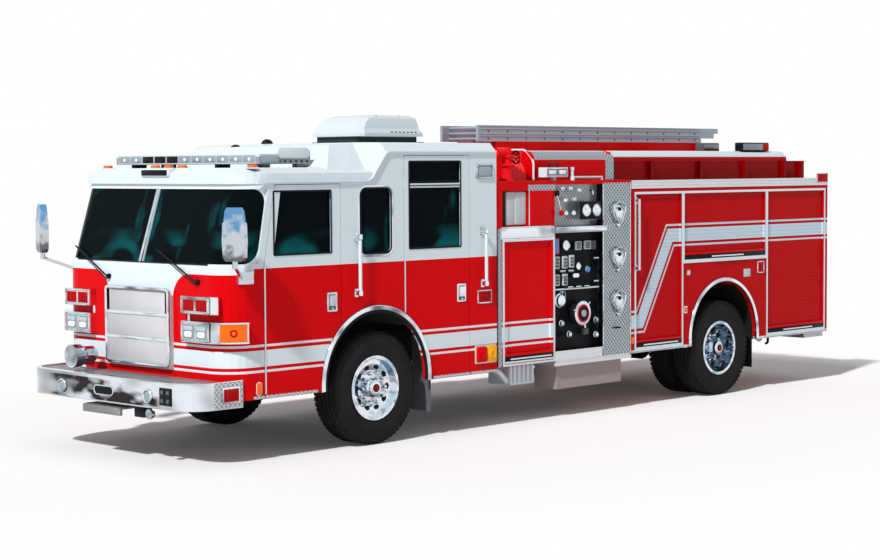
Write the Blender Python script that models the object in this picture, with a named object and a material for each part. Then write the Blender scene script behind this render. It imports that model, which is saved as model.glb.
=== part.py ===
"""Fire engine: a four-door pumper with a raised-roof cab, a side pump panel and a compartment body.

Units are metres. The front of the vehicle points along -X, its left side along -Y, and +Z is up.
Distances whose names end in _AT are measured rearward from the front axle.
"""
import math

import bmesh
import bpy
from mathutils import Matrix, Vector

# Whole vehicle
BODY_WIDTH = 2.488
AXLE_SPACING = 5.357
FRONT_OVERHANG = 2.220
REAR_OVERHANG = 2.143
FIT_GAP = 0.0003
PIN_GAP = 0.0005
CUT_OVERRUN = 0.05
LEFT = -1
RIGHT = 1
SHARP_ANGLE = math.radians(32)

# Wheels and tyres
TYRE_RADIUS = 0.535
BEAD_RADIUS = 0.286
FLANGE_HEIGHT = 0.019
RIM_WALL = 0.012
FRONT_TYRE_WIDTH = 0.312
REAR_TYRE_WIDTH = 0.280
DUAL_SPACING = 0.335
FRONT_TYRE_INSET = 0.034
REAR_TYRE_INSET = 0.014
HUB_RADIUS = 0.090
HUB_CAP_RADIUS = 0.060
LUG_RADIUS = 0.165
CROWN_RADIUS = 0.225
DRUM_RADIUS = 0.205
SPINDLE_RADIUS = 0.045
BORE_CLEARANCE = 0.001
WHEEL_SEGMENTS = 28
HAND_HOLES = 10
HAND_HOLE_RADIUS = 0.022
HAND_HOLE_CIRCLE = 0.200
HAND_HOLE_DEPTH = 0.016
HAND_HOLE_SIDES = 6

# Axles, springs and steering
KINGPIN_FROM_SIDE = 0.444
KINGPIN_BOSS_RADIUS = 0.048
KINGPIN_BOSS_HEIGHT = 0.150
KNUCKLE_ARM_THICKNESS = 0.032
KNUCKLE_ARM_REACH = 0.060
KNUCKLE_PLATE = 0.030
FRONT_BEAM_HEIGHT = 0.095
FRONT_BEAM_DEPTH = 0.090
AXLE_TUBE_RADIUS = 0.070
AXLE_TUBE_FROM_SIDE = 0.684
DIFFERENTIAL_RADIUS = 0.200
DIFFERENTIAL_HALF_WIDTH = 0.110
SPRING_HALF_LENGTH = 0.640
SPRING_THICKNESS = 0.060
SPRING_WIDTH = 0.072
SPRING_RISE = 0.055
HANGER_LENGTH = 0.090
SHAFT_RADIUS = 0.050
SHAFT_RISE = 0.100

# Chassis frame
RAIL_FROM_SIDE = 0.844
RAIL_WIDTH = 0.075
RAIL_BOTTOM = 0.740
RAIL_HEIGHT = 0.240
HORN_BOTTOM = 0.530
HORN_LAP = 0.235
CAB_MOUNT_HALF = 0.060
CAB_MOUNTS_AT = (-1.560, 1.300)
ENGINE_MOUNT_HALF = 0.045
FRAME_REAR_INSET = 0.120
CROSSMEMBER_DEPTH = 0.080
CROSSMEMBER_SHARES = (0.03, 0.26, 0.40, 0.58, 0.76, 0.985)
ENGINE_FRONT_AT = -1.150
ENGINE_LENGTH = 1.350
ENGINE_SIDE_GAP = 0.090
ENGINE_BOTTOM = 0.600
ENGINE_TOP = 1.400

# Cab shell: heights stack from the bottom edge, stations run rearward from the face
CAB_FACE_AT = -1.800
FRONT_DOOR_SETBACK = 0.410
FRONT_DOOR_LENGTH = 0.929
DOOR_SPACING = 0.804
REAR_DOOR_LENGTH = 0.897
REAR_PILLAR = 0.390
CAB_BOTTOM = 0.560
CAB_WALL = 0.060
CAB_CORNER = 0.270
BELT_RISE = 1.1655
GLASSHOUSE_RISE = 0.7445
SHIELD_SILL = 0.0315
SHIELD_HEAD = 0.058
SHIELD_RAKE = 0.235
BROW_REACH = 0.035
BROW_RISE = 0.080
ROOF_RISE = 0.130
ROOF_EDGE_INSET = 0.130
ROOF_FRONT_INSET = 0.090
CEILING_DROP = 0.050
RAISED_RISE = 0.230
RAISED_DRIP_DROP = 0.090
RAISED_EDGE_INSET = 0.085
RAISED_SHOULDER_INSET = 0.240
RAISED_SETBACK = 1.160
RAISED_SLOPE = 0.260
RAISED_KINK = 0.290
RAISED_CLIMB = 0.210
PILLAR_SETBACK = 0.066
PILLAR_LEAN = 0.135
SHIELD_DIVIDER = 0.040
CORNER_STEPS = 6

# Doors and glass
DOOR_GAP = 0.006
DOOR_HINGE_GAP = 0.004
HINGE_HALF_HEIGHT = 0.045
LOWER_HINGE_RISE = 0.200
UPPER_HINGE_DROP = 0.1255
REAR_LOWER_HINGE_DROP = 0.3655
REAR_UPPER_HINGE_DROP = 0.262
GLASS_THICKNESS = 0.008
GLASS_INSET = 0.018
GLASS_LAP = 0.020
FRONT_DOOR_HEAD = 0.018
REAR_DOOR_HEAD = 0.028
WINDOW_SILL = 0.096
WINDOW_HEAD = 0.058
FRONT_WINDOW_MARGIN = 0.118
FRONT_WINDOW_SLANT = 0.085
REAR_WINDOW_FRONT_MARGIN = 0.069
REAR_WINDOW_REAR_MARGIN = 0.119
UPPER_PANE_HEIGHT = 0.212
PANE_BAR = 0.041
SIDE_WINDOW_MARGIN = 0.240
SIDE_WINDOW_LENGTH = 0.401
SIDE_WINDOW_SILL = 0.0685
SIDE_WINDOW_HEAD = 0.063
SIDE_WINDOW_CORNER = 0.070

# Front wheel arch
FRONT_ARCH_AT = -0.020
FRONT_ARCH_HEIGHT = 0.610
FRONT_ARCH_RADIUS = 0.665
ARCH_TRIM = 0.040

# Cab floor, steps and furniture
FLOOR_RISE = 0.500
FLOOR_THICKNESS = 0.025
HOUSING_RISE = 0.230
HOUSING_HALF_LENGTH = 0.750
STEP_RISE = 0.030
STEP_INNER_FROM_SIDE = 0.314
FLOOR_SIDE_GAP = 0.006
TUNNEL_FROM_SIDE = 0.844
TUNNEL_FRONT_AT = -1.300
TUNNEL_REAR_AT = 0.400
TUNNEL_RISE = 0.420
DASH_DEPTH = 0.300
DASH_DROP = 0.006
DASH_HEIGHT = 0.370
DASH_LIP = 0.120
STEERING_WHEEL_RADIUS = 0.225
STEERING_RIM_RADIUS = 0.016
STEERING_OFFSET = 0.080
STEERING_RISE = 0.190
STEERING_REACH = 0.180
SEAT_WIDTH = 0.480
SEAT_DEPTH = 0.480
SEAT_CUSHION = 0.140
SEAT_BACK_THICKNESS = 0.130
SEAT_BACK_HEIGHT = 0.780
FRONT_SEAT_RISE = 0.205
FRONT_SEAT_REAR_AT = -0.080
FRONT_SEAT_FROM_SIDE = 0.524
CREW_SEAT_RISE = 0.415
CREW_BENCH_FROM_SIDE = 0.244

# Bumper, deck and siren
BUMPER_TOP = 0.748
BUMPER_HEIGHT = 0.240
BUMPER_WALL = 0.045
BUMPER_CORNER = 0.260
WING_REAR_AT = -1.640
WING_WALL = 0.010
WING_LENGTH = 0.210
DECK_DROP = 0.012
DECK_THICKNESS = 0.035
SIREN_SETBACK = 0.040
SIREN_LENGTH = 0.270
SIREN_RADIUS = 0.105
SIREN_FROM_SIDE = 0.684
SIREN_RISE = 0.135
PEDESTAL_HALF = 0.045

# Grille and front lamps
GRILLE_FROM_SIDE = 0.766
GRILLE_BOTTOM = 0.812
GRILLE_TOP = 1.520
GRILLE_CHAMFER = 0.060
GRILLE_DEPTH = 0.045
GRILLE_FRAME = 0.032
GRILLE_POCKET = 0.025
GRILLE_BARS = (1.060, 1.285)
LAMP_SPACING = 0.207
LAMP_DEPTH = 0.072
WARNING_BOTTOM = 1.322
WARNING_TOP = 1.475
WARNING_END_STEPS = 2
HEADLAMP_BOTTOM = 1.068
HEADLAMP_TOP = 1.255
HEADLAMP_END_STEPS = 5
LAMP_BRACKET_WIDTH = 0.030
LAMP_BRACKET_DEPTH = 0.008
LAMP_LAP = 0.010

# Mirrors
MIRROR_AT = -1.875
MIRROR_REACH = 0.196
MIRROR_HALF_WIDTH = 0.112
MIRROR_HALF_DEPTH = 0.048
MIRROR_ROUNDING = 0.36
MIRROR_TURN_DEG = 20.0
MIRROR_LIFT = 0.160
MIRROR_HEIGHT = 0.340
SPOT_MIRROR_HEIGHT = 0.122
MIRROR_BASE_RISE = 1.080
MIRROR_BASE_HALF = 0.055
MIRROR_BASE_DEG = 68.0
MIRROR_ARM_RADIUS = 0.016

# Roof fittings
LIGHT_BAR_AT = -1.270
LIGHT_BAR_DEPTH = 0.240
LIGHT_BAR_FROM_SIDE = 0.184
LIGHT_BAR_LIFT = 0.032
LIGHT_BAR_HEIGHT = 0.090
SIDE_MODULE_LENGTH = 0.650
SIDE_MODULE_WIDTH = 0.150
SIDE_MODULE_RISE = 0.148
COOLER_SETBACK = 1.025
COOLER_LENGTH = 0.925
COOLER_HALF_WIDTH = 0.380
COOLER_BASE_HEIGHT = 0.075
COOLER_HEIGHT = 0.285
COOLER_LIP = 0.030

# Pump house
PUMP_GAP = 0.020
PUMP_BOTTOM = 0.600
PUMP_DECK_RISE = 0.030
CROSSLAY_SETBACK = 0.065
CROSSLAY_LENGTH = 0.385
CROSSLAY_HEIGHT = 0.352
CROSSLAY_DROP = 0.098
PANEL_SPACING = 0.410
PANEL_LENGTH = 0.772
PANEL_SILL = 0.097
PANEL_HEAD = 0.040
COLUMN_LENGTH = 0.458
PANEL_RECESS = 0.110
PANEL_PLATE = 0.020
LEDGE_DROP = 0.505
LEDGE_THICKNESS = 0.040
PUMP_SHUTTER_MARGIN = 0.041
PUMP_SHUTTER_SILL = 0.015
PUMP_SHUTTER_HEAD = 0.138
PUMP_SHUTTER_SETBACK = 0.102
CHASSIS_TUNNEL_GAP = 0.100
FAIRING_SETBACK = 0.330
FAIRING_FROM_SIDE = 0.234
FAIRING_RISE = 0.310
FAIRING_SHOULDER = 0.110
INTAKE_SETBACK = 0.410
INTAKE_RISE = 0.373
INTAKE_RADIUS = 0.120
INTAKE_REACH = 0.135
DISCHARGE_SETBACK = 0.130
DISCHARGE_RISE = 0.493
DISCHARGE_RADIUS = 0.070
DISCHARGE_REACH = 0.075
GAUGE_MARGIN = 0.142
GAUGE_DROP = 0.300
GAUGE_HALF = 0.115
GAUGE_REACH = 0.030

# Running boards and the boxes hung below them
BOARD_THICKNESS = 0.080
BOARD_DEPTH = 0.300
BOARD_CLEARANCE = 0.010
HUNG_BOX_MARGIN = 0.060
HUNG_BOX_HEIGHT = 0.260
HUNG_BOX_DEPTH = 0.300
HUNG_BOX_SETBACK = 0.040
BOARD_TIE = 0.060

# Compartment body
BODY_GAP = 0.006
BODY_BOTTOM = 0.587
BODY_DECK = 2.420
REAR_ARCH_SETBACK = 0.048
REAR_ARCH_HEIGHT = 0.670
REAR_ARCH_RADIUS = 0.620
HOSEBED_DEPTH = 0.620
HOSEBED_WALL = 0.080
HOSEBED_FRONT_WALL = 0.180
HOSEBED_WALL_RISE = 0.225
SHUTTER_DEPTH = 0.045
SHUTTER_FRAME = 0.030
SHUTTER_POCKET = 0.018
SHUTTER_EDGE_GAP = 0.003
SHUTTER_SILL = 0.031
SHUTTER_HEAD = 0.115
SHUTTER_MARGIN = 0.064
SHUTTER_SPLIT = 0.020
SHUTTER_ARCH_RISE = 0.240
FIRST_SHUTTER_ARCH_MARGIN = 0.145
LAST_SHUTTER_ARCH_MARGIN = 0.220
POST_WIDTH = 0.060
POST_REACH = 0.045
POST_SHARES = (0.17, 0.42, 0.66, 0.88, 0.98)
REAR_PANEL_DEPTH = 0.040
REAR_WALL = 0.100
REAR_SHUTTER_FROM_SIDE = 0.644
REAR_SHUTTER_SILL = 0.040
REAR_SHUTTER_HEAD = 0.100
REAR_PANEL_FROM_SIDE = 0.134
STEP_DEPTH = 0.400
STEP_THICKNESS = 0.060

# Mud flaps
FLAP_THICKNESS = 0.012
FRONT_FLAP_BOTTOM = 0.240
REAR_FLAP_BOTTOM = 0.260
REAR_FLAP_SETBACK = 0.010
FLAP_INNER_FROM_SIDE = 0.344
REAR_FLAP_INNER_FROM_SIDE = 0.624
FLAP_OUTER_FROM_SIDE = 0.064
FLAP_LAP = 0.060

# Hose bed cover, cradle and ladders
COVER_REAR_MARGIN = 0.520
CRADLE_SETBACK = 0.550
CRADLE_LENGTH = 3.880
CRADLE_INNER_Y = -0.010
CRADLE_WIDTH = 0.600
CRADLE_HEIGHT = 0.108
CRADLE_WALL = 0.030
LADDER_OVERHANG = 0.290
LADDER_INNER_Y = 0.000
LADDER_WIDTH = 0.570
LADDER_RAIL_WIDTH = 0.034
LADDER_RAIL_HEIGHT = 0.058
LADDER_LENGTH = 4.290
LADDER_STEP_BACKS = (0.340, 0.080, 0.0)
RUNG_RADIUS = 0.014
RUNG_SPACING = 0.356
RUNG_START = 0.120

# Deck fittings
PIPE_SETBACK = 0.400
PIPE_FROM_SIDE = 0.244
PIPE_RADIUS = 0.048
PIPE_BASE_RADIUS = 0.085
PIPE_BASE_HEIGHT = 0.030
PIPE_HEIGHT = 0.340
PIPE_ELBOW_REACH = 0.160
HANDWHEEL_RADIUS = 0.058
HANDWHEEL_RIM = 0.008
HANDWHEEL_REACH = 0.120
HANDWHEEL_DROP = 0.100
REEL_RADIUS = 0.280
REEL_CORE_RADIUS = 0.240
REEL_HALF_WIDTH = 0.140
REEL_RISE = 0.020
REEL_STANDOFF = 0.320
REEL_FLANGE = 0.014
REEL_AXLE_RADIUS = 0.022
REEL_STAND = 0.026
REEL_STAND_HALF_WIDTH = 0.060
REEL_CLEARANCE = 0.010
FLOOD_SETBACK = 0.185
FLOOD_STANDOFF = 0.120
FLOOD_HALF_LENGTH = 0.165
FLOOD_HALF_DEPTH = 0.055
FLOOD_LIFT = 0.035
FLOOD_HEIGHT = 0.100
FLOOD_POST_HALF = 0.022

HALF = BODY_WIDTH / 2
KINGPIN_Y = HALF - KINGPIN_FROM_SIDE
AXLE_TUBE_HALF_LENGTH = HALF - AXLE_TUBE_FROM_SIDE
RAIL_Y = HALF - RAIL_FROM_SIDE
STEP_INNER_Y = HALF - STEP_INNER_FROM_SIDE
TUNNEL_HALF_WIDTH = HALF - TUNNEL_FROM_SIDE
FRONT_SEAT_Y = HALF - FRONT_SEAT_FROM_SIDE
CREW_BENCH_HALF_WIDTH = HALF - CREW_BENCH_FROM_SIDE
SIREN_Y = HALF - SIREN_FROM_SIDE
GRILLE_HALF_WIDTH = HALF - GRILLE_FROM_SIDE
LIGHT_BAR_HALF_WIDTH = HALF - LIGHT_BAR_FROM_SIDE
FAIRING_HALF_WIDTH = HALF - FAIRING_FROM_SIDE
REAR_SHUTTER_HALF_WIDTH = HALF - REAR_SHUTTER_FROM_SIDE
REAR_PANEL_HALF_WIDTH = HALF - REAR_PANEL_FROM_SIDE
FLAP_INNER_Y = HALF - FLAP_INNER_FROM_SIDE
REAR_FLAP_INNER_Y = HALF - REAR_FLAP_INNER_FROM_SIDE
FLAP_OUTER_Y = HALF - FLAP_OUTER_FROM_SIDE
PIPE_Y = HALF - PIPE_FROM_SIDE
MIRROR_Y = HALF + MIRROR_REACH
STEERING_Y = FRONT_SEAT_Y - STEERING_OFFSET
ENGINE_WIDTH = 2 * (RAIL_Y - ENGINE_SIDE_GAP)
CHASSIS_TUNNEL_HALF_WIDTH = RAIL_Y + CHASSIS_TUNNEL_GAP
HOSEBED_HALF_WIDTH = FAIRING_HALF_WIDTH - HOSEBED_WALL
FLOOD_Y = FAIRING_HALF_WIDTH + FLOOD_STANDOFF
REEL_Y = FAIRING_HALF_WIDTH - REEL_STANDOFF
PUMP_DECK = BODY_DECK + PUMP_DECK_RISE
REAR_END_AT = AXLE_SPACING + REAR_OVERHANG
FRONT_AXLE_X = -(FRONT_OVERHANG + REAR_END_AT) / 2 + FRONT_OVERHANG
REAR_AXLE_X = FRONT_AXLE_X + AXLE_SPACING
AXLE_HEIGHT = TYRE_RADIUS
FRONT_TYRE_Y = HALF - FRONT_TYRE_INSET - FRONT_TYRE_WIDTH / 2
REAR_TYRE_Y = HALF - REAR_TYRE_INSET - REAR_TYRE_WIDTH / 2
FLANGE_RADIUS = BEAD_RADIUS + FLANGE_HEIGHT
SEAT_RADIUS = BEAD_RADIUS - FIT_GAP
BORE_RADIUS = SPINDLE_RADIUS + BORE_CLEARANCE
RAIL_TOP = RAIL_BOTTOM + RAIL_HEIGHT

# Cab stations and heights
FRONT_DOOR_FRONT_AT = CAB_FACE_AT + FRONT_DOOR_SETBACK
FRONT_DOOR_REAR_AT = FRONT_DOOR_FRONT_AT + FRONT_DOOR_LENGTH
REAR_DOOR_FRONT_AT = FRONT_DOOR_REAR_AT + DOOR_SPACING
REAR_DOOR_REAR_AT = REAR_DOOR_FRONT_AT + REAR_DOOR_LENGTH
CAB_REAR_AT = REAR_DOOR_REAR_AT + REAR_PILLAR
BELT_HEIGHT = CAB_BOTTOM + BELT_RISE
DRIP_HEIGHT = BELT_HEIGHT + GLASSHOUSE_RISE
SHIELD_BOTTOM = BELT_HEIGHT + SHIELD_SILL
SHIELD_TOP = DRIP_HEIGHT - SHIELD_HEAD
SHIELD_HEAD_AT = CAB_FACE_AT + SHIELD_RAKE
BROW_AT = SHIELD_HEAD_AT - BROW_REACH
BROW_HEIGHT = DRIP_HEIGHT + BROW_RISE
ROOF_HEIGHT = DRIP_HEIGHT + ROOF_RISE
CEILING_HEIGHT = DRIP_HEIGHT - CEILING_DROP
RAISED_ROOF_HEIGHT = ROOF_HEIGHT + RAISED_RISE
RAISED_DRIP_HEIGHT = RAISED_ROOF_HEIGHT - RAISED_DRIP_DROP
RAISED_START_AT = CAB_FACE_AT + RAISED_SETBACK
RAISED_FRONT_AT = RAISED_START_AT + RAISED_SLOPE
RAISED_KINK_LOW_AT = RAISED_FRONT_AT + RAISED_KINK
RAISED_KINK_HIGH_AT = RAISED_KINK_LOW_AT + RAISED_CLIMB
DOOR_SLANT_TOP_AT = FRONT_DOOR_FRONT_AT + PILLAR_LEAN
FRONT_DOOR_TOP = DRIP_HEIGHT - FRONT_DOOR_HEAD
REAR_DOOR_TOP = RAISED_DRIP_HEIGHT - REAR_DOOR_HEAD
FRONT_HINGES = (CAB_BOTTOM + LOWER_HINGE_RISE, BELT_HEIGHT - UPPER_HINGE_DROP)
REAR_HINGES = (BELT_HEIGHT - REAR_LOWER_HINGE_DROP, REAR_DOOR_TOP - REAR_UPPER_HINGE_DROP)
FRONT_WINDOW = (FRONT_DOOR_FRONT_AT + FRONT_WINDOW_MARGIN, FRONT_DOOR_REAR_AT - FRONT_WINDOW_MARGIN,
                BELT_HEIGHT + WINDOW_SILL, FRONT_DOOR_TOP - WINDOW_HEAD)
REAR_WINDOW = (REAR_DOOR_FRONT_AT + REAR_WINDOW_FRONT_MARGIN, REAR_DOOR_REAR_AT - REAR_WINDOW_REAR_MARGIN,
               BELT_HEIGHT + WINDOW_SILL, REAR_DOOR_TOP - WINDOW_HEAD)
REAR_WINDOW_BAR_HIGH = REAR_WINDOW[3] - UPPER_PANE_HEIGHT
REAR_WINDOW_BAR_LOW = REAR_WINDOW_BAR_HIGH - PANE_BAR
SIDE_WINDOW = (FRONT_DOOR_REAR_AT + SIDE_WINDOW_MARGIN, FRONT_DOOR_REAR_AT + SIDE_WINDOW_MARGIN + SIDE_WINDOW_LENGTH,
               BELT_HEIGHT + SIDE_WINDOW_SILL, DRIP_HEIGHT - SIDE_WINDOW_HEAD)
FLOOR_HEIGHT = CAB_BOTTOM + FLOOR_RISE
HOUSING_HEIGHT = FLOOR_HEIGHT + HOUSING_RISE
STEP_HEIGHT = CAB_BOTTOM + STEP_RISE
TUNNEL_TOP = FLOOR_HEIGHT + TUNNEL_RISE
DASH_TOP = BELT_HEIGHT - DASH_DROP
DASH_BOTTOM = DASH_TOP - DASH_HEIGHT
LAMP_INNER_Y = GRILLE_HALF_WIDTH + LAMP_SPACING
MIRROR_BASE_Z = CAB_BOTTOM + MIRROR_BASE_RISE
MIRROR_BOTTOM = MIRROR_BASE_Z + MIRROR_LIFT
MIRROR_SPLIT = MIRROR_BOTTOM + MIRROR_HEIGHT
MIRROR_TOP = MIRROR_SPLIT + SPOT_MIRROR_HEIGHT
LIGHT_BAR_BOTTOM = ROOF_HEIGHT + LIGHT_BAR_LIFT
LIGHT_BAR_TOP = LIGHT_BAR_BOTTOM + LIGHT_BAR_HEIGHT
SIDE_MODULE_TOP = LIGHT_BAR_BOTTOM + SIDE_MODULE_RISE
SIDE_MODULE_REAR_AT = LIGHT_BAR_AT + SIDE_MODULE_LENGTH
COOLER_FRONT_AT = CAB_REAR_AT - COOLER_SETBACK

# Pump house stations and heights
PUMP_FRONT_AT = CAB_REAR_AT + PUMP_GAP
CROSSLAY_FRONT_AT = PUMP_FRONT_AT + CROSSLAY_SETBACK
CROSSLAY_REAR_AT = CROSSLAY_FRONT_AT + CROSSLAY_LENGTH
CROSSLAY_TOP = PUMP_DECK - CROSSLAY_DROP
CROSSLAY_BOTTOM = CROSSLAY_TOP - CROSSLAY_HEIGHT
PANEL_FRONT_AT = CROSSLAY_REAR_AT + PANEL_SPACING
PANEL_REAR_AT = PANEL_FRONT_AT + PANEL_LENGTH
PUMP_REAR_AT = PANEL_REAR_AT + COLUMN_LENGTH
PANEL_BOTTOM = PUMP_BOTTOM + PANEL_SILL
PANEL_TOP = PUMP_DECK - PANEL_HEAD
LEDGE_HEIGHT = PANEL_TOP - LEDGE_DROP
PUMP_SHUTTER = (PUMP_FRONT_AT + PUMP_SHUTTER_SETBACK, PANEL_FRONT_AT - PUMP_SHUTTER_MARGIN,
                PUMP_BOTTOM + PUMP_SHUTTER_SILL, CROSSLAY_BOTTOM - PUMP_SHUTTER_HEAD)
FAIRING_FRONT_AT = CROSSLAY_REAR_AT + FAIRING_SETBACK
FAIRING_TOP = PUMP_DECK + FAIRING_RISE
FAIRING_SIDE_TOP = FAIRING_TOP - FAIRING_SHOULDER
INTAKE_AT = PANEL_FRONT_AT + INTAKE_SETBACK
INTAKE_HEIGHT = PANEL_BOTTOM + INTAKE_RISE
DISCHARGE_AT = PANEL_FRONT_AT + DISCHARGE_SETBACK
DISCHARGE_HEIGHT = PANEL_BOTTOM + DISCHARGE_RISE
GAUGE_AT = PANEL_REAR_AT - GAUGE_MARGIN
GAUGE_HEIGHT = PANEL_TOP - GAUGE_DROP
HUNG_BOX_FRONT_AT = PANEL_FRONT_AT + HUNG_BOX_MARGIN
HUNG_BOX_REAR_AT = PUMP_REAR_AT - 2 * HUNG_BOX_MARGIN
HUNG_BOX_BOTTOM = PUMP_BOTTOM - BOARD_THICKNESS / 2 - HUNG_BOX_HEIGHT
REEL_AT = FAIRING_FRONT_AT - REEL_CLEARANCE - REEL_HALF_WIDTH
REEL_HEIGHT = PUMP_DECK + REEL_RISE
PIPE_AT = PUMP_FRONT_AT + PIPE_SETBACK
PIPE_TOP = PUMP_DECK + PIPE_HEIGHT
FLOOD_AT = FAIRING_FRONT_AT + FLOOD_SETBACK
FLOOD_BOTTOM = PUMP_DECK + FLOOD_LIFT
FLOOD_TOP = FLOOD_BOTTOM + FLOOD_HEIGHT

# Body stations and heights
BODY_FRONT_AT = PUMP_REAR_AT + BODY_GAP
REAR_ARCH_AT = AXLE_SPACING + REAR_ARCH_SETBACK
SHUTTER_TOP = BODY_DECK - SHUTTER_HEAD
FIRST_SHUTTER = (BODY_FRONT_AT + SHUTTER_MARGIN, REAR_ARCH_AT - REAR_ARCH_RADIUS - FIRST_SHUTTER_ARCH_MARGIN,
                 BODY_BOTTOM + SHUTTER_SILL, SHUTTER_TOP)
LAST_SHUTTER = (REAR_ARCH_AT + REAR_ARCH_RADIUS + LAST_SHUTTER_ARCH_MARGIN, REAR_END_AT - SHUTTER_MARGIN,
                BODY_BOTTOM + SHUTTER_SILL, SHUTTER_TOP)
MIDDLE_SHUTTER = (FIRST_SHUTTER[1] + SHUTTER_SPLIT, LAST_SHUTTER[0] - SHUTTER_SPLIT,
                  REAR_ARCH_HEIGHT + REAR_ARCH_RADIUS + SHUTTER_ARCH_RISE, SHUTTER_TOP)
SHUTTERS = (FIRST_SHUTTER, MIDDLE_SHUTTER, LAST_SHUTTER)
HOSEBED_FLOOR = BODY_DECK - HOSEBED_DEPTH
HOSEBED_WALL_TOP = BODY_DECK + HOSEBED_WALL_RISE
REAR_PANEL_BOTTOM = RAIL_TOP + REAR_SHUTTER_SILL
REAR_SHUTTER_BOTTOM = REAR_PANEL_BOTTOM + REAR_SHUTTER_SILL
REAR_SHUTTER_TOP = HOSEBED_FLOOR - REAR_SHUTTER_HEAD
COVER_REAR_AT = REAR_END_AT - COVER_REAR_MARGIN
CRADLE_FRONT_AT = FAIRING_FRONT_AT + CRADLE_SETBACK
CRADLE_REAR_AT = CRADLE_FRONT_AT + CRADLE_LENGTH
CRADLE_TOP = FAIRING_TOP + CRADLE_HEIGHT
LADDER_FRONT_AT = CRADLE_FRONT_AT - LADDER_OVERHANG
TUNNEL_CLEAR_TOP = RAIL_TOP + FIT_GAP
HORN_TOP = BUMPER_TOP - DECK_DROP - DECK_THICKNESS - FIT_GAP
HORN_LENGTH = FRONT_OVERHANG + CAB_FACE_AT + HORN_LAP

# Share of the way from bead to tread, and share of the half width
TYRE_SHARES = ((0.0, 0.77), (0.18, 0.95), (0.50, 1.0), (0.86, 0.93), (1.0, 0.70))
# Offsets across a rim, as shares of the tyre's half width
LIP_SHARE = 0.95
FLANGE_SHARE = 0.86
SEAT_SHARE = 0.775
WELL_SHARE = 0.40
DISC_SHARE = 0.50
CROWN_SHARE = 0.66
SPINDLE_SHARE = 0.30


def at(distance):
    """World x of a station measured rearward from the front axle."""
    return FRONT_AXLE_X + distance


def side_name(side):
    return "left" if side == LEFT else "right"


def make_material(name, colour, roughness, metallic):
    material = bpy.data.materials.new(name)
    material.use_nodes = True
    shader = material.node_tree.nodes["Principled BSDF"]
    shader.inputs["Base Color"].default_value = (*colour, 1.0)
    shader.inputs["Roughness"].default_value = roughness
    shader.inputs["Metallic"].default_value = metallic
    return material


# Colour, roughness, metallic value
FINISHES = {
    "red_paint": ((0.60, 0.005, 0.012), 0.18, 0.0),
    "white_paint": ((0.80, 0.83, 0.84), 0.20, 0.0),
    "chrome": ((0.85, 0.87, 0.90), 0.08, 1.0),
    "tread_plate": ((0.66, 0.70, 0.74), 0.30, 1.0),
    "aluminium": ((0.60, 0.61, 0.63), 0.35, 1.0),
    "black_steel": ((0.03, 0.03, 0.035), 0.55, 0.2),
    "rubber": ((0.018, 0.018, 0.020), 0.75, 0.0),
    "glass": ((0.010, 0.035, 0.040), 0.05, 0.0),
    "red_lamp": ((0.55, 0.01, 0.01), 0.12, 0.0),
    "clear_lamp": ((0.75, 0.80, 0.85), 0.08, 0.1),
    "grey_plastic": ((0.10, 0.10, 0.11), 0.60, 0.0),
    "seat_fabric": ((0.05, 0.05, 0.055), 0.85, 0.0),
}
MATERIALS = {}


def finish_object(name, mesh, finish):
    mesh.name = name
    mesh.materials.clear()
    mesh.materials.append(MATERIALS[finish])
    item = bpy.data.objects.new(name, mesh)
    bpy.context.collection.objects.link(item)
    return item


def object_from_bmesh(name, work, finish):
    bmesh.ops.recalc_face_normals(work, faces=work.faces)
    mesh = bpy.data.meshes.new(name)
    work.to_mesh(mesh)
    work.free()
    return finish_object(name, mesh, finish)


def loft(name, rings, finish):
    """Closed body through rings of equal point count, capped at both ends."""
    work = bmesh.new()
    rows = [[work.verts.new(point) for point in ring] for ring in rings]
    count = len(rows[0])
    for low, high in zip(rows, rows[1:]):
        for index in range(count):
            after = (index + 1) % count
            work.faces.new((low[index], low[after], high[after], high[index]))
    work.faces.new(rows[0])
    work.faces.new(rows[-1])
    return object_from_bmesh(name, work, finish)


def prism(name, outline, axis, start, end, finish):
    """Outline points are (y, z) along X, (x, z) along Y or (x, y) along Z."""
    place = {
        "X": lambda u, v, w: (w, u, v),
        "Y": lambda u, v, w: (u, w, v),
        "Z": lambda u, v, w: (u, v, w),
    }[axis]
    rings = [[place(u, v, level) for u, v in outline] for level in (start, end)]
    return loft(name, rings, finish)


def box(name, low, high, finish):
    outline = ((low[0], low[1]), (high[0], low[1]), (high[0], high[1]), (low[0], high[1]))
    return prism(name, outline, "Z", low[2], high[2], finish)


def side_box(name, side, x_span, y_span, z_span, finish):
    """Box whose y span is given as distances outward from the centre plane."""
    low_y, high_y = sorted((side * y_span[0], side * y_span[1]))
    return box(name, (x_span[0], low_y, z_span[0]), (x_span[1], high_y, z_span[1]), finish)


def turned(name, profile, centre, direction, finish, segments=WHEEL_SEGMENTS):
    """Body of revolution: profile points are (radius, distance along direction) in a closed loop."""
    axis = Vector(direction).normalized()
    side = axis.orthogonal().normalized()
    other = axis.cross(side)
    work = bmesh.new()
    rows = []
    for radius, along in profile:
        middle = Vector(centre) + axis * along
        if radius == 0:
            rows.append([work.verts.new(middle)])
            continue
        row = []
        for step in range(segments):
            angle = 2 * math.pi * step / segments
            row.append(work.verts.new(middle + radius * (side * math.cos(angle) + other * math.sin(angle))))
        rows.append(row)
    closed = len(rows[0]) > 1
    pairs = list(zip(rows, rows[1:])) + ([(rows[-1], rows[0])] if closed else [])
    for first, second in pairs:
        for step in range(segments):
            after = (step + 1) % segments
            corners = [first[step % len(first)], first[after % len(first)],
                       second[after % len(second)], second[step % len(second)]]
            face = list(dict.fromkeys(corners))
            if len(face) > 2:
                work.faces.new(face)
    return object_from_bmesh(name, work, finish)


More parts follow.
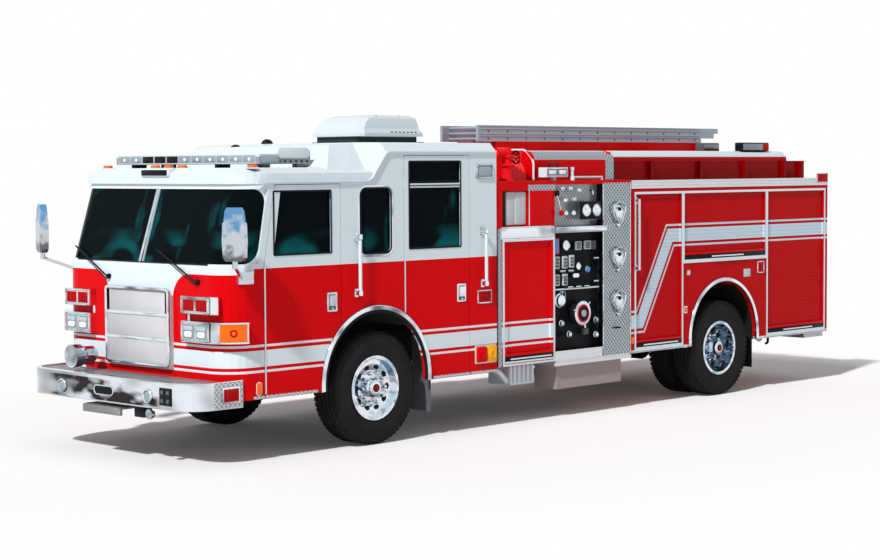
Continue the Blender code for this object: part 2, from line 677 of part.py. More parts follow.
def rod(name, start, end, radius, finish, segments=10):
    span = Vector(end) - Vector(start)
    profile = ((0, 0), (radius, 0), (radius, span.length), (0, span.length))
    return turned(name, profile, start, span, finish, segments)


def combine(target, others, operation="UNION"):
    """Apply Booleans of one kind to the target and remove the bodies that were used."""
    for number, other in enumerate(others):
        other.hide_render = True
        other.display_type = "WIRE"
        modifier = target.modifiers.new(f"{operation.lower()}_{number}", "BOOLEAN")
        modifier.operation = operation
        modifier.solver = "EXACT"
        modifier.object = other
    bpy.context.view_layer.update()
    evaluated = target.evaluated_get(bpy.context.evaluated_depsgraph_get())
    result = bpy.data.meshes.new_from_object(evaluated)
    target.modifiers.clear()
    old = target.data
    material = old.materials[0]
    target.data = result
    result.materials.clear()
    result.materials.append(material)
    result.name = target.name
    bpy.data.meshes.remove(old)
    for other in others:
        data = other.data
        bpy.data.objects.remove(other)
        bpy.data.meshes.remove(data)
    return target


def cut(target, cutters):
    return combine(target, cutters, "DIFFERENCE")


def place_origin(item, point, parent=None):
    """Move an object's origin to a point, keeping its shape where it is."""
    item.data.transform(Matrix.Translation(-Vector(point)))
    item.location = point
    if parent is not None:
        item.parent = parent
        item.matrix_parent_inverse = parent.matrix_basis.inverted()
    return item


def axis_marker(name, point):
    marker = bpy.data.objects.new(name, None)
    marker.location = point
    bpy.context.collection.objects.link(marker)
    return marker


def plan_outline(front, rear, half, radius):
    """Cab plan: square rear corners and rounded front ones, as (x, y) points."""
    points = [(rear, -half)]
    for step in range(CORNER_STEPS + 1):
        angle = math.radians(90 * step / CORNER_STEPS)
        points.append((front + radius - radius * math.sin(angle), -half + radius - radius * math.cos(angle)))
    for step in range(CORNER_STEPS + 1):
        angle = math.radians(90 * step / CORNER_STEPS)
        points.append((front + radius - radius * math.cos(angle), half - radius + radius * math.sin(angle)))
    points.append((rear, half))
    return points


def plan_ring(height, front, rear, half, radius):
    return [(x, y, height) for x, y in plan_outline(front, rear, half, radius)]


def corner_path(side, offset, start_y, steps, front=None, radius=None):
    """Plan path along the cab's front face and round its corner, set outward by an offset."""
    front = at(CAB_FACE_AT) if front is None else front
    radius = CAB_CORNER if radius is None else radius
    centre_x = front + radius
    centre_y = HALF - radius
    reach = radius + offset
    points = [(front - offset, side * start_y)]
    for step in range(steps + 1):
        angle = math.radians(90 * step / CORNER_STEPS)
        points.append((centre_x - reach * math.cos(angle), side * (centre_y + reach * math.sin(angle))))
    return points


def corner_band(name, side, offsets, start_y, steps, heights, finish):
    inner = corner_path(side, offsets[0], start_y, steps)
    outer = corner_path(side, offsets[1], start_y, steps)
    return prism(name, inner + outer[::-1], "Z", heights[0], heights[1], finish)


def shield_front(height):
    """Cab face station at a height between the belt and the head of the windshield."""
    share = max(0.0, (height - BELT_HEIGHT) / (DRIP_HEIGHT - BELT_HEIGHT))
    return CAB_FACE_AT + (SHIELD_HEAD_AT - CAB_FACE_AT) * share


def arch_points(centre_at, height, radius, start_deg, end_deg, steps=14):
    points = []
    for step in range(steps + 1):
        angle = math.radians(start_deg + (end_deg - start_deg) * step / steps)
        points.append((at(centre_at) + radius * math.cos(angle), height + radius * math.sin(angle)))
    return points


def front_door_outline(gap):
    """Left edge slants with the pillar, and the wheel arch trims the lower rear corner."""
    slope = (DOOR_SLANT_TOP_AT - FRONT_DOOR_FRONT_AT) / (FRONT_DOOR_TOP - BELT_HEIGHT)
    front = at(FRONT_DOOR_FRONT_AT) + gap
    rear = at(FRONT_DOOR_REAR_AT) - gap
    top = FRONT_DOOR_TOP - gap
    return [
        (front, CAB_BOTTOM), (rear, CAB_BOTTOM), (rear, top),
        (front + slope * (top - BELT_HEIGHT), top), (front, BELT_HEIGHT),
    ]


def rear_door_outline(gap):
    front = at(REAR_DOOR_FRONT_AT) + gap
    rear = at(REAR_DOOR_REAR_AT) - gap
    top = REAR_DOOR_TOP - gap
    return [(front, CAB_BOTTOM), (rear, CAB_BOTTOM), (rear, top), (front, top)]


def grown_box(span, growth, slant=0.0):
    front, rear, low, high = span
    return [
        (at(front) - growth, low - growth), (at(rear) + growth, low - growth),
        (at(rear) + growth, high + growth), (at(front) - growth + slant, high + growth),
    ]


def rounded_box(span, radius, growth=0.0, steps=4):
    front, rear, low, high = span
    low_x, high_x = at(front) - growth, at(rear) + growth
    low_z, high_z = low - growth, high + growth
    centres = ((high_x - radius, low_z + radius, -90), (high_x - radius, high_z - radius, 0),
               (low_x + radius, high_z - radius, 90), (low_x + radius, low_z + radius, 180))
    points = []
    for centre_x, centre_z, start in centres:
        for step in range(steps + 1):
            angle = math.radians(start + 90 * step / steps)
            points.append((centre_x + radius * math.cos(angle), centre_z + radius * math.sin(angle)))
    return points


def through_cutter(outline, low_y=None, high_y=None):
    low_y = -HALF - CUT_OVERRUN if low_y is None else low_y
    high_y = HALF + CUT_OVERRUN if high_y is None else high_y
    return prism("cutter", outline, "Y", low_y, high_y, "black_steel")


def side_prism(name, outline, side, near, far, finish):
    low, high = sorted((side * near, side * far))
    return prism(name, outline, "Y", low, high, finish)


def spring_packs(axle_x, seat_height):
    """Leaf springs that rise from the axle seat to their hangers under the rails."""
    packs = []
    for side in (LEFT, RIGHT):
        top = seat_height + SPRING_THICKNESS
        outline = [
            (axle_x - SPRING_HALF_LENGTH, top + SPRING_RISE), (axle_x - SPRING_HALF_LENGTH / 2, top + SPRING_RISE / 4),
            (axle_x, top), (axle_x + SPRING_HALF_LENGTH / 2, top + SPRING_RISE / 4),
            (axle_x + SPRING_HALF_LENGTH, top + SPRING_RISE),
            (axle_x + SPRING_HALF_LENGTH, top + SPRING_RISE - SPRING_THICKNESS / 3),
            (axle_x, seat_height), (axle_x - SPRING_HALF_LENGTH, top + SPRING_RISE - SPRING_THICKNESS / 3),
        ]
        packs.append(side_prism("spring", outline, side, RAIL_Y - SPRING_WIDTH / 2, RAIL_Y + SPRING_WIDTH / 2,
                                "black_steel"))
    return packs


def front_spring_seat():
    return AXLE_HEIGHT + FRONT_BEAM_HEIGHT / 2 - SPRING_THICKNESS / 3


def rear_spring_seat():
    return AXLE_HEIGHT + AXLE_TUBE_RADIUS - SPRING_THICKNESS / 3


def build_frame():
    """Two rails with crossmembers, front horns, spring hangers, cab mounts and engine mounts."""
    front = at(CAB_FACE_AT) + CAB_WALL + FIT_GAP
    rear = at(REAR_END_AT - FRAME_REAR_INSET)
    inner, outer = RAIL_Y - RAIL_WIDTH / 2, RAIL_Y + RAIL_WIDTH / 2
    inset = RAIL_HEIGHT / 6
    pieces = []
    for side in (LEFT, RIGHT):
        pieces.append(side_box("frame", side, (front, rear), (inner, outer), (RAIL_BOTTOM, RAIL_TOP), "black_steel"))
        tip = at(-FRONT_OVERHANG) + BUMPER_WALL + FIT_GAP
        pieces.append(side_box("horn", side, (tip, tip + HORN_LENGTH), (inner, outer), (HORN_BOTTOM, HORN_TOP),
                               "black_steel"))
        pieces.append(side_box("drop", side, (tip + HORN_LENGTH - RAIL_WIDTH, tip + HORN_LENGTH), (inner, outer),
                               (HORN_BOTTOM + inset, RAIL_TOP - inset), "black_steel"))
        for station in CAB_MOUNTS_AT:
            pieces.append(side_box("mount", side, (at(station) - CAB_MOUNT_HALF, at(station) + CAB_MOUNT_HALF),
                                   (inner, outer - inset / 2), (RAIL_TOP - inset, FLOOR_HEIGHT - FIT_GAP),
                                   "black_steel"))
        middle = at(ENGINE_FRONT_AT) + ENGINE_LENGTH / 2
        pieces.append(side_box("engine_mount", side, (middle - ENGINE_MOUNT_HALF, middle + ENGINE_MOUNT_HALF),
                               (ENGINE_WIDTH / 2 + FIT_GAP, RAIL_Y), (RAIL_BOTTOM + inset, RAIL_TOP - inset),
                               "black_steel"))
    for share in CROSSMEMBER_SHARES:
        middle = front + share * (rear - front)
        pieces.append(box("crossmember", (middle - CROSSMEMBER_DEPTH / 2, -RAIL_Y, RAIL_BOTTOM + inset),
                          (middle + CROSSMEMBER_DEPTH / 2, RAIL_Y, RAIL_TOP - inset), "black_steel"))
    for axle_x, seat in ((FRONT_AXLE_X, front_spring_seat()), (REAR_AXLE_X, rear_spring_seat())):
        low = seat + SPRING_THICKNESS + SPRING_RISE + FIT_GAP
        for side in (LEFT, RIGHT):
            for end in (-1, 1):
                middle = axle_x + end * (SPRING_HALF_LENGTH - HANGER_LENGTH / 4)
                pieces.append(side_box("hanger", side, (middle - HANGER_LENGTH / 2, middle + HANGER_LENGTH / 2),
                                       (RAIL_Y - SPRING_WIDTH / 3, RAIL_Y + SPRING_WIDTH / 3),
                                       (low, RAIL_BOTTOM + inset), "black_steel"))
    return combine(pieces[0], pieces[1:])


def build_front_axle():
    half_depth = FRONT_BEAM_DEPTH / 2
    low, high = AXLE_HEIGHT - FRONT_BEAM_HEIGHT / 2, AXLE_HEIGHT + FRONT_BEAM_HEIGHT / 2
    beam = box("front_axle", (FRONT_AXLE_X - half_depth, -KINGPIN_Y, low),
               (FRONT_AXLE_X + half_depth, KINGPIN_Y, high), "black_steel")
    bosses = []
    for side in (LEFT, RIGHT):
        bosses.append(rod("boss", (FRONT_AXLE_X, side * KINGPIN_Y, AXLE_HEIGHT - KINGPIN_BOSS_HEIGHT / 2),
                          (FRONT_AXLE_X, side * KINGPIN_Y, AXLE_HEIGHT + KINGPIN_BOSS_HEIGHT / 2),
                          KINGPIN_BOSS_RADIUS, "black_steel", 16))
    return combine(beam, bosses + spring_packs(FRONT_AXLE_X, front_spring_seat()))


def rear_hub_seat():
    return REAR_TYRE_Y - DUAL_SPACING / 2


def build_rear_axle():
    tip = rear_hub_seat() + HUB_RADIUS - PIN_GAP
    flare = DIFFERENTIAL_HALF_WIDTH + AXLE_TUBE_RADIUS * 2
    half = ((SPINDLE_RADIUS, tip), (SPINDLE_RADIUS, AXLE_TUBE_HALF_LENGTH), (AXLE_TUBE_RADIUS, AXLE_TUBE_HALF_LENGTH),
            (AXLE_TUBE_RADIUS, flare), (DIFFERENTIAL_RADIUS, DIFFERENTIAL_HALF_WIDTH))
    profile = [(0, -tip)] + [(radius, -along) for radius, along in half]
    profile += [(radius, along) for radius, along in half[::-1]] + [(0, tip)]
    axle = turned("rear_axle", profile, (REAR_AXLE_X, 0, AXLE_HEIGHT), (0, 1, 0), "black_steel", 16)
    shaft_z = AXLE_HEIGHT + SHAFT_RISE
    engine_rear = at(ENGINE_FRONT_AT) + ENGINE_LENGTH
    shaft = rod("shaft", (engine_rear + FIT_GAP, 0, shaft_z), (REAR_AXLE_X, 0, shaft_z), SHAFT_RADIUS,
                "black_steel", 12)
    return combine(axle, [shaft] + spring_packs(REAR_AXLE_X, rear_spring_seat()))


def build_engine():
    front = at(ENGINE_FRONT_AT)
    return box("engine", (front, -ENGINE_WIDTH / 2, ENGINE_BOTTOM),
               (front + ENGINE_LENGTH, ENGINE_WIDTH / 2, ENGINE_TOP), "black_steel")


def build_knuckle(side):
    """Forked steering knuckle that turns about the kingpin and carries the spindle."""
    centre_x = FRONT_AXLE_X
    half_boss = KINGPIN_BOSS_HEIGHT / 2 + PIN_GAP
    plate_y = KINGPIN_Y + KNUCKLE_ARM_REACH
    half_width = KINGPIN_BOSS_RADIUS
    reach = (KINGPIN_Y - KINGPIN_BOSS_RADIUS, plate_y + KNUCKLE_PLATE)
    plate = side_box(f"knuckle_{side_name(side)}", side, (centre_x - half_width, centre_x + half_width),
                     (plate_y, plate_y + KNUCKLE_PLATE),
                     (AXLE_HEIGHT - half_boss - KNUCKLE_ARM_THICKNESS, AXLE_HEIGHT + half_boss + KNUCKLE_ARM_THICKNESS),
                     "black_steel")
    arms = []
    for direction in (-1, 1):
        near = AXLE_HEIGHT + direction * half_boss
        far = near + direction * KNUCKLE_ARM_THICKNESS
        arms.append(side_box("arm", side, (centre_x - half_width, centre_x + half_width), reach,
                             tuple(sorted((near, far))), "black_steel"))
    tip = FRONT_TYRE_Y + SPINDLE_SHARE * FRONT_TYRE_WIDTH / 2 - PIN_GAP
    spindle = rod("spindle", (centre_x, side * (plate_y + KNUCKLE_PLATE / 2), AXLE_HEIGHT),
                  (centre_x, side * tip, AXLE_HEIGHT), SPINDLE_RADIUS, "black_steel", WHEEL_SEGMENTS)
    knuckle = combine(plate, arms + [spindle])
    marker = axis_marker(f"kingpin_{side_name(side)}", (FRONT_AXLE_X, side * KINGPIN_Y, AXLE_HEIGHT))
    return place_origin(knuckle, (FRONT_AXLE_X, side * KINGPIN_Y, AXLE_HEIGHT), marker)


def rim_outer(centre, half):
    """Tyre side of a rim, from its outer lip to its inner one."""
    rows = ((FLANGE_RADIUS, LIP_SHARE), (FLANGE_RADIUS, FLANGE_SHARE), (SEAT_RADIUS, SEAT_SHARE))
    outer = [(radius, centre + share * half) for radius, share in rows]
    return outer + [(radius, centre - share * half) for radius, share in rows[::-1]]


def front_wheel_profile():
    half = FRONT_TYRE_WIDTH / 2
    centre = FRONT_TYRE_Y
    barrel = SEAT_RADIUS - RIM_WALL
    outer = [
        (0, centre + half), (HUB_CAP_RADIUS, centre + half), (HUB_RADIUS, centre + CROWN_SHARE * half + RIM_WALL),
        (HUB_RADIUS, centre + DISC_SHARE * half), (LUG_RADIUS, centre + DISC_SHARE * half),
        (CROWN_RADIUS, centre + CROWN_SHARE * half), (barrel, centre + CROWN_SHARE * half),
        (barrel, centre + LIP_SHARE * half),
    ]
    inner = [
        (barrel, centre - LIP_SHARE * half), (barrel, centre + CROWN_SHARE * half - RIM_WALL),
        (CROWN_RADIUS, centre + CROWN_SHARE * half - RIM_WALL),
        (DRUM_RADIUS, centre + SPINDLE_SHARE * half), (DRUM_RADIUS, centre - SEAT_SHARE * half),
        (BORE_RADIUS, centre - SEAT_SHARE * half), (BORE_RADIUS, centre + SPINDLE_SHARE * half),
        (0, centre + SPINDLE_SHARE * half),
    ]
    return outer + rim_outer(centre, half) + inner


def rear_wheel_profile():
    half = REAR_TYRE_WIDTH / 2
    outer_centre = REAR_TYRE_Y
    inner_centre = REAR_TYRE_Y - DUAL_SPACING
    seat = rear_hub_seat()
    barrel = SEAT_RADIUS - RIM_WALL
    web = RIM_WALL
    outer = [
        (0, seat + 2 * HUB_RADIUS), (HUB_CAP_RADIUS, seat + 2 * HUB_RADIUS), (HUB_RADIUS, seat + HUB_RADIUS * 3 / 2),
        (HUB_RADIUS, seat + web), (LUG_RADIUS, seat + web), (CROWN_RADIUS, seat + 2 * web),
        (barrel, outer_centre - WELL_SHARE * half), (barrel, outer_centre + LIP_SHARE * half),
    ]
    neck = [(barrel, seat + web), (barrel, seat - web)]
    inner = [
        (barrel, inner_centre - LIP_SHARE * half), (barrel, inner_centre + WELL_SHARE * half),
        (CROWN_RADIUS, seat - 2 * web), (DRUM_RADIUS, seat - 2 * web),
        (DRUM_RADIUS, inner_centre - WELL_SHARE * half), (BORE_RADIUS, inner_centre - WELL_SHARE * half),
        (BORE_RADIUS, seat + HUB_RADIUS), (0, seat + HUB_RADIUS),
    ]
    return outer + rim_outer(outer_centre, half) + neck + rim_outer(inner_centre, half) + inner


def hand_hole_cutters(side, axle_x, face_y):
    """Holes through the disc between its hub and its rim."""
    cutters = []
    for step in range(HAND_HOLES):
        angle = 2 * math.pi * step / HAND_HOLES
        x = axle_x + HAND_HOLE_CIRCLE * math.cos(angle)
        z = AXLE_HEIGHT + HAND_HOLE_CIRCLE * math.sin(angle)
        cutters.append(rod("hole", (x, side * (face_y + CUT_OVERRUN), z),
                           (x, side * (face_y - HAND_HOLE_DEPTH), z), HAND_HOLE_RADIUS, "black_steel",
                           HAND_HOLE_SIDES))
    return cutters


def build_tyre(name, side, axle_x, centre_y, width):
    half = width / 2
    depth = TYRE_RADIUS - BEAD_RADIUS
    rows = [(BEAD_RADIUS + share * depth, centre_y + across * half) for share, across in TYRE_SHARES]
    rows += [(BEAD_RADIUS + share * depth, centre_y - across * half) for share, across in TYRE_SHARES[::-1]]
    centre = (axle_x, 0, AXLE_HEIGHT)
    return turned(name, rows, centre, (0, side, 0), "rubber")


def build_wheels(side):
    label = side_name(side)
    front_centre = (FRONT_AXLE_X, 0, AXLE_HEIGHT)
    rear_centre = (REAR_AXLE_X, 0, AXLE_HEIGHT)
    front = turned(f"wheel_front_{label}", front_wheel_profile(), front_centre, (0, side, 0), "chrome")
    rear = turned(f"wheel_rear_{label}", rear_wheel_profile(), rear_centre, (0, side, 0), "chrome")
    cut(front, hand_hole_cutters(side, FRONT_AXLE_X, FRONT_TYRE_Y + CROWN_SHARE * FRONT_TYRE_WIDTH / 2 - RIM_WALL))
    cut(rear, hand_hole_cutters(side, REAR_AXLE_X, rear_hub_seat() + RIM_WALL))
    tyre = build_tyre(f"tyre_front_{label}", side, FRONT_AXLE_X, FRONT_TYRE_Y, FRONT_TYRE_WIDTH)
    outer = build_tyre(f"tyre_rear_outer_{label}", side, REAR_AXLE_X, REAR_TYRE_Y, REAR_TYRE_WIDTH)
    inner = build_tyre(f"tyre_rear_inner_{label}", side, REAR_AXLE_X, REAR_TYRE_Y - DUAL_SPACING, REAR_TYRE_WIDTH)
    for item in (front, tyre):
        place_origin(item, (FRONT_AXLE_X, side * FRONT_TYRE_Y, AXLE_HEIGHT))
    for item in (rear, outer, inner):
        place_origin(item, (REAR_AXLE_X, side * REAR_TYRE_Y, AXLE_HEIGHT))


def cab_outer(name, inset):
    """Cab body below the drip rail, with an inset that makes the hollow from the same shape."""
    rear = at(CAB_REAR_AT) - inset
    half = HALF - inset
    radius = CAB_CORNER - inset
    rings = [
        plan_ring(CAB_BOTTOM, at(CAB_FACE_AT) + inset, rear, half, radius),
        plan_ring(BELT_HEIGHT, at(CAB_FACE_AT) + inset, rear, half, radius),
        plan_ring(DRIP_HEIGHT, at(SHIELD_HEAD_AT) + inset, rear, half, radius),
    ]
    return loft(name, rings, "white_paint")


def raised_section(station, drip, shoulder_inset, height, base):
    half = HALF
    x = at(station)
    return [(x, -half, base), (x, -half, drip), (x, -half + shoulder_inset, height),
            (x, half - shoulder_inset, height), (x, half, drip), (x, half, base)]


def build_cab_shell():
    shell = cab_outer("cab_shell", 0.0)
    rear = at(CAB_REAR_AT)
    cap_rows = (
        (DRIP_HEIGHT - RIM_WALL, BROW_AT, 0.0), (BROW_HEIGHT, BROW_AT, RIM_WALL),
        (ROOF_HEIGHT, BROW_AT + ROOF_FRONT_INSET, ROOF_EDGE_INSET),
    )
    cap = loft("cap", [plan_ring(z, at(front), rear - FIT_GAP, HALF - side, CAB_CORNER) for z, front, side in cap_rows],
               "white_paint")
    base = DRIP_HEIGHT - CAB_WALL
    sections = [
        raised_section(RAISED_START_AT, DRIP_HEIGHT, RAISED_SHOULDER_INSET, ROOF_HEIGHT - FIT_GAP, base),
        raised_section(RAISED_FRONT_AT, DRIP_HEIGHT, RAISED_SHOULDER_INSET, RAISED_ROOF_HEIGHT - CAB_WALL / 2, base),
        raised_section(RAISED_KINK_LOW_AT, DRIP_HEIGHT, RAISED_SHOULDER_INSET, RAISED_ROOF_HEIGHT, base),
        raised_section(RAISED_KINK_HIGH_AT, RAISED_DRIP_HEIGHT, RAISED_EDGE_INSET, RAISED_ROOF_HEIGHT, base),
        raised_section(CAB_REAR_AT, RAISED_DRIP_HEIGHT, RAISED_EDGE_INSET, RAISED_ROOF_HEIGHT, base),
    ]
    raised = loft("raised", sections, "white_paint")
    combine(shell, [cap, raised])
    hollow_rings = [
        plan_ring(CAB_BOTTOM - CUT_OVERRUN, at(CAB_FACE_AT) + CAB_WALL, rear - CAB_WALL, HALF - CAB_WALL,
                  CAB_CORNER - CAB_WALL),
        plan_ring(BELT_HEIGHT, at(CAB_FACE_AT) + CAB_WALL, rear - CAB_WALL, HALF - CAB_WALL, CAB_CORNER - CAB_WALL),
        plan_ring(CEILING_HEIGHT, at(shield_front(CEILING_HEIGHT)) + CAB_WALL, rear - CAB_WALL, HALF - CAB_WALL,
                  CAB_CORNER - CAB_WALL),
    ]
    hollow = loft("hollow", hollow_rings, "black_steel")
    raised_hollow = box("hollow", (at(RAISED_KINK_HIGH_AT) + CAB_WALL, -HALF + CAB_WALL, CEILING_HEIGHT - CUT_OVERRUN),
                        (rear - CAB_WALL, HALF - CAB_WALL, RAISED_DRIP_HEIGHT - CAB_WALL / 3), "black_steel")
    cutters = [hollow, raised_hollow]
    for outline in (front_door_outline(0.0), rear_door_outline(0.0)):
        cutters.append(cut(through_cutter(door_opening(outline)), [arch_cutter(ARCH_TRIM - DOOR_GAP)]))
    cutters.append(arch_cutter(0.0))
    notch_y = RAIL_Y + RAIL_WIDTH
    low = CAB_BOTTOM - CUT_OVERRUN
    face = at(CAB_FACE_AT)
    cutters.append(box("notch", (face - CUT_OVERRUN, -notch_y, low), (face + CAB_WALL * 2, notch_y, HORN_TOP + PIN_GAP),
                       "black_steel"))
    cutters.append(box("tunnel", (rear - CAB_WALL * 2, -CHASSIS_TUNNEL_HALF_WIDTH, low),
                       (rear + CUT_OVERRUN, CHASSIS_TUNNEL_HALF_WIDTH, RAIL_TOP + DOOR_GAP), "black_steel"))
    cutters.append(through_cutter(rounded_box(SIDE_WINDOW, SIDE_WINDOW_CORNER)))
    for side in (LEFT, RIGHT):
        inner, outer = sorted((side * (HALF - GLASS_INSET), side * (HALF - CAB_WALL - CUT_OVERRUN)))
        cutters.append(prism("rebate", rounded_box(SIDE_WINDOW, SIDE_WINDOW_CORNER, GLASS_LAP), "Y", inner, outer,
                             "black_steel"))
        cutters.append(shield_cutter(side, 0.0))
    return cut(shell, cutters)


def door_opening(outline):
    """A door's outline carried below the cab's bottom edge, so that the cut leaves no sill."""
    return [(x, z - CUT_OVERRUN if z == CAB_BOTTOM else z) for x, z in outline]


def shield_outline(gap):
    """Side view of the windshield opening, whose rear edge runs along the pillar."""
    slope = (DOOR_SLANT_TOP_AT - FRONT_DOOR_FRONT_AT) / (FRONT_DOOR_TOP - BELT_HEIGHT)
    low, high = SHIELD_BOTTOM + gap, SHIELD_TOP - gap
    rear_low = at(FRONT_DOOR_FRONT_AT) - PILLAR_SETBACK - gap
    ahead = at(-FRONT_OVERHANG)
    return [(ahead, low), (rear_low, low), (rear_low + slope * (high - low), high), (ahead, high)]


def shield_cutter(side, gap):
    return side_prism("shield", shield_outline(gap), side, SHIELD_DIVIDER / 2 + gap, HALF + CUT_OVERRUN, "glass")


def build_windshield(side):
    """Curved pane that follows the raked face and wraps round the cab's corner."""
    pane = cab_outer(f"windshield_{side_name(side)}", GLASS_INSET)
    pane.data.materials[0] = MATERIALS["glass"]
    inner_rings = []
    inset = GLASS_INSET + GLASS_THICKNESS
    slope = (SHIELD_HEAD_AT - CAB_FACE_AT) / (DRIP_HEIGHT - BELT_HEIGHT)
    for z, front in ((CAB_BOTTOM - CUT_OVERRUN, CAB_FACE_AT), (BELT_HEIGHT, CAB_FACE_AT),
                     (DRIP_HEIGHT + CUT_OVERRUN, SHIELD_HEAD_AT + slope * CUT_OVERRUN)):
        inner_rings.append(plan_ring(z, at(front) + inset, at(CAB_REAR_AT) - inset, HALF - inset, CAB_CORNER - inset))
    cut(pane, [loft("core", inner_rings, "glass")])
    return combine(pane, [shield_cutter(side, FIT_GAP)], "INTERSECT")


def build_side_glass(side):
    near = HALF - GLASS_INSET - FIT_GAP
    outline = rounded_box(SIDE_WINDOW, SIDE_WINDOW_CORNER, GLASS_LAP - FIT_GAP)
    return side_prism(f"side_glass_{side_name(side)}", outline, side, near - GLASS_THICKNESS, near, "glass")


def arch_cutter(growth):
    """Front wheel opening through both sides, grown outward by a margin."""
    arch = arch_points(FRONT_ARCH_AT, FRONT_ARCH_HEIGHT, FRONT_ARCH_RADIUS + growth, 0, 180)
    low = CAB_BOTTOM - 2 * CUT_OVERRUN
    over = HALF + 2 * CUT_OVERRUN
    return through_cutter(arch + [(arch[-1][0], low), (arch[0][0], low)], -over, over)


def build_door(name, side, outline, windows, pane_span, slant, hinges):
    """Door as thick as the cab wall, with its hinge lugs, its window and a pane seated from inside."""
    door = side_prism(f"{name}_{side_name(side)}", outline, side, HALF - CAB_WALL, HALF, "red_paint")
    edge = outline[0][0]
    lugs = [side_box("lug", side, (edge - DOOR_GAP + PIN_GAP, edge + DOOR_GAP), (HALF - CAB_WALL / 2, HALF),
                     (height - HINGE_HALF_HEIGHT, height + HINGE_HALF_HEIGHT), "red_paint") for height in hinges]
    combine(door, lugs)
    cutters = [arch_cutter(ARCH_TRIM)]
    for window in windows:
        cutters.append(through_cutter(window))
    rebate = grown_box(pane_span, GLASS_LAP, slant)
    near = HALF - GLASS_INSET
    cutters.append(side_prism("rebate", rebate, side, HALF - CAB_WALL - CUT_OVERRUN, near, "black_steel"))
    cut(door, cutters)
    pane_outline = grown_box(pane_span, GLASS_LAP - FIT_GAP, slant)
    pane = side_prism(f"{name}_glass_{side_name(side)}", pane_outline, side, near - FIT_GAP - GLASS_THICKNESS,
                      near - FIT_GAP, "glass")
    return door, pane


def build_doors(side):
    lower = REAR_WINDOW[:3] + (REAR_WINDOW_BAR_LOW,)
    upper = REAR_WINDOW[:2] + (REAR_WINDOW_BAR_HIGH, REAR_WINDOW[3])
    specs = (
        ("front_door", FRONT_DOOR_FRONT_AT, front_door_outline(DOOR_GAP),
         [grown_box(FRONT_WINDOW, 0.0, FRONT_WINDOW_SLANT)], FRONT_WINDOW, FRONT_WINDOW_SLANT, FRONT_HINGES),
        ("rear_door", REAR_DOOR_FRONT_AT, rear_door_outline(DOOR_GAP),
         [grown_box(lower, 0.0), grown_box(upper, 0.0)], REAR_WINDOW, 0.0, REAR_HINGES),
    )
    for name, front_at, outline, windows, pane_span, slant, hinges in specs:
        door, pane = build_door(name, side, outline, windows, pane_span, slant, hinges)
        hinge = (at(front_at) + DOOR_HINGE_GAP, side * HALF, BELT_HEIGHT)
        marker = axis_marker(f"{name}_hinge_{side_name(side)}", hinge)
        for item in (door, pane):
            place_origin(item, hinge, marker)


def build_cab_floor():
    """Stepped floor with wheel housings, engine cover and the four step wells, all one pressing."""
    inner = HALF - CAB_WALL - FLOOR_SIDE_GAP
    front = at(CAB_FACE_AT) + CAB_WALL + FIT_GAP
    rear = at(CAB_REAR_AT) - CAB_WALL - FIT_GAP
    house_front, house_rear = FRONT_AXLE_X - HOUSING_HALF_LENGTH, FRONT_AXLE_X + HOUSING_HALF_LENGTH
    sheet = FLOOR_THICKNESS
    outline = [
        (front, FLOOR_HEIGHT), (house_front, FLOOR_HEIGHT), (house_front, HOUSING_HEIGHT),
        (house_rear, HOUSING_HEIGHT), (house_rear, FLOOR_HEIGHT), (rear, FLOOR_HEIGHT),
        (rear, FLOOR_HEIGHT + sheet), (house_rear + sheet, FLOOR_HEIGHT + sheet),
        (house_rear + sheet, HOUSING_HEIGHT + sheet), (house_front - sheet, HOUSING_HEIGHT + sheet),
        (house_front - sheet, FLOOR_HEIGHT + sheet), (front, FLOOR_HEIGHT + sheet),
    ]
    floor = prism("cab_floor", outline, "Y", -inner, inner, "grey_plastic")
    cover = box("cover", (at(TUNNEL_FRONT_AT), -TUNNEL_HALF_WIDTH, FLOOR_HEIGHT + sheet / 2),
                (at(TUNNEL_REAR_AT), TUNNEL_HALF_WIDTH, TUNNEL_TOP), "grey_plastic")
    pieces = [cover]
    wells = step_wells()
    for side in (LEFT, RIGHT):
        for low_x, high_x in wells:
            pieces.append(side_box("well", side, (low_x, high_x), (STEP_INNER_Y, inner),
                                   (STEP_HEIGHT - sheet, FLOOR_HEIGHT + sheet / 2), "grey_plastic"))
    combine(floor, pieces)
    cutters = [box("hollow", (at(TUNNEL_FRONT_AT) + sheet, -TUNNEL_HALF_WIDTH + sheet, CAB_BOTTOM),
                   (at(TUNNEL_REAR_AT) - sheet, TUNNEL_HALF_WIDTH - sheet, TUNNEL_TOP - sheet), "grey_plastic")]
    for side in (LEFT, RIGHT):
        for low_x, high_x in wells:
            cutters.append(side_box("well", side, (low_x + sheet, high_x - sheet),
                                    (STEP_INNER_Y + sheet, inner + CUT_OVERRUN),
                                    (STEP_HEIGHT, FLOOR_HEIGHT + sheet + CUT_OVERRUN), "grey_plastic"))
    cut(floor, cutters)
    plan = plan_outline(front, rear, inner, CAB_CORNER - CAB_WALL)
    combine(floor, [prism("plan", plan, "Z", CAB_BOTTOM - CUT_OVERRUN, ROOF_HEIGHT, "grey_plastic")], "INTERSECT")
    flaps = []
    for side in (LEFT, RIGHT):
        flaps.append(side_box("flap", side, (house_rear, house_rear + FLAP_THICKNESS), (FLAP_INNER_Y, FLAP_OUTER_Y - CUT_OVERRUN / 10),
                              (FRONT_FLAP_BOTTOM, STEP_HEIGHT + FLAP_LAP), "rubber"))
    return combine(floor, flaps)


def step_wells():
    sheet = FLOOR_THICKNESS
    house_front, house_rear = FRONT_AXLE_X - HOUSING_HALF_LENGTH, FRONT_AXLE_X + HOUSING_HALF_LENGTH
    front_low = at(FRONT_DOOR_FRONT_AT) + sheet
    rear_high = at(REAR_DOOR_REAR_AT) - sheet
    return ((front_low, house_front), (house_rear, rear_high))


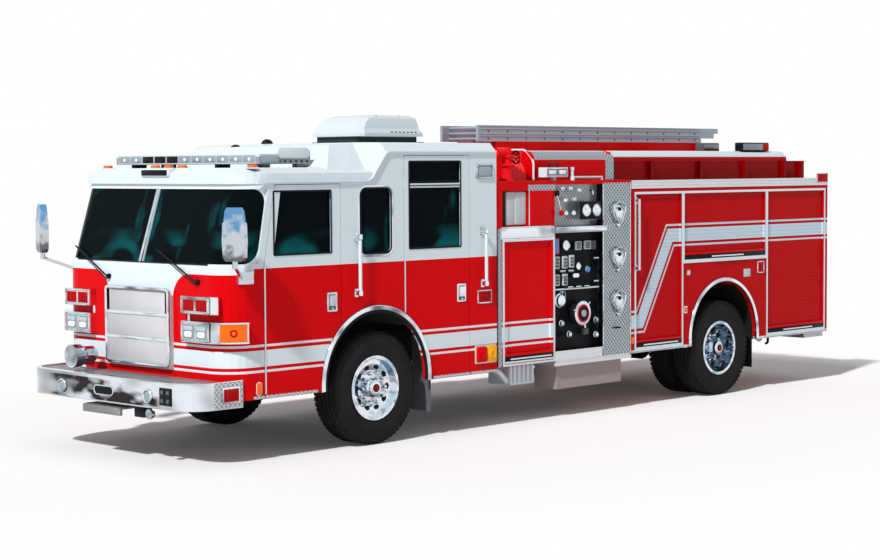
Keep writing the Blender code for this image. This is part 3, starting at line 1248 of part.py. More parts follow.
def build_dashboard():
    """Dashboard with its steering column and wheel."""
    face = at(CAB_FACE_AT) + CAB_WALL + FIT_GAP
    half = HALF - CAB_CORNER - CAB_WALL
    front = at(shield_front(DASH_TOP)) + CAB_WALL + FIT_GAP
    outline = [(face, DASH_BOTTOM), (face + DASH_DEPTH - DASH_LIP, DASH_BOTTOM), (face + DASH_DEPTH, DASH_TOP - DASH_LIP),
               (face + DASH_DEPTH - DASH_LIP / 2, DASH_TOP), (front, DASH_TOP), (face, BELT_HEIGHT - DASH_LIP)]
    dash = prism("dashboard", outline, "Y", -half, half, "grey_plastic")
    hub = Vector((face + DASH_DEPTH + STEERING_REACH, -STEERING_Y, DASH_BOTTOM + STEERING_RISE))
    foot = Vector((face + DASH_DEPTH / 2, -STEERING_Y, DASH_BOTTOM + DASH_LIP / 2))
    column = rod("column", foot, hub, STEERING_RIM_RADIUS * 2, "black_steel", 10)
    axis = (hub - foot).normalized()
    rim_profile = []
    for step in range(6):
        angle = 2 * math.pi * step / 6
        rim_profile.append((STEERING_WHEEL_RADIUS + STEERING_RIM_RADIUS * math.cos(angle),
                            STEERING_RIM_RADIUS * math.sin(angle)))
    rim = turned("rim", rim_profile, hub, axis, "black_steel", 20)
    across = Vector((0, 1, 0))
    upward = axis.cross(across)
    spokes = []
    for direction in (across, upward):
        spokes.append(rod("spoke", hub - direction * STEERING_WHEEL_RADIUS, hub + direction * STEERING_WHEEL_RADIUS,
                          STEERING_RIM_RADIUS * 2 / 3, "black_steel", 6))
    return combine(dash, [column, rim] + spokes)


def seat_outline(back_x, seat_z, floor_z):
    """Side view of a forward-facing seat on its box, its back against back_x."""
    front = back_x - SEAT_DEPTH - SEAT_BACK_THICKNESS
    crown = SEAT_CUSHION / 5
    return [
        (front + crown, floor_z), (back_x - SEAT_BACK_THICKNESS / 2, floor_z), (back_x, seat_z),
        (back_x, seat_z + SEAT_BACK_HEIGHT - crown), (back_x - crown, seat_z + SEAT_BACK_HEIGHT),
        (back_x - SEAT_BACK_THICKNESS, seat_z + SEAT_BACK_HEIGHT - crown), (back_x - SEAT_BACK_THICKNESS, seat_z),
        (front + crown, seat_z + crown / 2), (front, seat_z - crown), (front, seat_z - SEAT_CUSHION),
    ]


def build_seats():
    seats = []
    low = HOUSING_HEIGHT + FLOOR_THICKNESS + FIT_GAP
    for side, name in ((LEFT, "driver_seat"), (RIGHT, "officer_seat")):
        seats.append(side_prism(name, seat_outline(at(FRONT_SEAT_REAR_AT), low + FRONT_SEAT_RISE, low), side,
                                FRONT_SEAT_Y - SEAT_WIDTH / 2, FRONT_SEAT_Y + SEAT_WIDTH / 2, "seat_fabric"))
    back = at(CAB_REAR_AT) - CAB_WALL - FIT_GAP
    low = FLOOR_HEIGHT + FLOOR_THICKNESS + FIT_GAP
    seats.append(prism("crew_seats", seat_outline(back, low + CREW_SEAT_RISE, low), "Y",
                       -CREW_BENCH_HALF_WIDTH, CREW_BENCH_HALF_WIDTH, "seat_fabric"))
    return seats


def build_bumper():
    """Wrapped bumper with thin side wings, joined round both corners."""
    front = at(-FRONT_OVERHANG)
    low = BUMPER_TOP - BUMPER_HEIGHT
    outer = []
    inner = []
    for side in (LEFT, RIGHT):
        path = corner_path(side, 0.0, 0.0, CORNER_STEPS, front, BUMPER_CORNER)[1:]
        wing = [(at(WING_REAR_AT) - WING_LENGTH, side * HALF), (at(WING_REAR_AT), side * HALF)]
        inside = [(at(WING_REAR_AT), side * (HALF - WING_WALL)), (at(WING_REAR_AT) - WING_LENGTH, side * (HALF - WING_WALL))]
        back = corner_path(side, -BUMPER_WALL, 0.0, CORNER_STEPS - 1, front, BUMPER_CORNER)[1:]
        outer.append(path + wing[1:])
        inner.append(inside[:1] + back[::-1])
    outline = outer[0][::-1] + outer[1] + inner[1] + inner[0][::-1]
    return prism("bumper", outline, "Z", low, BUMPER_TOP, "chrome")


def deck_rear():
    return at(CAB_FACE_AT) - FIT_GAP


def build_bumper_deck():
    """Tread plate between the bumper's back edge and the cab's face, with the frame horns below."""
    front = at(-FRONT_OVERHANG)
    top = BUMPER_TOP - DECK_DROP
    path = []
    for side in (LEFT, RIGHT):
        path.append(corner_path(side, -BUMPER_WALL - FIT_GAP, 0.0, CORNER_STEPS - 1, front, BUMPER_CORNER)[1:])
    edge_y = abs(path[0][-1][1])
    outline = path[0][::-1] + path[1] + [(deck_rear(), edge_y), (deck_rear(), -edge_y)]
    return prism("bumper_deck", outline, "Z", top - DECK_THICKNESS, top, "tread_plate")


def build_siren():
    low = BUMPER_TOP - DECK_DROP + FIT_GAP
    front = at(-FRONT_OVERHANG + SIREN_SETBACK)
    centre_z = BUMPER_TOP + SIREN_RISE
    profile = ((0, 0), (SIREN_RADIUS, 0), (SIREN_RADIUS, SIREN_LENGTH / 3), (SIREN_RADIUS * 3 / 4, SIREN_LENGTH / 2),
               (SIREN_RADIUS * 3 / 4, SIREN_LENGTH * 6 / 7), (SIREN_RADIUS / 2, SIREN_LENGTH), (0, SIREN_LENGTH))
    horn = turned("siren", profile, (front, SIREN_Y, centre_z), (1, 0, 0), "chrome", 24)
    middle = front + SIREN_LENGTH * 2 / 3
    stand = box("stand", (middle - PEDESTAL_HALF, SIREN_Y - PEDESTAL_HALF, low),
                (middle + PEDESTAL_HALF, SIREN_Y + PEDESTAL_HALF, centre_z), "chrome")
    return combine(horn, [stand])


def build_grille():
    back = at(CAB_FACE_AT) - FIT_GAP
    front = back - GRILLE_DEPTH
    half = GRILLE_HALF_WIDTH
    outline = [(-half, GRILLE_BOTTOM), (half, GRILLE_BOTTOM), (half, GRILLE_TOP - GRILLE_CHAMFER),
               (half - GRILLE_CHAMFER, GRILLE_TOP), (-half + GRILLE_CHAMFER, GRILLE_TOP),
               (-half, GRILLE_TOP - GRILLE_CHAMFER)]
    grille = prism("grille", outline, "X", front, back, "chrome")
    levels = [GRILLE_BOTTOM + GRILLE_FRAME / 2, *GRILLE_BARS, GRILLE_TOP - GRILLE_FRAME / 2]
    pockets = []
    for number, (low, high) in enumerate(zip(levels, levels[1:])):
        inset = GRILLE_FRAME if number < 2 else GRILLE_FRAME + GRILLE_CHAMFER / 2
        pockets.append(box("pocket", (front - CUT_OVERRUN, -half + inset, low + GRILLE_FRAME / 2),
                           (front + GRILLE_POCKET, half - inset, high - GRILLE_FRAME / 2), "chrome"))
    return cut(grille, pockets)


def build_front_lamps(side):
    """Warning lamps above the headlamps and the wrapped turn lamp, on one bracket."""
    lower = corner_band(f"front_lamps_{side_name(side)}", side, (FIT_GAP, LAMP_DEPTH), LAMP_INNER_Y, HEADLAMP_END_STEPS,
                        (HEADLAMP_BOTTOM, HEADLAMP_TOP), "clear_lamp")
    upper = corner_band("upper", side, (FIT_GAP, LAMP_DEPTH), LAMP_INNER_Y, WARNING_END_STEPS,
                        (WARNING_BOTTOM, WARNING_TOP), "red_lamp")
    face = at(CAB_FACE_AT)
    bracket = side_box("bracket", side, (face - LAMP_BRACKET_DEPTH, face - FIT_GAP),
                       (LAMP_INNER_Y + LAMP_LAP, LAMP_INNER_Y + LAMP_LAP + LAMP_BRACKET_WIDTH),
                       (HEADLAMP_TOP - LAMP_LAP, WARNING_BOTTOM + LAMP_LAP), "chrome")
    return combine(lower, [upper, bracket])


def mirror_ring(side, height, share):
    """Rounded rectangle round the mirror post, turned towards its driver."""
    width, depth = MIRROR_HALF_WIDTH * share, MIRROR_HALF_DEPTH * share
    turn = math.radians(side * MIRROR_TURN_DEG)
    ring = []
    for step in range(8):
        angle = math.pi * (2 * step + 1) / 8
        along = depth * math.copysign(abs(math.cos(angle)) ** MIRROR_ROUNDING, math.cos(angle))
        across = width * math.copysign(abs(math.sin(angle)) ** MIRROR_ROUNDING, math.sin(angle))
        ring.append((at(MIRROR_AT) + along * math.cos(turn) + across * math.sin(turn),
                     side * MIRROR_Y - along * math.sin(turn) + across * math.cos(turn), height))
    return ring


def build_mirror(side):
    label = side_name(side)
    middle = (MIRROR_BOTTOM + MIRROR_SPLIT) / 2
    tip = MIRROR_ARM_RADIUS * 2
    rows = ((MIRROR_BOTTOM, 0.72), (MIRROR_BOTTOM + tip, 0.94), (middle, 1.0), (MIRROR_SPLIT - tip / 2, 0.95),
            (MIRROR_SPLIT, 0.84), (MIRROR_SPLIT + tip / 2, 0.84), (MIRROR_TOP - tip, 0.76), (MIRROR_TOP, 0.60))
    head = loft(f"mirror_{label}", [mirror_ring(side, z, share) for z, share in rows], "chrome")
    angle = math.radians(MIRROR_BASE_DEG)
    reach = CAB_CORNER + MIRROR_ARM_RADIUS
    base = Vector((at(CAB_FACE_AT) + CAB_CORNER - reach * math.cos(angle),
                   side * (HALF - CAB_CORNER + reach * math.sin(angle)), MIRROR_BASE_Z))
    elbow = Vector((at(MIRROR_AT), side * MIRROR_Y, MIRROR_BOTTOM - MIRROR_ARM_RADIUS * 3))
    top = Vector((at(MIRROR_AT), side * MIRROR_Y, MIRROR_BOTTOM + MIRROR_ARM_RADIUS * 3))
    arm = rod("arm", base, elbow, MIRROR_ARM_RADIUS, "chrome", 8)
    post = rod("post", elbow - Vector((0, 0, MIRROR_ARM_RADIUS)), top, MIRROR_ARM_RADIUS * 3 / 2, "chrome", 8)
    plate = corner_band("plate", side, (FIT_GAP, MIRROR_ARM_RADIUS * 2), HALF - CAB_CORNER, CORNER_STEPS,
                        (MIRROR_BASE_Z - MIRROR_BASE_HALF, MIRROR_BASE_Z + MIRROR_BASE_HALF), "chrome")
    trim = side_box("trim", side, (at(CAB_FACE_AT) - CUT_OVERRUN, at(CAB_FACE_AT) + CAB_CORNER / 2),
                    (HALF - CAB_CORNER - CUT_OVERRUN, HALF + CUT_OVERRUN),
                    (MIRROR_BASE_Z - MIRROR_BASE_HALF * 2, MIRROR_BASE_Z + MIRROR_BASE_HALF * 2), "chrome")
    cut(plate, [trim])
    return combine(head, [post, arm, plate])


def build_light_bar():
    """Bar across the roof on feet, with a long module behind its left end."""
    front, rear = at(LIGHT_BAR_AT), at(LIGHT_BAR_AT) + LIGHT_BAR_DEPTH
    half = LIGHT_BAR_HALF_WIDTH
    module_outer = half - SIDE_MODULE_WIDTH / 3
    module_inner = module_outer - SIDE_MODULE_WIDTH
    bar = box("light_bar", (front, -half, LIGHT_BAR_BOTTOM), (rear, half, LIGHT_BAR_TOP), "clear_lamp")
    chamfer = LIGHT_BAR_DEPTH / 6
    module_rear = at(SIDE_MODULE_REAR_AT)
    outline = [(rear - LAMP_LAP, LIGHT_BAR_BOTTOM), (module_rear, LIGHT_BAR_BOTTOM),
               (module_rear, SIDE_MODULE_TOP - chamfer), (module_rear - chamfer, SIDE_MODULE_TOP),
               (rear + chamfer, SIDE_MODULE_TOP), (rear, LIGHT_BAR_TOP - chamfer / 4),
               (rear - LAMP_LAP, LIGHT_BAR_TOP - chamfer / 4)]
    pieces = [side_prism("module", outline, LEFT, module_inner, module_outer, "white_paint")]
    low = ROOF_HEIGHT + FIT_GAP
    foot = SIDE_MODULE_WIDTH / 4
    feet = [(side, front + LIGHT_BAR_DEPTH / 2) for side in (LEFT, RIGHT)]
    feet.append((LEFT, module_rear - LIGHT_BAR_DEPTH / 2))
    for side, x in feet:
        pieces.append(side_box("foot", side, (x, x + LIGHT_BAR_DEPTH / 3),
                               (module_inner + foot, module_outer - foot), (low, LIGHT_BAR_BOTTOM + LAMP_LAP),
                               "black_steel"))
    return combine(bar, pieces)


def build_air_conditioner():
    low = RAISED_ROOF_HEIGHT + FIT_GAP
    front, rear = at(COOLER_FRONT_AT), at(COOLER_FRONT_AT) + COOLER_LENGTH
    base_top = low + COOLER_BASE_HEIGHT
    top = low + COOLER_HEIGHT
    # Height, and how far the ring is drawn in at the front, at the rear and at each side
    rows = (
        (low, COOLER_LIP, COOLER_LIP * 2, COOLER_LIP), (base_top, COOLER_LIP, COOLER_LIP * 2, COOLER_LIP),
        (base_top + FIT_GAP, 0.0, 0.0, 0.0), (base_top + COOLER_LIP, 0.0, 0.0, 0.0),
        (base_top + COOLER_BASE_HEIGHT, COOLER_LIP / 2, COOLER_LIP, COOLER_LIP),
        (top - COOLER_LIP * 5 / 2, COOLER_LIP * 2, COOLER_LIP, COOLER_LIP * 3 / 2),
        (top - COOLER_LIP, COOLER_LIP * 4, COOLER_LIP * 3 / 2, COOLER_LIP * 2),
        (top, COOLER_LIP * 8, COOLER_LIP * 3, COOLER_LIP * 4),
    )
    rings = []
    for z, fore, aft, side in rows:
        half = COOLER_HALF_WIDTH - side
        corner = COOLER_LIP * 2
        low_x, high_x = front + fore, rear - aft
        rings.append([(low_x + corner, -half, z), (high_x - corner, -half, z), (high_x, -half + corner, z),
                      (high_x, half - corner, z), (high_x - corner, half, z), (low_x + corner, half, z),
                      (low_x, half - corner, z), (low_x, -half + corner, z)])
    return loft("air_conditioner", rings, "white_paint")


def fairing_outline(base, growth=0.0):
    """Cross-section with rounded shoulders, as (y, z) points."""
    half = FAIRING_HALF_WIDTH + growth
    points = [(-half, base), (-half, FAIRING_SIDE_TOP)]
    for step in range(1, 4):
        angle = math.radians(90 * step / 3)
        points.append((-half + FAIRING_SHOULDER * (1 - math.cos(angle)),
                       FAIRING_SIDE_TOP + (FAIRING_TOP - FAIRING_SIDE_TOP) * math.sin(angle)))
    return points + [(-y, z) for y, z in points[::-1]]


def chassis_tunnel(front_at, rear_at):
    return box("tunnel", (at(front_at) - CUT_OVERRUN, -CHASSIS_TUNNEL_HALF_WIDTH, CAB_BOTTOM - CUT_OVERRUN),
               (at(rear_at) + CUT_OVERRUN, CHASSIS_TUNNEL_HALF_WIDTH, TUNNEL_CLEAR_TOP), "black_steel")


def shutter_pockets(side, spans, face):
    """Recesses that leave each shutter's frame standing proud."""
    cutters = []
    for front, rear, low, high in spans:
        cutters.append(side_box("pocket", side, (at(front) + SHUTTER_FRAME, at(rear) - SHUTTER_FRAME),
                                (face - SHUTTER_POCKET, face + CUT_OVERRUN),
                                (low + SHUTTER_FRAME, high - SHUTTER_FRAME), "red_paint"))
    return cutters


def build_pump_house():
    front, rear = at(PUMP_FRONT_AT), at(PUMP_REAR_AT)
    house = box("pump_house", (front, -HALF, PUMP_BOTTOM), (rear, HALF, PUMP_DECK), "red_paint")
    fairing = prism("fairing", fairing_outline(PUMP_DECK - CUT_OVERRUN), "X", at(FAIRING_FRONT_AT), rear, "red_paint")
    reel_front = at(REEL_AT) - REEL_HALF_WIDTH - REEL_CLEARANCE
    stand = box("stand", (reel_front - REEL_STAND, -REEL_Y - REEL_STAND_HALF_WIDTH, PUMP_DECK - CUT_OVERRUN),
                (reel_front, -REEL_Y + REEL_STAND_HALF_WIDTH, REEL_HEIGHT + REEL_STAND_HALF_WIDTH), "red_paint")
    combine(house, [fairing, stand])
    cutters = [chassis_tunnel(PUMP_FRONT_AT, PUMP_REAR_AT)]
    cutters.append(box("crosslay", (at(CROSSLAY_FRONT_AT), -HALF - CUT_OVERRUN, CROSSLAY_BOTTOM),
                       (at(CROSSLAY_REAR_AT), HALF + CUT_OVERRUN, CROSSLAY_TOP), "red_paint"))
    for side in (LEFT, RIGHT):
        cutters.append(side_box("recess", side, (at(PANEL_FRONT_AT), at(PANEL_REAR_AT)),
                                (HALF - PANEL_RECESS, HALF + CUT_OVERRUN), (PANEL_BOTTOM, PANEL_TOP), "red_paint"))
        cutters += shutter_pockets(side, (PUMP_SHUTTER,), HALF)
    centre = Vector((at(REEL_AT), -REEL_Y, REEL_HEIGHT))
    half = Vector((REEL_HALF_WIDTH + REEL_CLEARANCE, 0, 0))
    cutters.append(rod("trough", centre - half, centre + half, REEL_RADIUS + REEL_CLEARANCE, "red_paint",
                       WHEEL_SEGMENTS))
    reach = half + Vector((REEL_STAND, 0, 0))
    ahead = Vector((CUT_OVERRUN, 0, 0))
    cutters.append(rod("bearing", centre - reach - ahead, centre + reach + Vector((PIN_GAP, 0, 0)),
                       REEL_AXLE_RADIUS + PIN_GAP, "red_paint", 16))
    return cut(house, cutters)


def build_hose_reel():
    """Reel that spins between its stand and the fairing's front wall."""
    half = REEL_HALF_WIDTH
    tip = half + REEL_CLEARANCE + REEL_STAND
    profile = [(0, -tip), (REEL_AXLE_RADIUS, -tip), (REEL_AXLE_RADIUS, -half), (REEL_RADIUS, -half),
               (REEL_RADIUS, -half + REEL_FLANGE), (REEL_CORE_RADIUS, -half + REEL_FLANGE),
               (REEL_CORE_RADIUS, half - REEL_FLANGE), (REEL_RADIUS, half - REEL_FLANGE), (REEL_RADIUS, half),
               (REEL_AXLE_RADIUS, half), (REEL_AXLE_RADIUS, tip), (0, tip)]
    centre = (at(REEL_AT), -REEL_Y, REEL_HEIGHT)
    return place_origin(turned("hose_reel", profile, centre, (1, 0, 0), "red_paint", WHEEL_SEGMENTS), centre)


def build_pump_panel(side):
    """Recessed operator's panel with its ledge, gauges, intake and discharge."""
    back = HALF - PANEL_RECESS + FIT_GAP
    face = back + PANEL_PLATE
    span = (at(PANEL_FRONT_AT) + SHUTTER_EDGE_GAP, at(PANEL_REAR_AT) - SHUTTER_EDGE_GAP)
    panel = side_box(f"pump_panel_{side_name(side)}", side, span, (back, face),
                     (PANEL_BOTTOM + SHUTTER_EDGE_GAP, PANEL_TOP - SHUTTER_EDGE_GAP), "black_steel")
    ledge = side_box("ledge", side, span, (back, HALF), (LEDGE_HEIGHT, LEDGE_HEIGHT + LEDGE_THICKNESS), "aluminium")
    gauge = side_box("gauge", side, (at(GAUGE_AT) - GAUGE_HALF, at(GAUGE_AT) + GAUGE_HALF), (back, face + GAUGE_REACH),
                     (GAUGE_HEIGHT - GAUGE_HALF * 2 / 3, GAUGE_HEIGHT + GAUGE_HALF * 2 / 3), "black_steel")
    ports = []
    for station, height, radius, reach in ((INTAKE_AT, INTAKE_HEIGHT, INTAKE_RADIUS, INTAKE_REACH),
                                           (DISCHARGE_AT, DISCHARGE_HEIGHT, DISCHARGE_RADIUS, DISCHARGE_REACH)):
        ports.append(rod("port", (at(station), side * (back + PANEL_PLATE / 2), height),
                         (at(station), side * (face + reach - PANEL_PLATE), height), radius, "chrome", 20))
    return combine(panel, [ledge, gauge] + ports)


def build_running_boards():
    """Steps below both pump panels with the boxes hung under them and the ties that cross the chassis."""
    span = (at(PANEL_FRONT_AT), at(PUMP_REAR_AT) - BOARD_CLEARANCE)
    top = PUMP_BOTTOM - FIT_GAP
    low = top - BOARD_THICKNESS / 2
    boards = []
    for side in (LEFT, RIGHT):
        boards.append(side_box("running_boards", side, span, (HALF - BOARD_DEPTH, HALF), (low, top), "tread_plate"))
        boards.append(side_box("hung", side, (at(HUNG_BOX_FRONT_AT), at(HUNG_BOX_REAR_AT)),
                               (HALF - HUNG_BOX_SETBACK - HUNG_BOX_DEPTH, HALF - HUNG_BOX_SETBACK),
                               (HUNG_BOX_BOTTOM, low + BOARD_THICKNESS / 4), "aluminium"))
    tie_x = (at(HUNG_BOX_FRONT_AT) + at(HUNG_BOX_REAR_AT)) / 2
    reach = HALF - HUNG_BOX_SETBACK - HUNG_BOX_DEPTH / 2
    boards.append(box("tie", (tie_x - BOARD_TIE, -reach, HUNG_BOX_BOTTOM + BOARD_TIE),
                      (tie_x + BOARD_TIE, reach, HUNG_BOX_BOTTOM + 2 * BOARD_TIE), "black_steel"))
    return combine(boards[0], boards[1:])


def shutter_plate_outline(gap):
    """Outer edge of the three shutters' common frame, stepped above the wheel."""
    first, middle, last = SHUTTERS
    return [
        (at(first[0]) - gap, first[2] - gap), (at(first[1]) + gap, first[2] - gap),
        (at(first[1]) + gap, middle[2] - gap), (at(last[0]) - gap, middle[2] - gap),
        (at(last[0]) - gap, last[2] - gap), (at(last[1]) + gap, last[2] - gap),
        (at(last[1]) + gap, last[3] + gap), (at(first[0]) - gap, first[3] + gap),
    ]


def build_body_shell():
    """Compartment body: hose bed open at the top and the rear, wheel wells and shutter recesses."""
    front, rear = at(BODY_FRONT_AT), at(REAR_END_AT)
    body = box("body_shell", (front, -HALF, BODY_BOTTOM), (rear, HALF, BODY_DECK), "red_paint")
    pieces = []
    wall_top = HOSEBED_WALL_TOP
    pieces.append(box("walls", (front + BODY_GAP, -FAIRING_HALF_WIDTH, BODY_DECK - CUT_OVERRUN),
                      (rear - HOSEBED_FRONT_WALL, FAIRING_HALF_WIDTH, wall_top), "red_paint"))
    for side in (LEFT, RIGHT):
        flap = at(REAR_ARCH_AT) + REAR_ARCH_RADIUS + REAR_FLAP_SETBACK
        pieces.append(side_box("flap", side, (flap, flap + FLAP_THICKNESS), (REAR_FLAP_INNER_Y, FLAP_OUTER_Y),
                               (REAR_FLAP_BOTTOM, BODY_BOTTOM + FLAP_LAP), "rubber"))
        for share in POST_SHARES:
            middle = front + share * (rear - HOSEBED_FRONT_WALL - front)
            pieces.append(side_box("post", side, (middle - POST_WIDTH / 2, middle + POST_WIDTH / 2),
                                   (HOSEBED_HALF_WIDTH + CUT_OVERRUN / 2, FAIRING_HALF_WIDTH + POST_REACH),
                                   (BODY_DECK - CUT_OVERRUN / 2, wall_top), "red_paint"))
    combine(body, pieces)
    cutters = [box("bed", (front + HOSEBED_FRONT_WALL, -HOSEBED_HALF_WIDTH, HOSEBED_FLOOR),
                   (rear + CUT_OVERRUN, HOSEBED_HALF_WIDTH, wall_top + CUT_OVERRUN), "red_paint"),
               chassis_tunnel(BODY_FRONT_AT, REAR_END_AT - REAR_WALL - CUT_OVERRUN)]
    arch = arch_points(REAR_ARCH_AT, REAR_ARCH_HEIGHT, REAR_ARCH_RADIUS, 0, 180)
    low = BODY_BOTTOM - CUT_OVERRUN
    outline = arch + [(arch[-1][0], low), (arch[0][0], low)]
    for side in (LEFT, RIGHT):
        cutters.append(side_prism("well", outline, side, CHASSIS_TUNNEL_HALF_WIDTH - CUT_OVERRUN, HALF + CUT_OVERRUN,
                                  "red_paint"))
        cutters.append(side_prism("recess", shutter_plate_outline(SHUTTER_EDGE_GAP), side, HALF - SHUTTER_DEPTH,
                                  HALF + CUT_OVERRUN, "red_paint"))
    cutters.append(box("rear_recess", (rear - REAR_PANEL_DEPTH, -REAR_PANEL_HALF_WIDTH,
                                       REAR_PANEL_BOTTOM),
                       (rear + CUT_OVERRUN, REAR_PANEL_HALF_WIDTH, REAR_SHUTTER_TOP + SHUTTER_FRAME),
                       "red_paint"))
    return cut(body, cutters)


def build_side_shutters(side):
    """Three roll-up shutters in one aluminium frame."""
    near = HALF - SHUTTER_DEPTH + FIT_GAP
    plate = side_prism(f"side_shutters_{side_name(side)}", shutter_plate_outline(0.0), side, near, HALF, "red_paint")
    return cut(plate, shutter_pockets(side, SHUTTERS, HALF))


def build_rear_panel():
    """Rear shutter between the tail lamps, set flush into the body's rear face."""
    rear = at(REAR_END_AT)
    back = rear - REAR_PANEL_DEPTH + FIT_GAP
    half = REAR_PANEL_HALF_WIDTH - SHUTTER_EDGE_GAP
    low = REAR_PANEL_BOTTOM + FIT_GAP
    panel = box("rear_panel", (back, -half, low), (rear, half, REAR_SHUTTER_TOP + SHUTTER_FRAME - SHUTTER_EDGE_GAP),
                "aluminium")
    face = rear - SHUTTER_POCKET
    cutters = [box("pocket", (face, -REAR_SHUTTER_HALF_WIDTH, REAR_SHUTTER_BOTTOM),
                   (rear + CUT_OVERRUN, REAR_SHUTTER_HALF_WIDTH, REAR_SHUTTER_TOP - SHUTTER_FRAME), "red_paint")]
    return cut(panel, cutters)


def build_rear_step():
    """Tailboard below the body with two tow eyes."""
    rear = at(REAR_END_AT)
    top = BODY_BOTTOM - FIT_GAP
    step = box("rear_step", (rear - STEP_DEPTH, -HALF + CAB_WALL, top - STEP_THICKNESS), (rear, HALF - CAB_WALL, top),
               "tread_plate")
    eyes = []
    for side in (LEFT, RIGHT):
        profile = []
        for turn in range(6):
            angle = 2 * math.pi * turn / 6
            profile.append((STEP_THICKNESS + STEERING_RIM_RADIUS * math.cos(angle),
                            STEERING_RIM_RADIUS * math.sin(angle)))
        eyes.append(turned("eye", profile, (rear - STEP_DEPTH / 2, side * RAIL_Y, top - STEP_THICKNESS * 3 / 2),
                           (0, 1, 0), "black_steel", 12))
    return combine(step, eyes)


def build_hosebed_cover():
    outer = fairing_outline(HOSEBED_WALL_TOP + FIT_GAP)
    front, rear = at(PUMP_REAR_AT) + BODY_GAP, at(COVER_REAR_AT)
    cover = prism("hosebed_cover", outer, "X", front, rear, "white_paint")
    return cover


def build_cradle():
    """Red trough on the cover that carries the ladders."""
    low = FAIRING_TOP + FIT_GAP
    near, far = CRADLE_INNER_Y, CRADLE_INNER_Y + CRADLE_WIDTH
    cradle = box("ladder_cradle", (at(CRADLE_FRONT_AT), near, low), (at(CRADLE_REAR_AT), far, CRADLE_TOP), "red_paint")
    trough = box("trough", (at(CRADLE_FRONT_AT) - CUT_OVERRUN, near + CRADLE_WALL * 3, low + CRADLE_WALL),
                 (at(CRADLE_REAR_AT) + CUT_OVERRUN, far - CRADLE_WALL * 3, CRADLE_TOP + CUT_OVERRUN), "red_paint")
    return cut(cradle, [trough])


def build_ladders():
    """Three ladders laid flat one on another, their rails seated together."""
    front = at(LADDER_FRONT_AT)
    near, far = LADDER_INNER_Y, LADDER_INNER_Y + LADDER_WIDTH
    lengths = [LADDER_LENGTH - back for back in LADDER_STEP_BACKS]
    low = CRADLE_TOP + FIT_GAP
    rails = []
    for level, length in enumerate(lengths):
        bottom = low + level * LADDER_RAIL_HEIGHT
        lap = LADDER_RAIL_HEIGHT / 20 if level else 0.0
        for y in (near, far - LADDER_RAIL_WIDTH):
            rails.append(box("ladders", (front, y, bottom - lap),
                             (front + length, y + LADDER_RAIL_WIDTH, bottom + LADDER_RAIL_HEIGHT), "aluminium"))
    rungs = []
    for level, length in enumerate(lengths):
        middle = low + level * LADDER_RAIL_HEIGHT + LADDER_RAIL_HEIGHT / 2
        for step in range(int((length - RUNG_START) / RUNG_SPACING) + 1):
            x = front + RUNG_START + step * RUNG_SPACING
            rungs.append(rod("rung", (x, near + LADDER_RAIL_WIDTH / 2, middle), (x, far - LADDER_RAIL_WIDTH / 2, middle),
                             RUNG_RADIUS, "aluminium", 6))
    return combine(rails[0], rails[1:] + rungs)


def build_deck_pipe():
    """Deck gun riser with its elbow and handwheel."""
    base = Vector((at(PIPE_AT), -PIPE_Y, PUMP_DECK + FIT_GAP))
    profile = ((0, 0), (PIPE_BASE_RADIUS, 0), (PIPE_BASE_RADIUS, PIPE_BASE_HEIGHT), (PIPE_RADIUS, PIPE_BASE_HEIGHT),
               (PIPE_RADIUS, PIPE_TOP - PUMP_DECK), (0, PIPE_TOP - PUMP_DECK))
    pipe = turned("deck_pipe", profile, base, (0, 0, 1), "red_paint", 16)
    high = Vector((at(PIPE_AT), -PIPE_Y, PIPE_TOP - PIPE_RADIUS))
    elbow = rod("elbow", high, high - Vector((PIPE_ELBOW_REACH, 0, 0)), PIPE_RADIUS, "red_paint", 12)
    root = high - Vector((0, 0, HANDWHEEL_DROP - PIPE_RADIUS))
    stem_end = root + Vector((HANDWHEEL_REACH, -HANDWHEEL_REACH / 2, 0))
    stem = rod("stem", root, stem_end, HANDWHEEL_RIM, "black_steel", 8)
    rim_profile = []
    for step in range(6):
        angle = 2 * math.pi * step / 6
        rim_profile.append((HANDWHEEL_RADIUS + HANDWHEEL_RIM * math.cos(angle), HANDWHEEL_RIM * math.sin(angle)))
    axis = (stem_end - root).normalized()
    rim = turned("rim", rim_profile, stem_end, axis, "black_steel", 16)
    across = axis.cross(Vector((0, 0, 1))).normalized()
    spokes = [rod("spoke", stem_end - way * HANDWHEEL_RADIUS, stem_end + way * HANDWHEEL_RADIUS, HANDWHEEL_RIM * 2 / 3,
                  "black_steel", 6) for way in (across, Vector((0, 0, 1)))]
    return combine(pipe, [elbow, stem, rim] + spokes)


def build_floodlight():
    head = box("floodlight", (at(FLOOD_AT) - FLOOD_HALF_LENGTH, -FLOOD_Y - FLOOD_HALF_DEPTH, FLOOD_BOTTOM),
               (at(FLOOD_AT) + FLOOD_HALF_LENGTH, -FLOOD_Y + FLOOD_HALF_DEPTH, FLOOD_TOP), "white_paint")
    post = box("post", (at(FLOOD_AT) - FLOOD_POST_HALF, -FLOOD_Y - FLOOD_POST_HALF, PUMP_DECK + FIT_GAP),
               (at(FLOOD_AT) + FLOOD_POST_HALF, -FLOOD_Y + FLOOD_POST_HALF, FLOOD_BOTTOM + LAMP_LAP), "black_steel")
    return combine(head, [post])


def clear_scene():
    for item in list(bpy.data.objects):
        bpy.data.objects.remove(item)


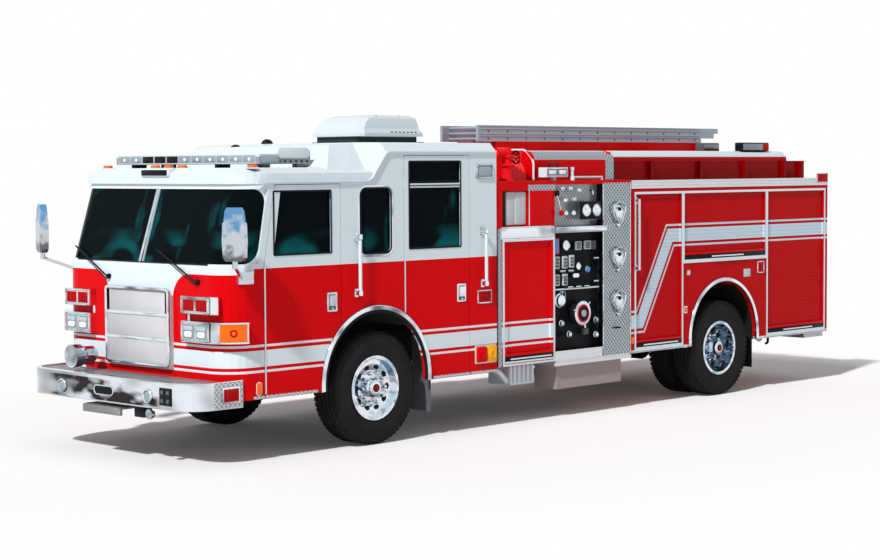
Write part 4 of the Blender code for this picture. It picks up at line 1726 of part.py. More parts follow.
def main():
    clear_scene()
    for name, (colour, roughness, metallic) in FINISHES.items():
        MATERIALS[name] = make_material(name, colour, roughness, metallic)
    build_frame()
    build_front_axle()
    build_rear_axle()
    build_engine()
    build_cab_shell()
    build_cab_floor()
    build_dashboard()
    build_seats()
    build_bumper()
    build_bumper_deck()
    build_siren()
    build_grille()
    build_light_bar()
    build_air_conditioner()
    build_pump_house()
    build_hose_reel()
    build_running_boards()
    build_body_shell()
    build_rear_panel()
    build_rear_step()
    build_hosebed_cover()
    build_cradle()
    build_ladders()
    build_deck_pipe()
    build_floodlight()
    build_sides()
    for item in bpy.data.objects:
        if item.type == "MESH":
            item.data.shade_smooth()
            item.data.set_sharp_from_angle(angle=SHARP_ANGLE)


def build_sides():
    for side in (LEFT, RIGHT):
        build_knuckle(side)
        build_wheels(side)
        build_windshield(side)
        build_side_glass(side)
        build_doors(side)
        build_front_lamps(side)
        build_mirror(side)
        build_pump_panel(side)
        build_side_shutters(side)


main()
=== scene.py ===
"""Looks of a pumper fire engine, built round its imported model.

Units are metres. The front of the vehicle points along -X, its left side along -Y, and +Z is up.
Stations whose names end in ``_at`` are measured rearward from the front axle.
"""

import logging
import math
from dataclasses import dataclass, field
from enum import Enum
from typing import Any, Iterable, Optional, Sequence

import bmesh
import bpy
from mathutils import Matrix, Vector

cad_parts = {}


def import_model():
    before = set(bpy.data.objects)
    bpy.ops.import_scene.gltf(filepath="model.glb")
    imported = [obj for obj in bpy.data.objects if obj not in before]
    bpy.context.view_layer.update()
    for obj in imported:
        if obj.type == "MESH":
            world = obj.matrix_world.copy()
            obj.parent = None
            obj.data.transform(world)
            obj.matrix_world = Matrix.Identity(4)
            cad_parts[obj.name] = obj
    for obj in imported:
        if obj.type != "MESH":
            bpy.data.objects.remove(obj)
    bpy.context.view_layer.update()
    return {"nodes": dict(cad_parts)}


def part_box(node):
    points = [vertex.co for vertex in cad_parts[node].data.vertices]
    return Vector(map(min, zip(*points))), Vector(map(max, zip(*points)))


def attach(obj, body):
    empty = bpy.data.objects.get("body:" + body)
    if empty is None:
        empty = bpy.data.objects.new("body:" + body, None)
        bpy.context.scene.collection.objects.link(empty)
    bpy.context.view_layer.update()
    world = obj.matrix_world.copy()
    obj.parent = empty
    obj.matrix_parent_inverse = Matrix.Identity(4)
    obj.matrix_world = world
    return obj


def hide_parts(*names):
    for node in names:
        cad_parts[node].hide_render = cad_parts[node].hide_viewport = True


LOG = logging.getLogger("fire_engine")
FRONT_AXLE_X = -2.64
SIDE = 1.244
LEFT, RIGHT = -1, 1
SIDES = (LEFT, RIGHT)
OUTWARD, INWARD, AHEAD, REARWARD, UP = (0, -1, 0), (0, 1, 0), (-1, 0, 0), (1, 0, 0), (0, 0, 1)
OTHER_SIDE = Matrix.Scale(-1, 4, INWARD)
SMOOTH_ANGLE = math.radians(35)
SLAT_PITCH = 0.0405
AXLE_HEIGHT = 0.535
REAR_AXLE_AT = 5.357
CAB_SPLIT = 1.7255
WINDSHIELD_LEAN = 0.3345
STRIPE_HEIGHT = 0.92
Colour = tuple[float, float, float]
Point = Sequence[float]
Socket, Material, Piece = bpy.types.NodeSocket, bpy.types.Material, bpy.types.Object


def at(station: float) -> float:
    """Turn a distance behind the front axle into an X coordinate."""
    return FRONT_AXLE_X + station


# ---- Node fields and finishes


class Field:
    """A number that varies over a surface, with the arithmetic of shader nodes."""

    def __init__(self, tree: bpy.types.NodeTree, socket: Socket) -> None:
        """Wrap an output socket of a material's node tree."""
        self.tree = tree
        self.socket = socket

    def math(self, operation: str, *others: "Field | float") -> "Field":
        """Apply a math node.

        Args:
            operation: the node's operation.
            others: further inputs.

        Returns:
            The result as a field.
        """
        node = self.tree.nodes.new("ShaderNodeMath")
        node.operation = operation
        self.tree.links.new(self.socket, node.inputs[0])
        for index, other in enumerate(others, 1):
            if isinstance(other, Field):
                self.tree.links.new(other.socket, node.inputs[index])
            else:
                node.inputs[index].default_value = other
        return Field(self.tree, node.outputs[0])

    def __add__(self, other: "Field | float") -> "Field":
        """Add."""
        return self.math("ADD", other)

    def __sub__(self, other: "Field | float") -> "Field":
        """Subtract."""
        return self.math("SUBTRACT", other)

    def __mul__(self, other: "Field | float") -> "Field":
        """Multiply."""
        return self.math("MULTIPLY", other)

    def __gt__(self, other: "Field | float") -> "Field":
        """One where this is above the other, else nought."""
        return self.math("GREATER_THAN", other)

    def __lt__(self, other: "Field | float") -> "Field":
        """One where this is below the other, else nought."""
        return self.math("LESS_THAN", other)

    def __abs__(self) -> "Field":
        """Size without sign."""
        return self.math("ABSOLUTE")

    def either(self, other: "Field") -> "Field":
        """Join two masks."""
        return self.math("MAXIMUM", other)

    def positive(self) -> "Field":
        """This where it is above nought, else nought."""
        return self.math("MAXIMUM", 0.0)

    def clamped(self) -> "Field":
        """This held between nought and one."""
        return self.positive().math("MINIMUM", 1.0)

    def flipped(self) -> "Field":
        """One less this."""
        return self * -1.0 + 1.0

    def within(self, low: "Field | float", high: "Field | float") -> "Field":
        """One where this lies between two bounds, else nought."""
        return (self > low) * (self < high)


class Surface:
    """The coordinates and shader of one material while it is drawn up."""

    def __init__(self, name: str) -> None:
        """Start a material with a Principled shader.

        Args:
            name: the material's name.
        """
        self.material = bpy.data.materials.new(name)
        self.material.use_nodes = True
        self.tree = self.material.node_tree
        self.shader = self.tree.nodes["Principled BSDF"]
        self.coordinates = self.tree.nodes.new("ShaderNodeTexCoord")
        self.x, self.y, self.z = self.split(self.coordinates.outputs["Object"])
        self.face_x, self.face_y, self.face_z = (abs(part) for part in self.split(self.coordinates.outputs["Normal"]))

    def split(self, vector: Socket) -> tuple[Field, Field, Field]:
        """Separate a vector into three fields.

        Args:
            vector: the vector output.

        Returns:
            Its parts along X, Y and Z.
        """
        node = self.tree.nodes.new("ShaderNodeSeparateXYZ")
        self.tree.links.new(vector, node.inputs[0])
        return tuple(Field(self.tree, output) for output in node.outputs)

    def noise(self, scale: float, detail: float = 2.0, stretch: Point = (1, 1, 1)) -> Field:
        """Cloudy noise fixed to the object.

        Args:
            scale: features per metre.
            detail: octaves.
            stretch: scale factors along the three axes.

        Returns:
            The noise as a field from 0 to 1.
        """
        mapping = self.tree.nodes.new("ShaderNodeMapping")
        mapping.inputs["Scale"].default_value = stretch
        self.tree.links.new(self.coordinates.outputs["Object"], mapping.inputs["Vector"])
        node = self.tree.nodes.new("ShaderNodeTexNoise")
        node.inputs["Scale"].default_value = scale
        node.inputs["Detail"].default_value = detail
        self.tree.links.new(mapping.outputs[0], node.inputs["Vector"])
        return Field(self.tree, node.outputs["Fac"])

    def wave(self, field: Field, period: float) -> Field:
        """Sine of a field with the given period, from -1 to 1."""
        return (field * (2 * math.pi / period)).math("SINE")

    def blend(self, mask: Field, low: Colour | Socket, high: Colour | Socket) \
            -> Socket:
        """Mix two colours.

        Args:
            mask: 0 gives the low colour and 1 the high one.
            low: a colour or colour socket.
            high: a colour or colour socket.

        Returns:
            The mixed colour's socket.
        """
        node = self.tree.nodes.new("ShaderNodeMix")
        node.data_type = "RGBA"
        self.tree.links.new(mask.socket, node.inputs["Factor"])
        for socket, colour in ((node.inputs[6], low), (node.inputs[7], high)):
            if isinstance(colour, Socket):
                self.tree.links.new(colour, socket)
            else:
                socket.default_value = (*colour, 1)
        return node.outputs[2]

    def raise_by(self, height: Field, distance: float) -> None:
        """Bump the surface.

        Args:
            height: the relief, about 0 to 1.
            distance: the relief's real height.
        """
        bump = self.tree.nodes.new("ShaderNodeBump")
        bump.inputs["Distance"].default_value = distance
        self.tree.links.new(height.socket, bump.inputs["Height"])
        self.tree.links.new(bump.outputs[0], self.shader.inputs["Normal"])

    def set(self, name: str, value: "float | Field | Colour | Socket") -> None:
        """Set or link one input of the shader.

        Args:
            name: the input's name.
            value: a number, colour, field or socket.
        """
        socket = self.shader.inputs[name]
        if isinstance(value, Field):
            self.tree.links.new(value.socket, socket)
        elif isinstance(value, Socket):
            self.tree.links.new(value, socket)
        elif isinstance(value, tuple):
            socket.default_value = (*value, 1)
        else:
            socket.default_value = value

    def tread(self, pitch: float = 0.025) -> Field:
        """Raised lozenges of tread plate, lying in whichever plane the face has.

        Args:
            pitch: distance between lozenges.

        Returns:
            One on a lozenge, else nought.
        """
        facing = self.face_x > 0.7
        lying = self.face_z > 0.7
        u = self.x + facing * (self.y - self.x)
        v = self.z + lying * (self.y - self.z)
        rising, falling = u + v, u - v
        first = (self.wave(rising, pitch) > 0.35) * (self.wave(falling, pitch * 2) > 0.0)
        second = (self.wave(falling, pitch) > 0.35) * (self.wave(rising, pitch * 2) < 0.0)
        return first.either(second)

    def mirrored(self, sky: Colour, ground: Colour, patch: float) -> Socket:
        """Paint reflections on polished metal by where its faces look: painted sky, horizon and ground.

        Args:
            sky: painted sky reflection on faces that look up.
            ground: painted ground reflection on faces that look down, and on dark patches on upright ones.
            patch: patches of painted reflection per metre on upright faces.

        Returns:
            The colour's socket.
        """
        up = self.split(self.coordinates.outputs["Normal"])[2]
        raised = ((up - 0.1) * 3.0).clamped()
        sunk = ((up + 0.1) * -3.0).clamped()
        # Painted reflection: a pale horizon on upright faces, with clouds of painted ground.
        cloud = ((self.noise(patch, 1.0, (1, 1, 1.7)) - 0.48) * 3.5).clamped()
        upright = self.blend(cloud, (0.8, 0.85, 0.89), ground)
        return self.blend(sunk, self.blend(raised, upright, sky), ground)


class Pattern(Enum):
    """Fine texture of a plain finish; the mirror pattern paints reflections into its colour instead."""

    PLAIN = "plain"
    GRAIN = "grain"
    BRUSHED = "brushed"
    TREAD = "tread"
    WOVEN = "woven"
    PERFORATED = "perforated"
    # Painted reflection of sky, horizon and ground.
    MIRROR = "mirror"


@dataclass(frozen=True)
class Finish:
    """A finish that is one substance all over."""

    name: str
    colour: Colour
    slot: str
    metallic: float = 0.0
    roughness: float = 0.4
    coat: float = 0.0
    pattern: Pattern = Pattern.PLAIN
    variation: float = 0.12
    alpha: float = 1.0
    glow: float = 0.0
    shine: float = 0.06

    def make(self) -> Material:
        """Build the material, or find it if it was built before.

        Returns:
            The material.
        """
        if self.name in bpy.data.materials:
            return bpy.data.materials[self.name]
        surface = Surface(self.name)
        cloud = surface.noise(3.0, 3.0)
        dark = tuple(part * (1 - self.variation) for part in self.colour)
        colour = surface.blend(cloud, dark, self.colour)
        surface.set("Metallic", self.metallic)
        surface.set("Coat Weight", self.coat)
        surface.set("Coat Roughness", 0.04)
        surface.set("Specular IOR Level", self.shine)
        surface.set("Alpha", self.alpha)
        surface.set("Roughness", surface.noise(9.0, 2.0) * (self.roughness * 0.5) + self.roughness * 0.75)
        if self.glow:
            surface.set("Emission Color", self.colour)
            surface.set("Emission Strength", self.glow)
        if self.pattern is Pattern.GRAIN:
            surface.raise_by(surface.noise(420.0, 2.0), 0.0006)
        elif self.pattern is Pattern.BRUSHED:
            surface.raise_by(surface.noise(60.0, 3.0, (0.08, 1.0, 6.0)), 0.0004)
        elif self.pattern is Pattern.TREAD:
            relief = surface.tread()
            colour = surface.blend(relief, tuple(part * 0.32 for part in self.colour), self.colour)
            surface.raise_by(relief, 0.002)
        elif self.pattern is Pattern.WOVEN:
            weave = surface.wave(surface.x + surface.z, 0.006) * surface.wave(surface.y - surface.z, 0.006)
            surface.raise_by(weave, 0.0008)
        elif self.pattern is Pattern.PERFORATED:
            across = surface.y + (surface.face_y > 0.7) * (surface.x - surface.y)
            holes = surface.wave(across + surface.z, 0.017) * surface.wave(across - surface.z, 0.017)
            colour = surface.blend(holes > 0.25, colour, tuple(part * 0.6 for part in self.colour))
            surface.raise_by(holes, 0.002)
        else:
            surface.raise_by(surface.noise(140.0, 1.0), 0.00006)
        # Painted reflection of sky, horizon and ground in place of the plain colour.
        if self.pattern is Pattern.MIRROR:
            colour = surface.mirrored(self.colour, (0.13, 0.14, 0.16), 3.4)
        surface.set("Base Color", colour)
        return surface.material


RED: Colour = (0.66, 0.0008, 0.0035)
WHITE: Colour = (0.68, 0.77, 0.82)
# Darker copies of red and white for the body: painted shade on its sides.
SHADED_BODY_RED: Colour = (0.5, 0.0006, 0.0026)
SHADED_BODY_WHITE: Colour = (0.55, 0.68, 0.77)
# Painted shade for the hose bed walls.
SHADED_WALL_RED: Colour = (0.24, 0.0006, 0.0018)
INSIDE: Colour = (0.035, 0.037, 0.042)
SILVER: Colour = (0.66, 0.68, 0.7)

RED_PAINT = Finish("red_paint_gloss", RED, "red_paint", roughness=0.22, variation=0.05)
WHITE_PAINT = Finish("white_paint_gloss", WHITE, "white_paint", roughness=0.25, variation=0.03)
# Chrome: its colour is the painted sky reflection, over painted horizon and ground reflections.
CHROME = Finish("chrome_plate", (0.5, 0.64, 0.76), "chrome", metallic=1.0, roughness=0.07, pattern=Pattern.MIRROR)
TRIM = Finish("bright_trim", (0.66, 0.74, 0.79), "chrome", metallic=0.9, roughness=0.18)
ALUMINIUM = Finish("satin_aluminium", SILVER, "aluminium", metallic=0.9, roughness=0.3, pattern=Pattern.BRUSHED)
PALE_METAL = Finish("anodised_trim", (0.6, 0.66, 0.7), "aluminium", metallic=0.35, roughness=0.35)
LADDER_ALLOY = Finish("ladder_alloy", (0.4, 0.48, 0.56), "aluminium", metallic=0.3, roughness=0.35)
TREAD_PLATE = Finish(
    "tread_plate_bright", (0.8, 0.84, 0.88), "tread_plate", metallic=0.75, roughness=0.26, pattern=Pattern.TREAD)
MESH_SCREEN = Finish(
    "grille_screen", (0.72, 0.71, 0.73), "aluminium", metallic=0.5, roughness=0.4, pattern=Pattern.PERFORATED)
STEP_SCREEN = Finish(
    "step_screen", (0.3, 0.3, 0.31), "aluminium", metallic=0.6, roughness=0.4, pattern=Pattern.PERFORATED)
BLACK_STEEL = Finish("black_chassis_paint", (0.018, 0.018, 0.02), "black_steel", roughness=0.45, pattern=Pattern.GRAIN)
BLACK_GLOSS = Finish("black_gloss", (0.01, 0.01, 0.012), "black_steel", roughness=0.15)
RUBBER = Finish("tyre_rubber", (0.014, 0.014, 0.015), "rubber", roughness=0.7, pattern=Pattern.GRAIN, variation=0.35)
GASKET = Finish("window_gasket", (0.012, 0.012, 0.013), "rubber", roughness=0.5)
GREY_PLASTIC = Finish("grey_moulding", (0.12, 0.13, 0.14), "grey_plastic", roughness=0.5, pattern=Pattern.GRAIN)
PALE_PLASTIC = Finish("pale_moulding", (0.55, 0.6, 0.63), "grey_plastic", roughness=0.4, pattern=Pattern.GRAIN)
SEAT_CLOTH = Finish("seat_cloth", (0.045, 0.048, 0.055), "seat_fabric", roughness=0.85, pattern=Pattern.WOVEN)
# The hose jacket glows: painted light, for a hose is no lamp.
HOSE_RED = Finish("red_hose_jacket", (1.0, 0.05, 0.055), "red_paint", roughness=0.55, pattern=Pattern.WOVEN, glow=0.1)
PIPE_RED = Finish("pipe_red_gloss", (0.92, 0.008, 0.016), "red_paint", roughness=0.18, variation=0.08)
HOSE_PALE = Finish("pale_hose_jacket", (0.62, 0.65, 0.68), "seat_fabric", roughness=0.8, pattern=Pattern.WOVEN)
RED_LENS = Finish("red_lens", (0.58, 0.002, 0.005), "red_lamp", roughness=0.1, glow=0.03, variation=0.6)
CLEAR_LENS = Finish("clear_lens", (0.4, 0.5, 0.56), "clear_lamp", roughness=0.1, coat=0.3, metallic=0.4, variation=0.5)
SMOKED_LENS = Finish("smoked_lens", (0.16, 0.21, 0.25), "clear_lamp", roughness=0.1, coat=1.0, metallic=0.3)
AMBER_LENS = Finish("amber_lens", (1.0, 0.16, 0.008), "clear_lamp", roughness=0.14, coat=0.2, glow=0.08, variation=0.3)
LED = Finish("bright_diode", (0.95, 0.98, 1.0), "clear_lamp", roughness=0.2, coat=0.2)
BLUE_LENS = Finish("blue_display", (0.03, 0.22, 0.55), "clear_lamp", roughness=0.12, coat=1.0, glow=0.1)
YELLOW_PLASTIC = Finish("yellow_moulding", (0.95, 0.42, 0.015), "grey_plastic", roughness=0.4)


@dataclass(frozen=True)
class GlassFinish:
    """Dark glass with painted teal light, as of a lit cabin behind it, in patches on its lower part and in streaks all
    over, in a white surround with round corners.
    """

    name: str = "tinted_glass"
    teal_top: float = 2.06
    corner: float = 0.0
    low: float = 1.757
    high: float = 2.416
    rear_at: float = -1.456
    lean: float = 0.186

    def surround(self, surface: Surface) -> Field:
        """Find the corners outside the rounded outline of the windshield.

        Args:
            surface: the surface that is drawn up.

        Returns:
            One outside the outline, else nought.
        """
        edge = (surface.z - self.low) * self.lean + at(self.rear_at - self.corner)
        behind = (surface.x - edge).positive()
        over = (surface.z - (self.high - self.corner)).positive()
        under = (surface.z * -1.0 + (self.low + self.corner)).positive()
        away = over.either(under)
        return (behind * behind + away * away) > self.corner ** 2

    def make(self) -> Material:
        """Build the material.

        Returns:
            The material.
        """
        surface = Surface(self.name)
        # Painted light: teal patches low on the glass and teal streaks all over it.
        low = ((surface.z - self.teal_top) * -5.0).clamped()
        patch = ((surface.noise(1.9, 1.0, (1.0, 1.0, 1.6)) - 0.5) * 9.0).clamped()
        painted_teal_streak = ((surface.noise(5.0, 2.0, (1.0, 1.0, 0.3)) - 0.62) * 9.0).clamped()
        lit = (low * patch * 0.85).either(painted_teal_streak * 0.45)
        colour = surface.blend(lit, (0.002, 0.005, 0.006), (0.003, 0.125, 0.135))
        solid = lit * 0.06 + 0.9
        if self.corner:
            outside = self.surround(surface)
            colour, solid = surface.blend(outside, colour, WHITE), solid.either(outside)
        surface.set("Base Color", colour)
        surface.set("Roughness", 0.02)
        surface.set("Specular IOR Level", 0.02)
        surface.set("Alpha", solid)
        return surface.material


@dataclass(frozen=True)
class TyreFinish:
    """Black rubber with ribs round its sidewall and grooves round its tread."""

    name: str
    x: float
    height: float = AXLE_HEIGHT
    tread_radius: float = 0.515

    def make(self) -> Material:
        """Build the material.

        Returns:
            The material.
        """
        surface = Surface(self.name)
        dx, dz = surface.x - self.x, surface.z - self.height
        radius = (dx * dx + dz * dz).math("POWER", 0.5)
        tread = radius > self.tread_radius
        ribs = (surface.wave(radius, 0.019) > 0.55) * radius.within(0.33, 0.5)
        groove = (surface.wave(surface.y, 0.052) > 0.8) * tread
        grain = surface.noise(300.0, 2.0)
        dust = surface.noise(6.0, 3.0)
        colour = surface.blend(dust, (0.01, 0.01, 0.011), (0.026, 0.026, 0.027))
        # Painted shade: the tread grooves darker than the rubber.
        surface.set("Base Color", surface.blend(groove, colour, (0.003, 0.003, 0.003)))
        surface.set("Roughness", 0.72)
        surface.set("Specular IOR Level", 0.06)
        surface.raise_by(ribs * 1.0 + grain * 0.12 - groove * 2.0, 0.003)
        return surface.material


@dataclass(frozen=True)
class BumperFinish:
    """Polished bumper with a painted reflection of dark ground across the middle of its face, over painted reflections
    of sky, horizon and ground.
    """

    name: str = "polished_bumper"
    ground_reflection_half: float = 0.86

    def make(self) -> Material:
        """Build the material.

        Returns:
            The material.
        """
        surface = Surface(self.name)
        # Painted reflection: dark ground in clouds across the middle of the front face.
        middle = ((abs(surface.y) - self.ground_reflection_half) * -9.0).clamped()
        band = surface.z.within(0.52, 0.716)
        cloud = ((surface.noise(2.4, 2.0, (1.0, 1.0, 2.6)) - 0.41) * 9.0).clamped()
        dark = middle * band * cloud * (surface.face_x > 0.7)
        bright = surface.mirrored((0.52, 0.6, 0.66), (0.2, 0.2, 0.21), 2.0)
        surface.set("Base Color", surface.blend(dark, bright, (0.03, 0.024, 0.022)))
        surface.set("Metallic", 1.0)
        surface.set("Roughness", surface.noise(14.0, 2.0) * 0.1 + 0.05)
        surface.raise_by(surface.noise(60.0, 2.0), 0.0002)
        return surface.material


@dataclass(frozen=True)
class MirrorFinish:
    """Polished mirror backs with painted reflections of sky over cloud over ground."""

    name: str = "mirror_back"
    sky_from: float = 2.05
    ground_to: float = 1.93

    def make(self) -> Material:
        """Build the material.

        Returns:
            The material.
        """
        surface = Surface(self.name)
        # Painted reflection: bluish sky high up, silver cloud in between, dark ground low on the mirror head.
        height = surface.z + (surface.noise(9.0, 3.0) - 0.5) * 0.5
        sky = ((height - self.sky_from) * 9.0).clamped()
        ground = ((height - self.ground_to) * -14.0).clamped()
        silver = surface.blend(ground * (surface.z > 1.8), (0.58, 0.62, 0.66), (0.16, 0.16, 0.17))
        surface.set("Base Color", surface.blend(sky, silver, (0.13, 0.34, 0.58)))
        surface.set("Metallic", 1.0)
        surface.set("Roughness", 0.08)
        return surface.material


def paint_base(name: str) -> Surface:
    """Start a glossy vehicle paint with a faint ripple.

    Args:
        name: the material's name.

    Returns:
        The surface, with its colour still to be set.
    """
    surface = Surface(name)
    surface.set("Roughness", surface.noise(6.0, 3.0) * 0.12 + 0.17)
    surface.set("Specular IOR Level", 0.045)
    surface.raise_by(surface.noise(160.0, 1.0), 0.00005)
    return surface


@dataclass(frozen=True)
class Stripes:
    """A broad white band between two thin ones, as heights from the band's middle."""

    band_half: float = 0.073
    line_near: float = 0.102
    line_far: float = 0.124

    def mask(self, height: Field) -> Field:
        """One on the stripes' white, else nought, by the height from the band's middle."""
        away = abs(height)
        return (away < self.band_half).either(away.within(self.line_near, self.line_far))


STRIPES = Stripes()


@dataclass(frozen=True)
class CabLivery:
    """White over red, with the stripes round the cab and a white field over the grille."""

    split_height: float = CAB_SPLIT
    stripe_height: float = STRIPE_HEIGHT
    field_half: float = 0.475
    field_curve: float = 0.235
    face_at: float = -1.8
    corner: float = 0.27

    def make(self) -> Material:
        """Build the material.

        Returns:
            The material.
        """
        surface = paint_base("cab_livery")
        y, z = abs(surface.y), surface.z
        front = surface.x < at(self.face_at + 0.3)
        above = (z + front * 0.05) > self.split_height - 0.012
        over = (y - (self.field_half + self.field_curve))
        drop = z - (self.split_height - 0.062 - self.field_curve)
        rounded = (over * over + drop * drop) > self.field_curve ** 2
        shoulder = (y < self.field_half + self.field_curve) * (drop > 0.0) * rounded * (over < 0.0)
        field = front * (y < self.field_half).either(shoulder) * (z > 1.38)
        white = above.either(field).either(STRIPES.mask(z - self.stripe_height))
        colour = surface.blend(white, RED, WHITE)
        lean = (z - self.split_height).positive() * WINDSHIELD_LEAN
        ahead = ((surface.x - lean) * -1.0 + at(self.face_at + self.corner)).positive()
        beside = (y - (SIDE - self.corner)).positive()
        core = (ahead * ahead + beside * beside) < (self.corner - 0.054) ** 2
        room = core * (surface.x < at(1.595)) * (z > 0.5)
        low_room = (z < 2.432).either((surface.x > at(0.02)) * (y < 1.15) * (z < 2.712))
        surface.set("Base Color", surface.blend(room * low_room, colour, INSIDE))
        return surface.material


@dataclass(frozen=True)
class BodyLivery:
    """Red compartment body with stripes that drop towards the front, bright rails and a bare hose bed, with painted
    shade on its sides, on the hose bed walls and on their posts.
    """

    high_stripe: float = 1.834
    low_stripe: float = STRIPE_HEIGHT
    drop_top_at: float = 4.445
    drop_low_at: float = 3.927
    rail_low: float = 2.352
    floor: float = 0.587
    name: str = "body_livery"
    slat: float = 0.0

    def stripe_mask(self, surface: Surface) -> Field:
        """The stripes' white, level, sloping and level again.

        Args:
            surface: the surface that is drawn up.

        Returns:
            One on white, else nought.
        """
        slope = (self.high_stripe - self.low_stripe) / (self.drop_top_at - self.drop_low_at)
        angle = math.atan(slope)
        mitre, lean = math.tan(angle / 2), math.cos(angle)
        low_away, high_away = surface.z - self.low_stripe, surface.z - self.high_stripe
        past_low = (surface.x + low_away * mitre) > at(self.drop_low_at)
        past_high = (surface.x + high_away * mitre) > at(self.drop_top_at)
        across = (low_away - (surface.x - at(self.drop_low_at)) * slope) * lean
        level = STRIPES.mask(low_away) * past_low.flipped() + STRIPES.mask(high_away) * past_high
        return level + STRIPES.mask(across) * past_low * past_high.flipped()

    def make(self) -> Material:
        """Build the material.

        Returns:
            The material.
        """
        surface = paint_base(self.name)
        y, z = abs(surface.y), surface.z
        skin = y > SIDE - 0.035
        white = self.stripe_mask(surface) * skin
        # The body's red and white are darker copies: painted shade.
        colour = surface.blend(white, SHADED_BODY_RED, SHADED_BODY_WHITE)
        wall = (z > self.rail_low + 0.08) * (y > 0.9)
        # Painted shade: the hose bed walls darker red, and the faces of their posts that look fore and aft near black.
        colour = surface.blend(wall * (z < 2.68), colour, SHADED_WALL_RED)
        posts = wall * (surface.x < at(5.85)) * (surface.face_x > 0.7)
        colour = surface.blend(posts, colour, (0.07, 0.0002, 0.0006))
        if self.slat:
            seam = surface.wave(surface.z, self.slat) > 0.975
            colour = surface.blend(seam * 0.25, colour, (0.05, 0.02, 0.02))
            surface.raise_by(seam * -1.0, 0.0015)
        rail = (z > self.rail_low) * (z < self.rail_low + 0.105) * (y > 1.06)
        sill = (z < self.floor + 0.03) * skin
        bed = (y < 0.94) * (z > 1.7) * (surface.x < at(7.43)) * (surface.face_z < 2.0) * (surface.x > at(3.8))
        bare = rail.either(sill).either(bed)
        colour = surface.blend(bare, colour, SILVER)
        plate = surface.tread() * (z > self.rail_low) * (surface.face_z > 0.7)
        colour = surface.blend(plate, colour, (0.36, 0.38, 0.4))
        flap = z < self.floor - 0.004
        well = (y < SIDE - 0.04) * (z < 1.24) * surface.x.within(at(4.7), at(6.12))
        colour = surface.blend(flap.either(well), colour, (0.016, 0.016, 0.017))
        surface.set("Base Color", colour)
        surface.set("Metallic", bare * 0.6)
        return surface.material


@dataclass(frozen=True)
class PumpLivery:
    """Red pump house with tread plate at its corners and shoulders."""

    front_at: float = 1.65
    panel_front_at: float = 2.51
    panel_rear_at: float = 3.282
    rear_at: float = 3.74
    deck: float = 2.45

    def make(self) -> Material:
        """Build the material.

        Returns:
            The material.
        """
        surface = paint_base("pump_livery")
        x, y, z = surface.x, abs(surface.y), surface.z
        skin = y > SIDE - 0.06
        column = (x > at(self.panel_rear_at - 0.004)) * skin * (z < self.deck - 0.03)
        strip = (x < at(self.front_at + 0.052)) * skin * (z < 1.975)
        shoulder = (z > 2.665) * (y > 0.62) * x.within(at(2.47), at(3.66))
        rear_patch = (x > at(3.6)) * (z > self.deck + 0.005) * (y > 0.98)
        deck = (z > self.deck - 0.01) * (z < self.deck + 0.012) * (surface.face_z > 0.7) * (y < SIDE - 0.03)
        top_strip = (x > at(2.1)) * (x < at(self.panel_front_at + 0.02)) * z.within(2.352, 2.412) * skin
        plated = column.either(strip).either(shoulder).either(rear_patch).either(deck).either(top_strip)
        panel = x.within(at(self.panel_front_at - 0.002), at(self.panel_rear_at)) * skin * (z < self.deck - 0.04)
        polished = x.within(at(1.69), at(2.5)) * z.within(1.878, 1.985) * skin
        stripe = STRIPES.mask(z - STRIPE_HEIGHT) * skin * (x < at(self.panel_front_at))
        colour = surface.blend(stripe, RED, WHITE)
        relief = surface.tread()
        plate = surface.blend(relief, (0.14, 0.17, 0.19), (0.6, 0.66, 0.7))
        colour = surface.blend(plated, colour, plate)
        colour = surface.blend(panel.either(polished), colour, SILVER)
        # Painted shade: the walls round the pump panel's opening near black.
        recess_shade = x.within(at(2.49), at(3.29)) * y.within(1.0, 1.235) * z.within(0.6, 2.42)
        colour = surface.blend(recess_shade, colour, (0.015, 0.015, 0.016))
        under = (z < 0.585).either((y < SIDE - 0.1) * (z < 1.0))
        colour = surface.blend(under, colour, (0.02, 0.02, 0.022))
        surface.set("Base Color", colour)
        surface.set("Metallic", plated.either(panel).either(polished) * 0.8)
        return surface.material


@dataclass(frozen=True)
class CoverLivery:
    """Red hose bed cover with a pale rounded shoulder."""

    shoulder_low: float = 2.692
    shoulder_inner: float = 0.85

    def make(self) -> Material:
        """Build the material.

        Returns:
            The material.
        """
        surface = paint_base("cover_livery")
        shoulder = (surface.z > self.shoulder_low) * (abs(surface.y) > self.shoulder_inner)
        cloth = surface.noise(40.0, 3.0)
        red = surface.blend(cloth, (0.28, 0.001, 0.003), (0.4, 0.001, 0.003))
        surface.set("Base Color", surface.blend(shoulder, red, (0.6, 0.68, 0.72)))
        return surface.material


@dataclass(frozen=True)
class TwoToneFinish:
    """A metal piece whose lower or inner part has another colour."""

    name: str
    low: Colour
    high: Colour
    height: float
    metallic: float
    treaded: bool = False

    def make(self) -> Material:
        """Build the material.

        Returns:
            The material.
        """
        surface = paint_base(self.name)
        high = surface.z > self.height
        upper = self.high
        if self.treaded:
            upper = surface.blend(surface.tread(), tuple(part * 0.36 for part in self.high), self.high)
        surface.set("Base Color", surface.blend(high, self.low, upper))
        surface.set("Metallic", high * self.metallic)
        return surface.material


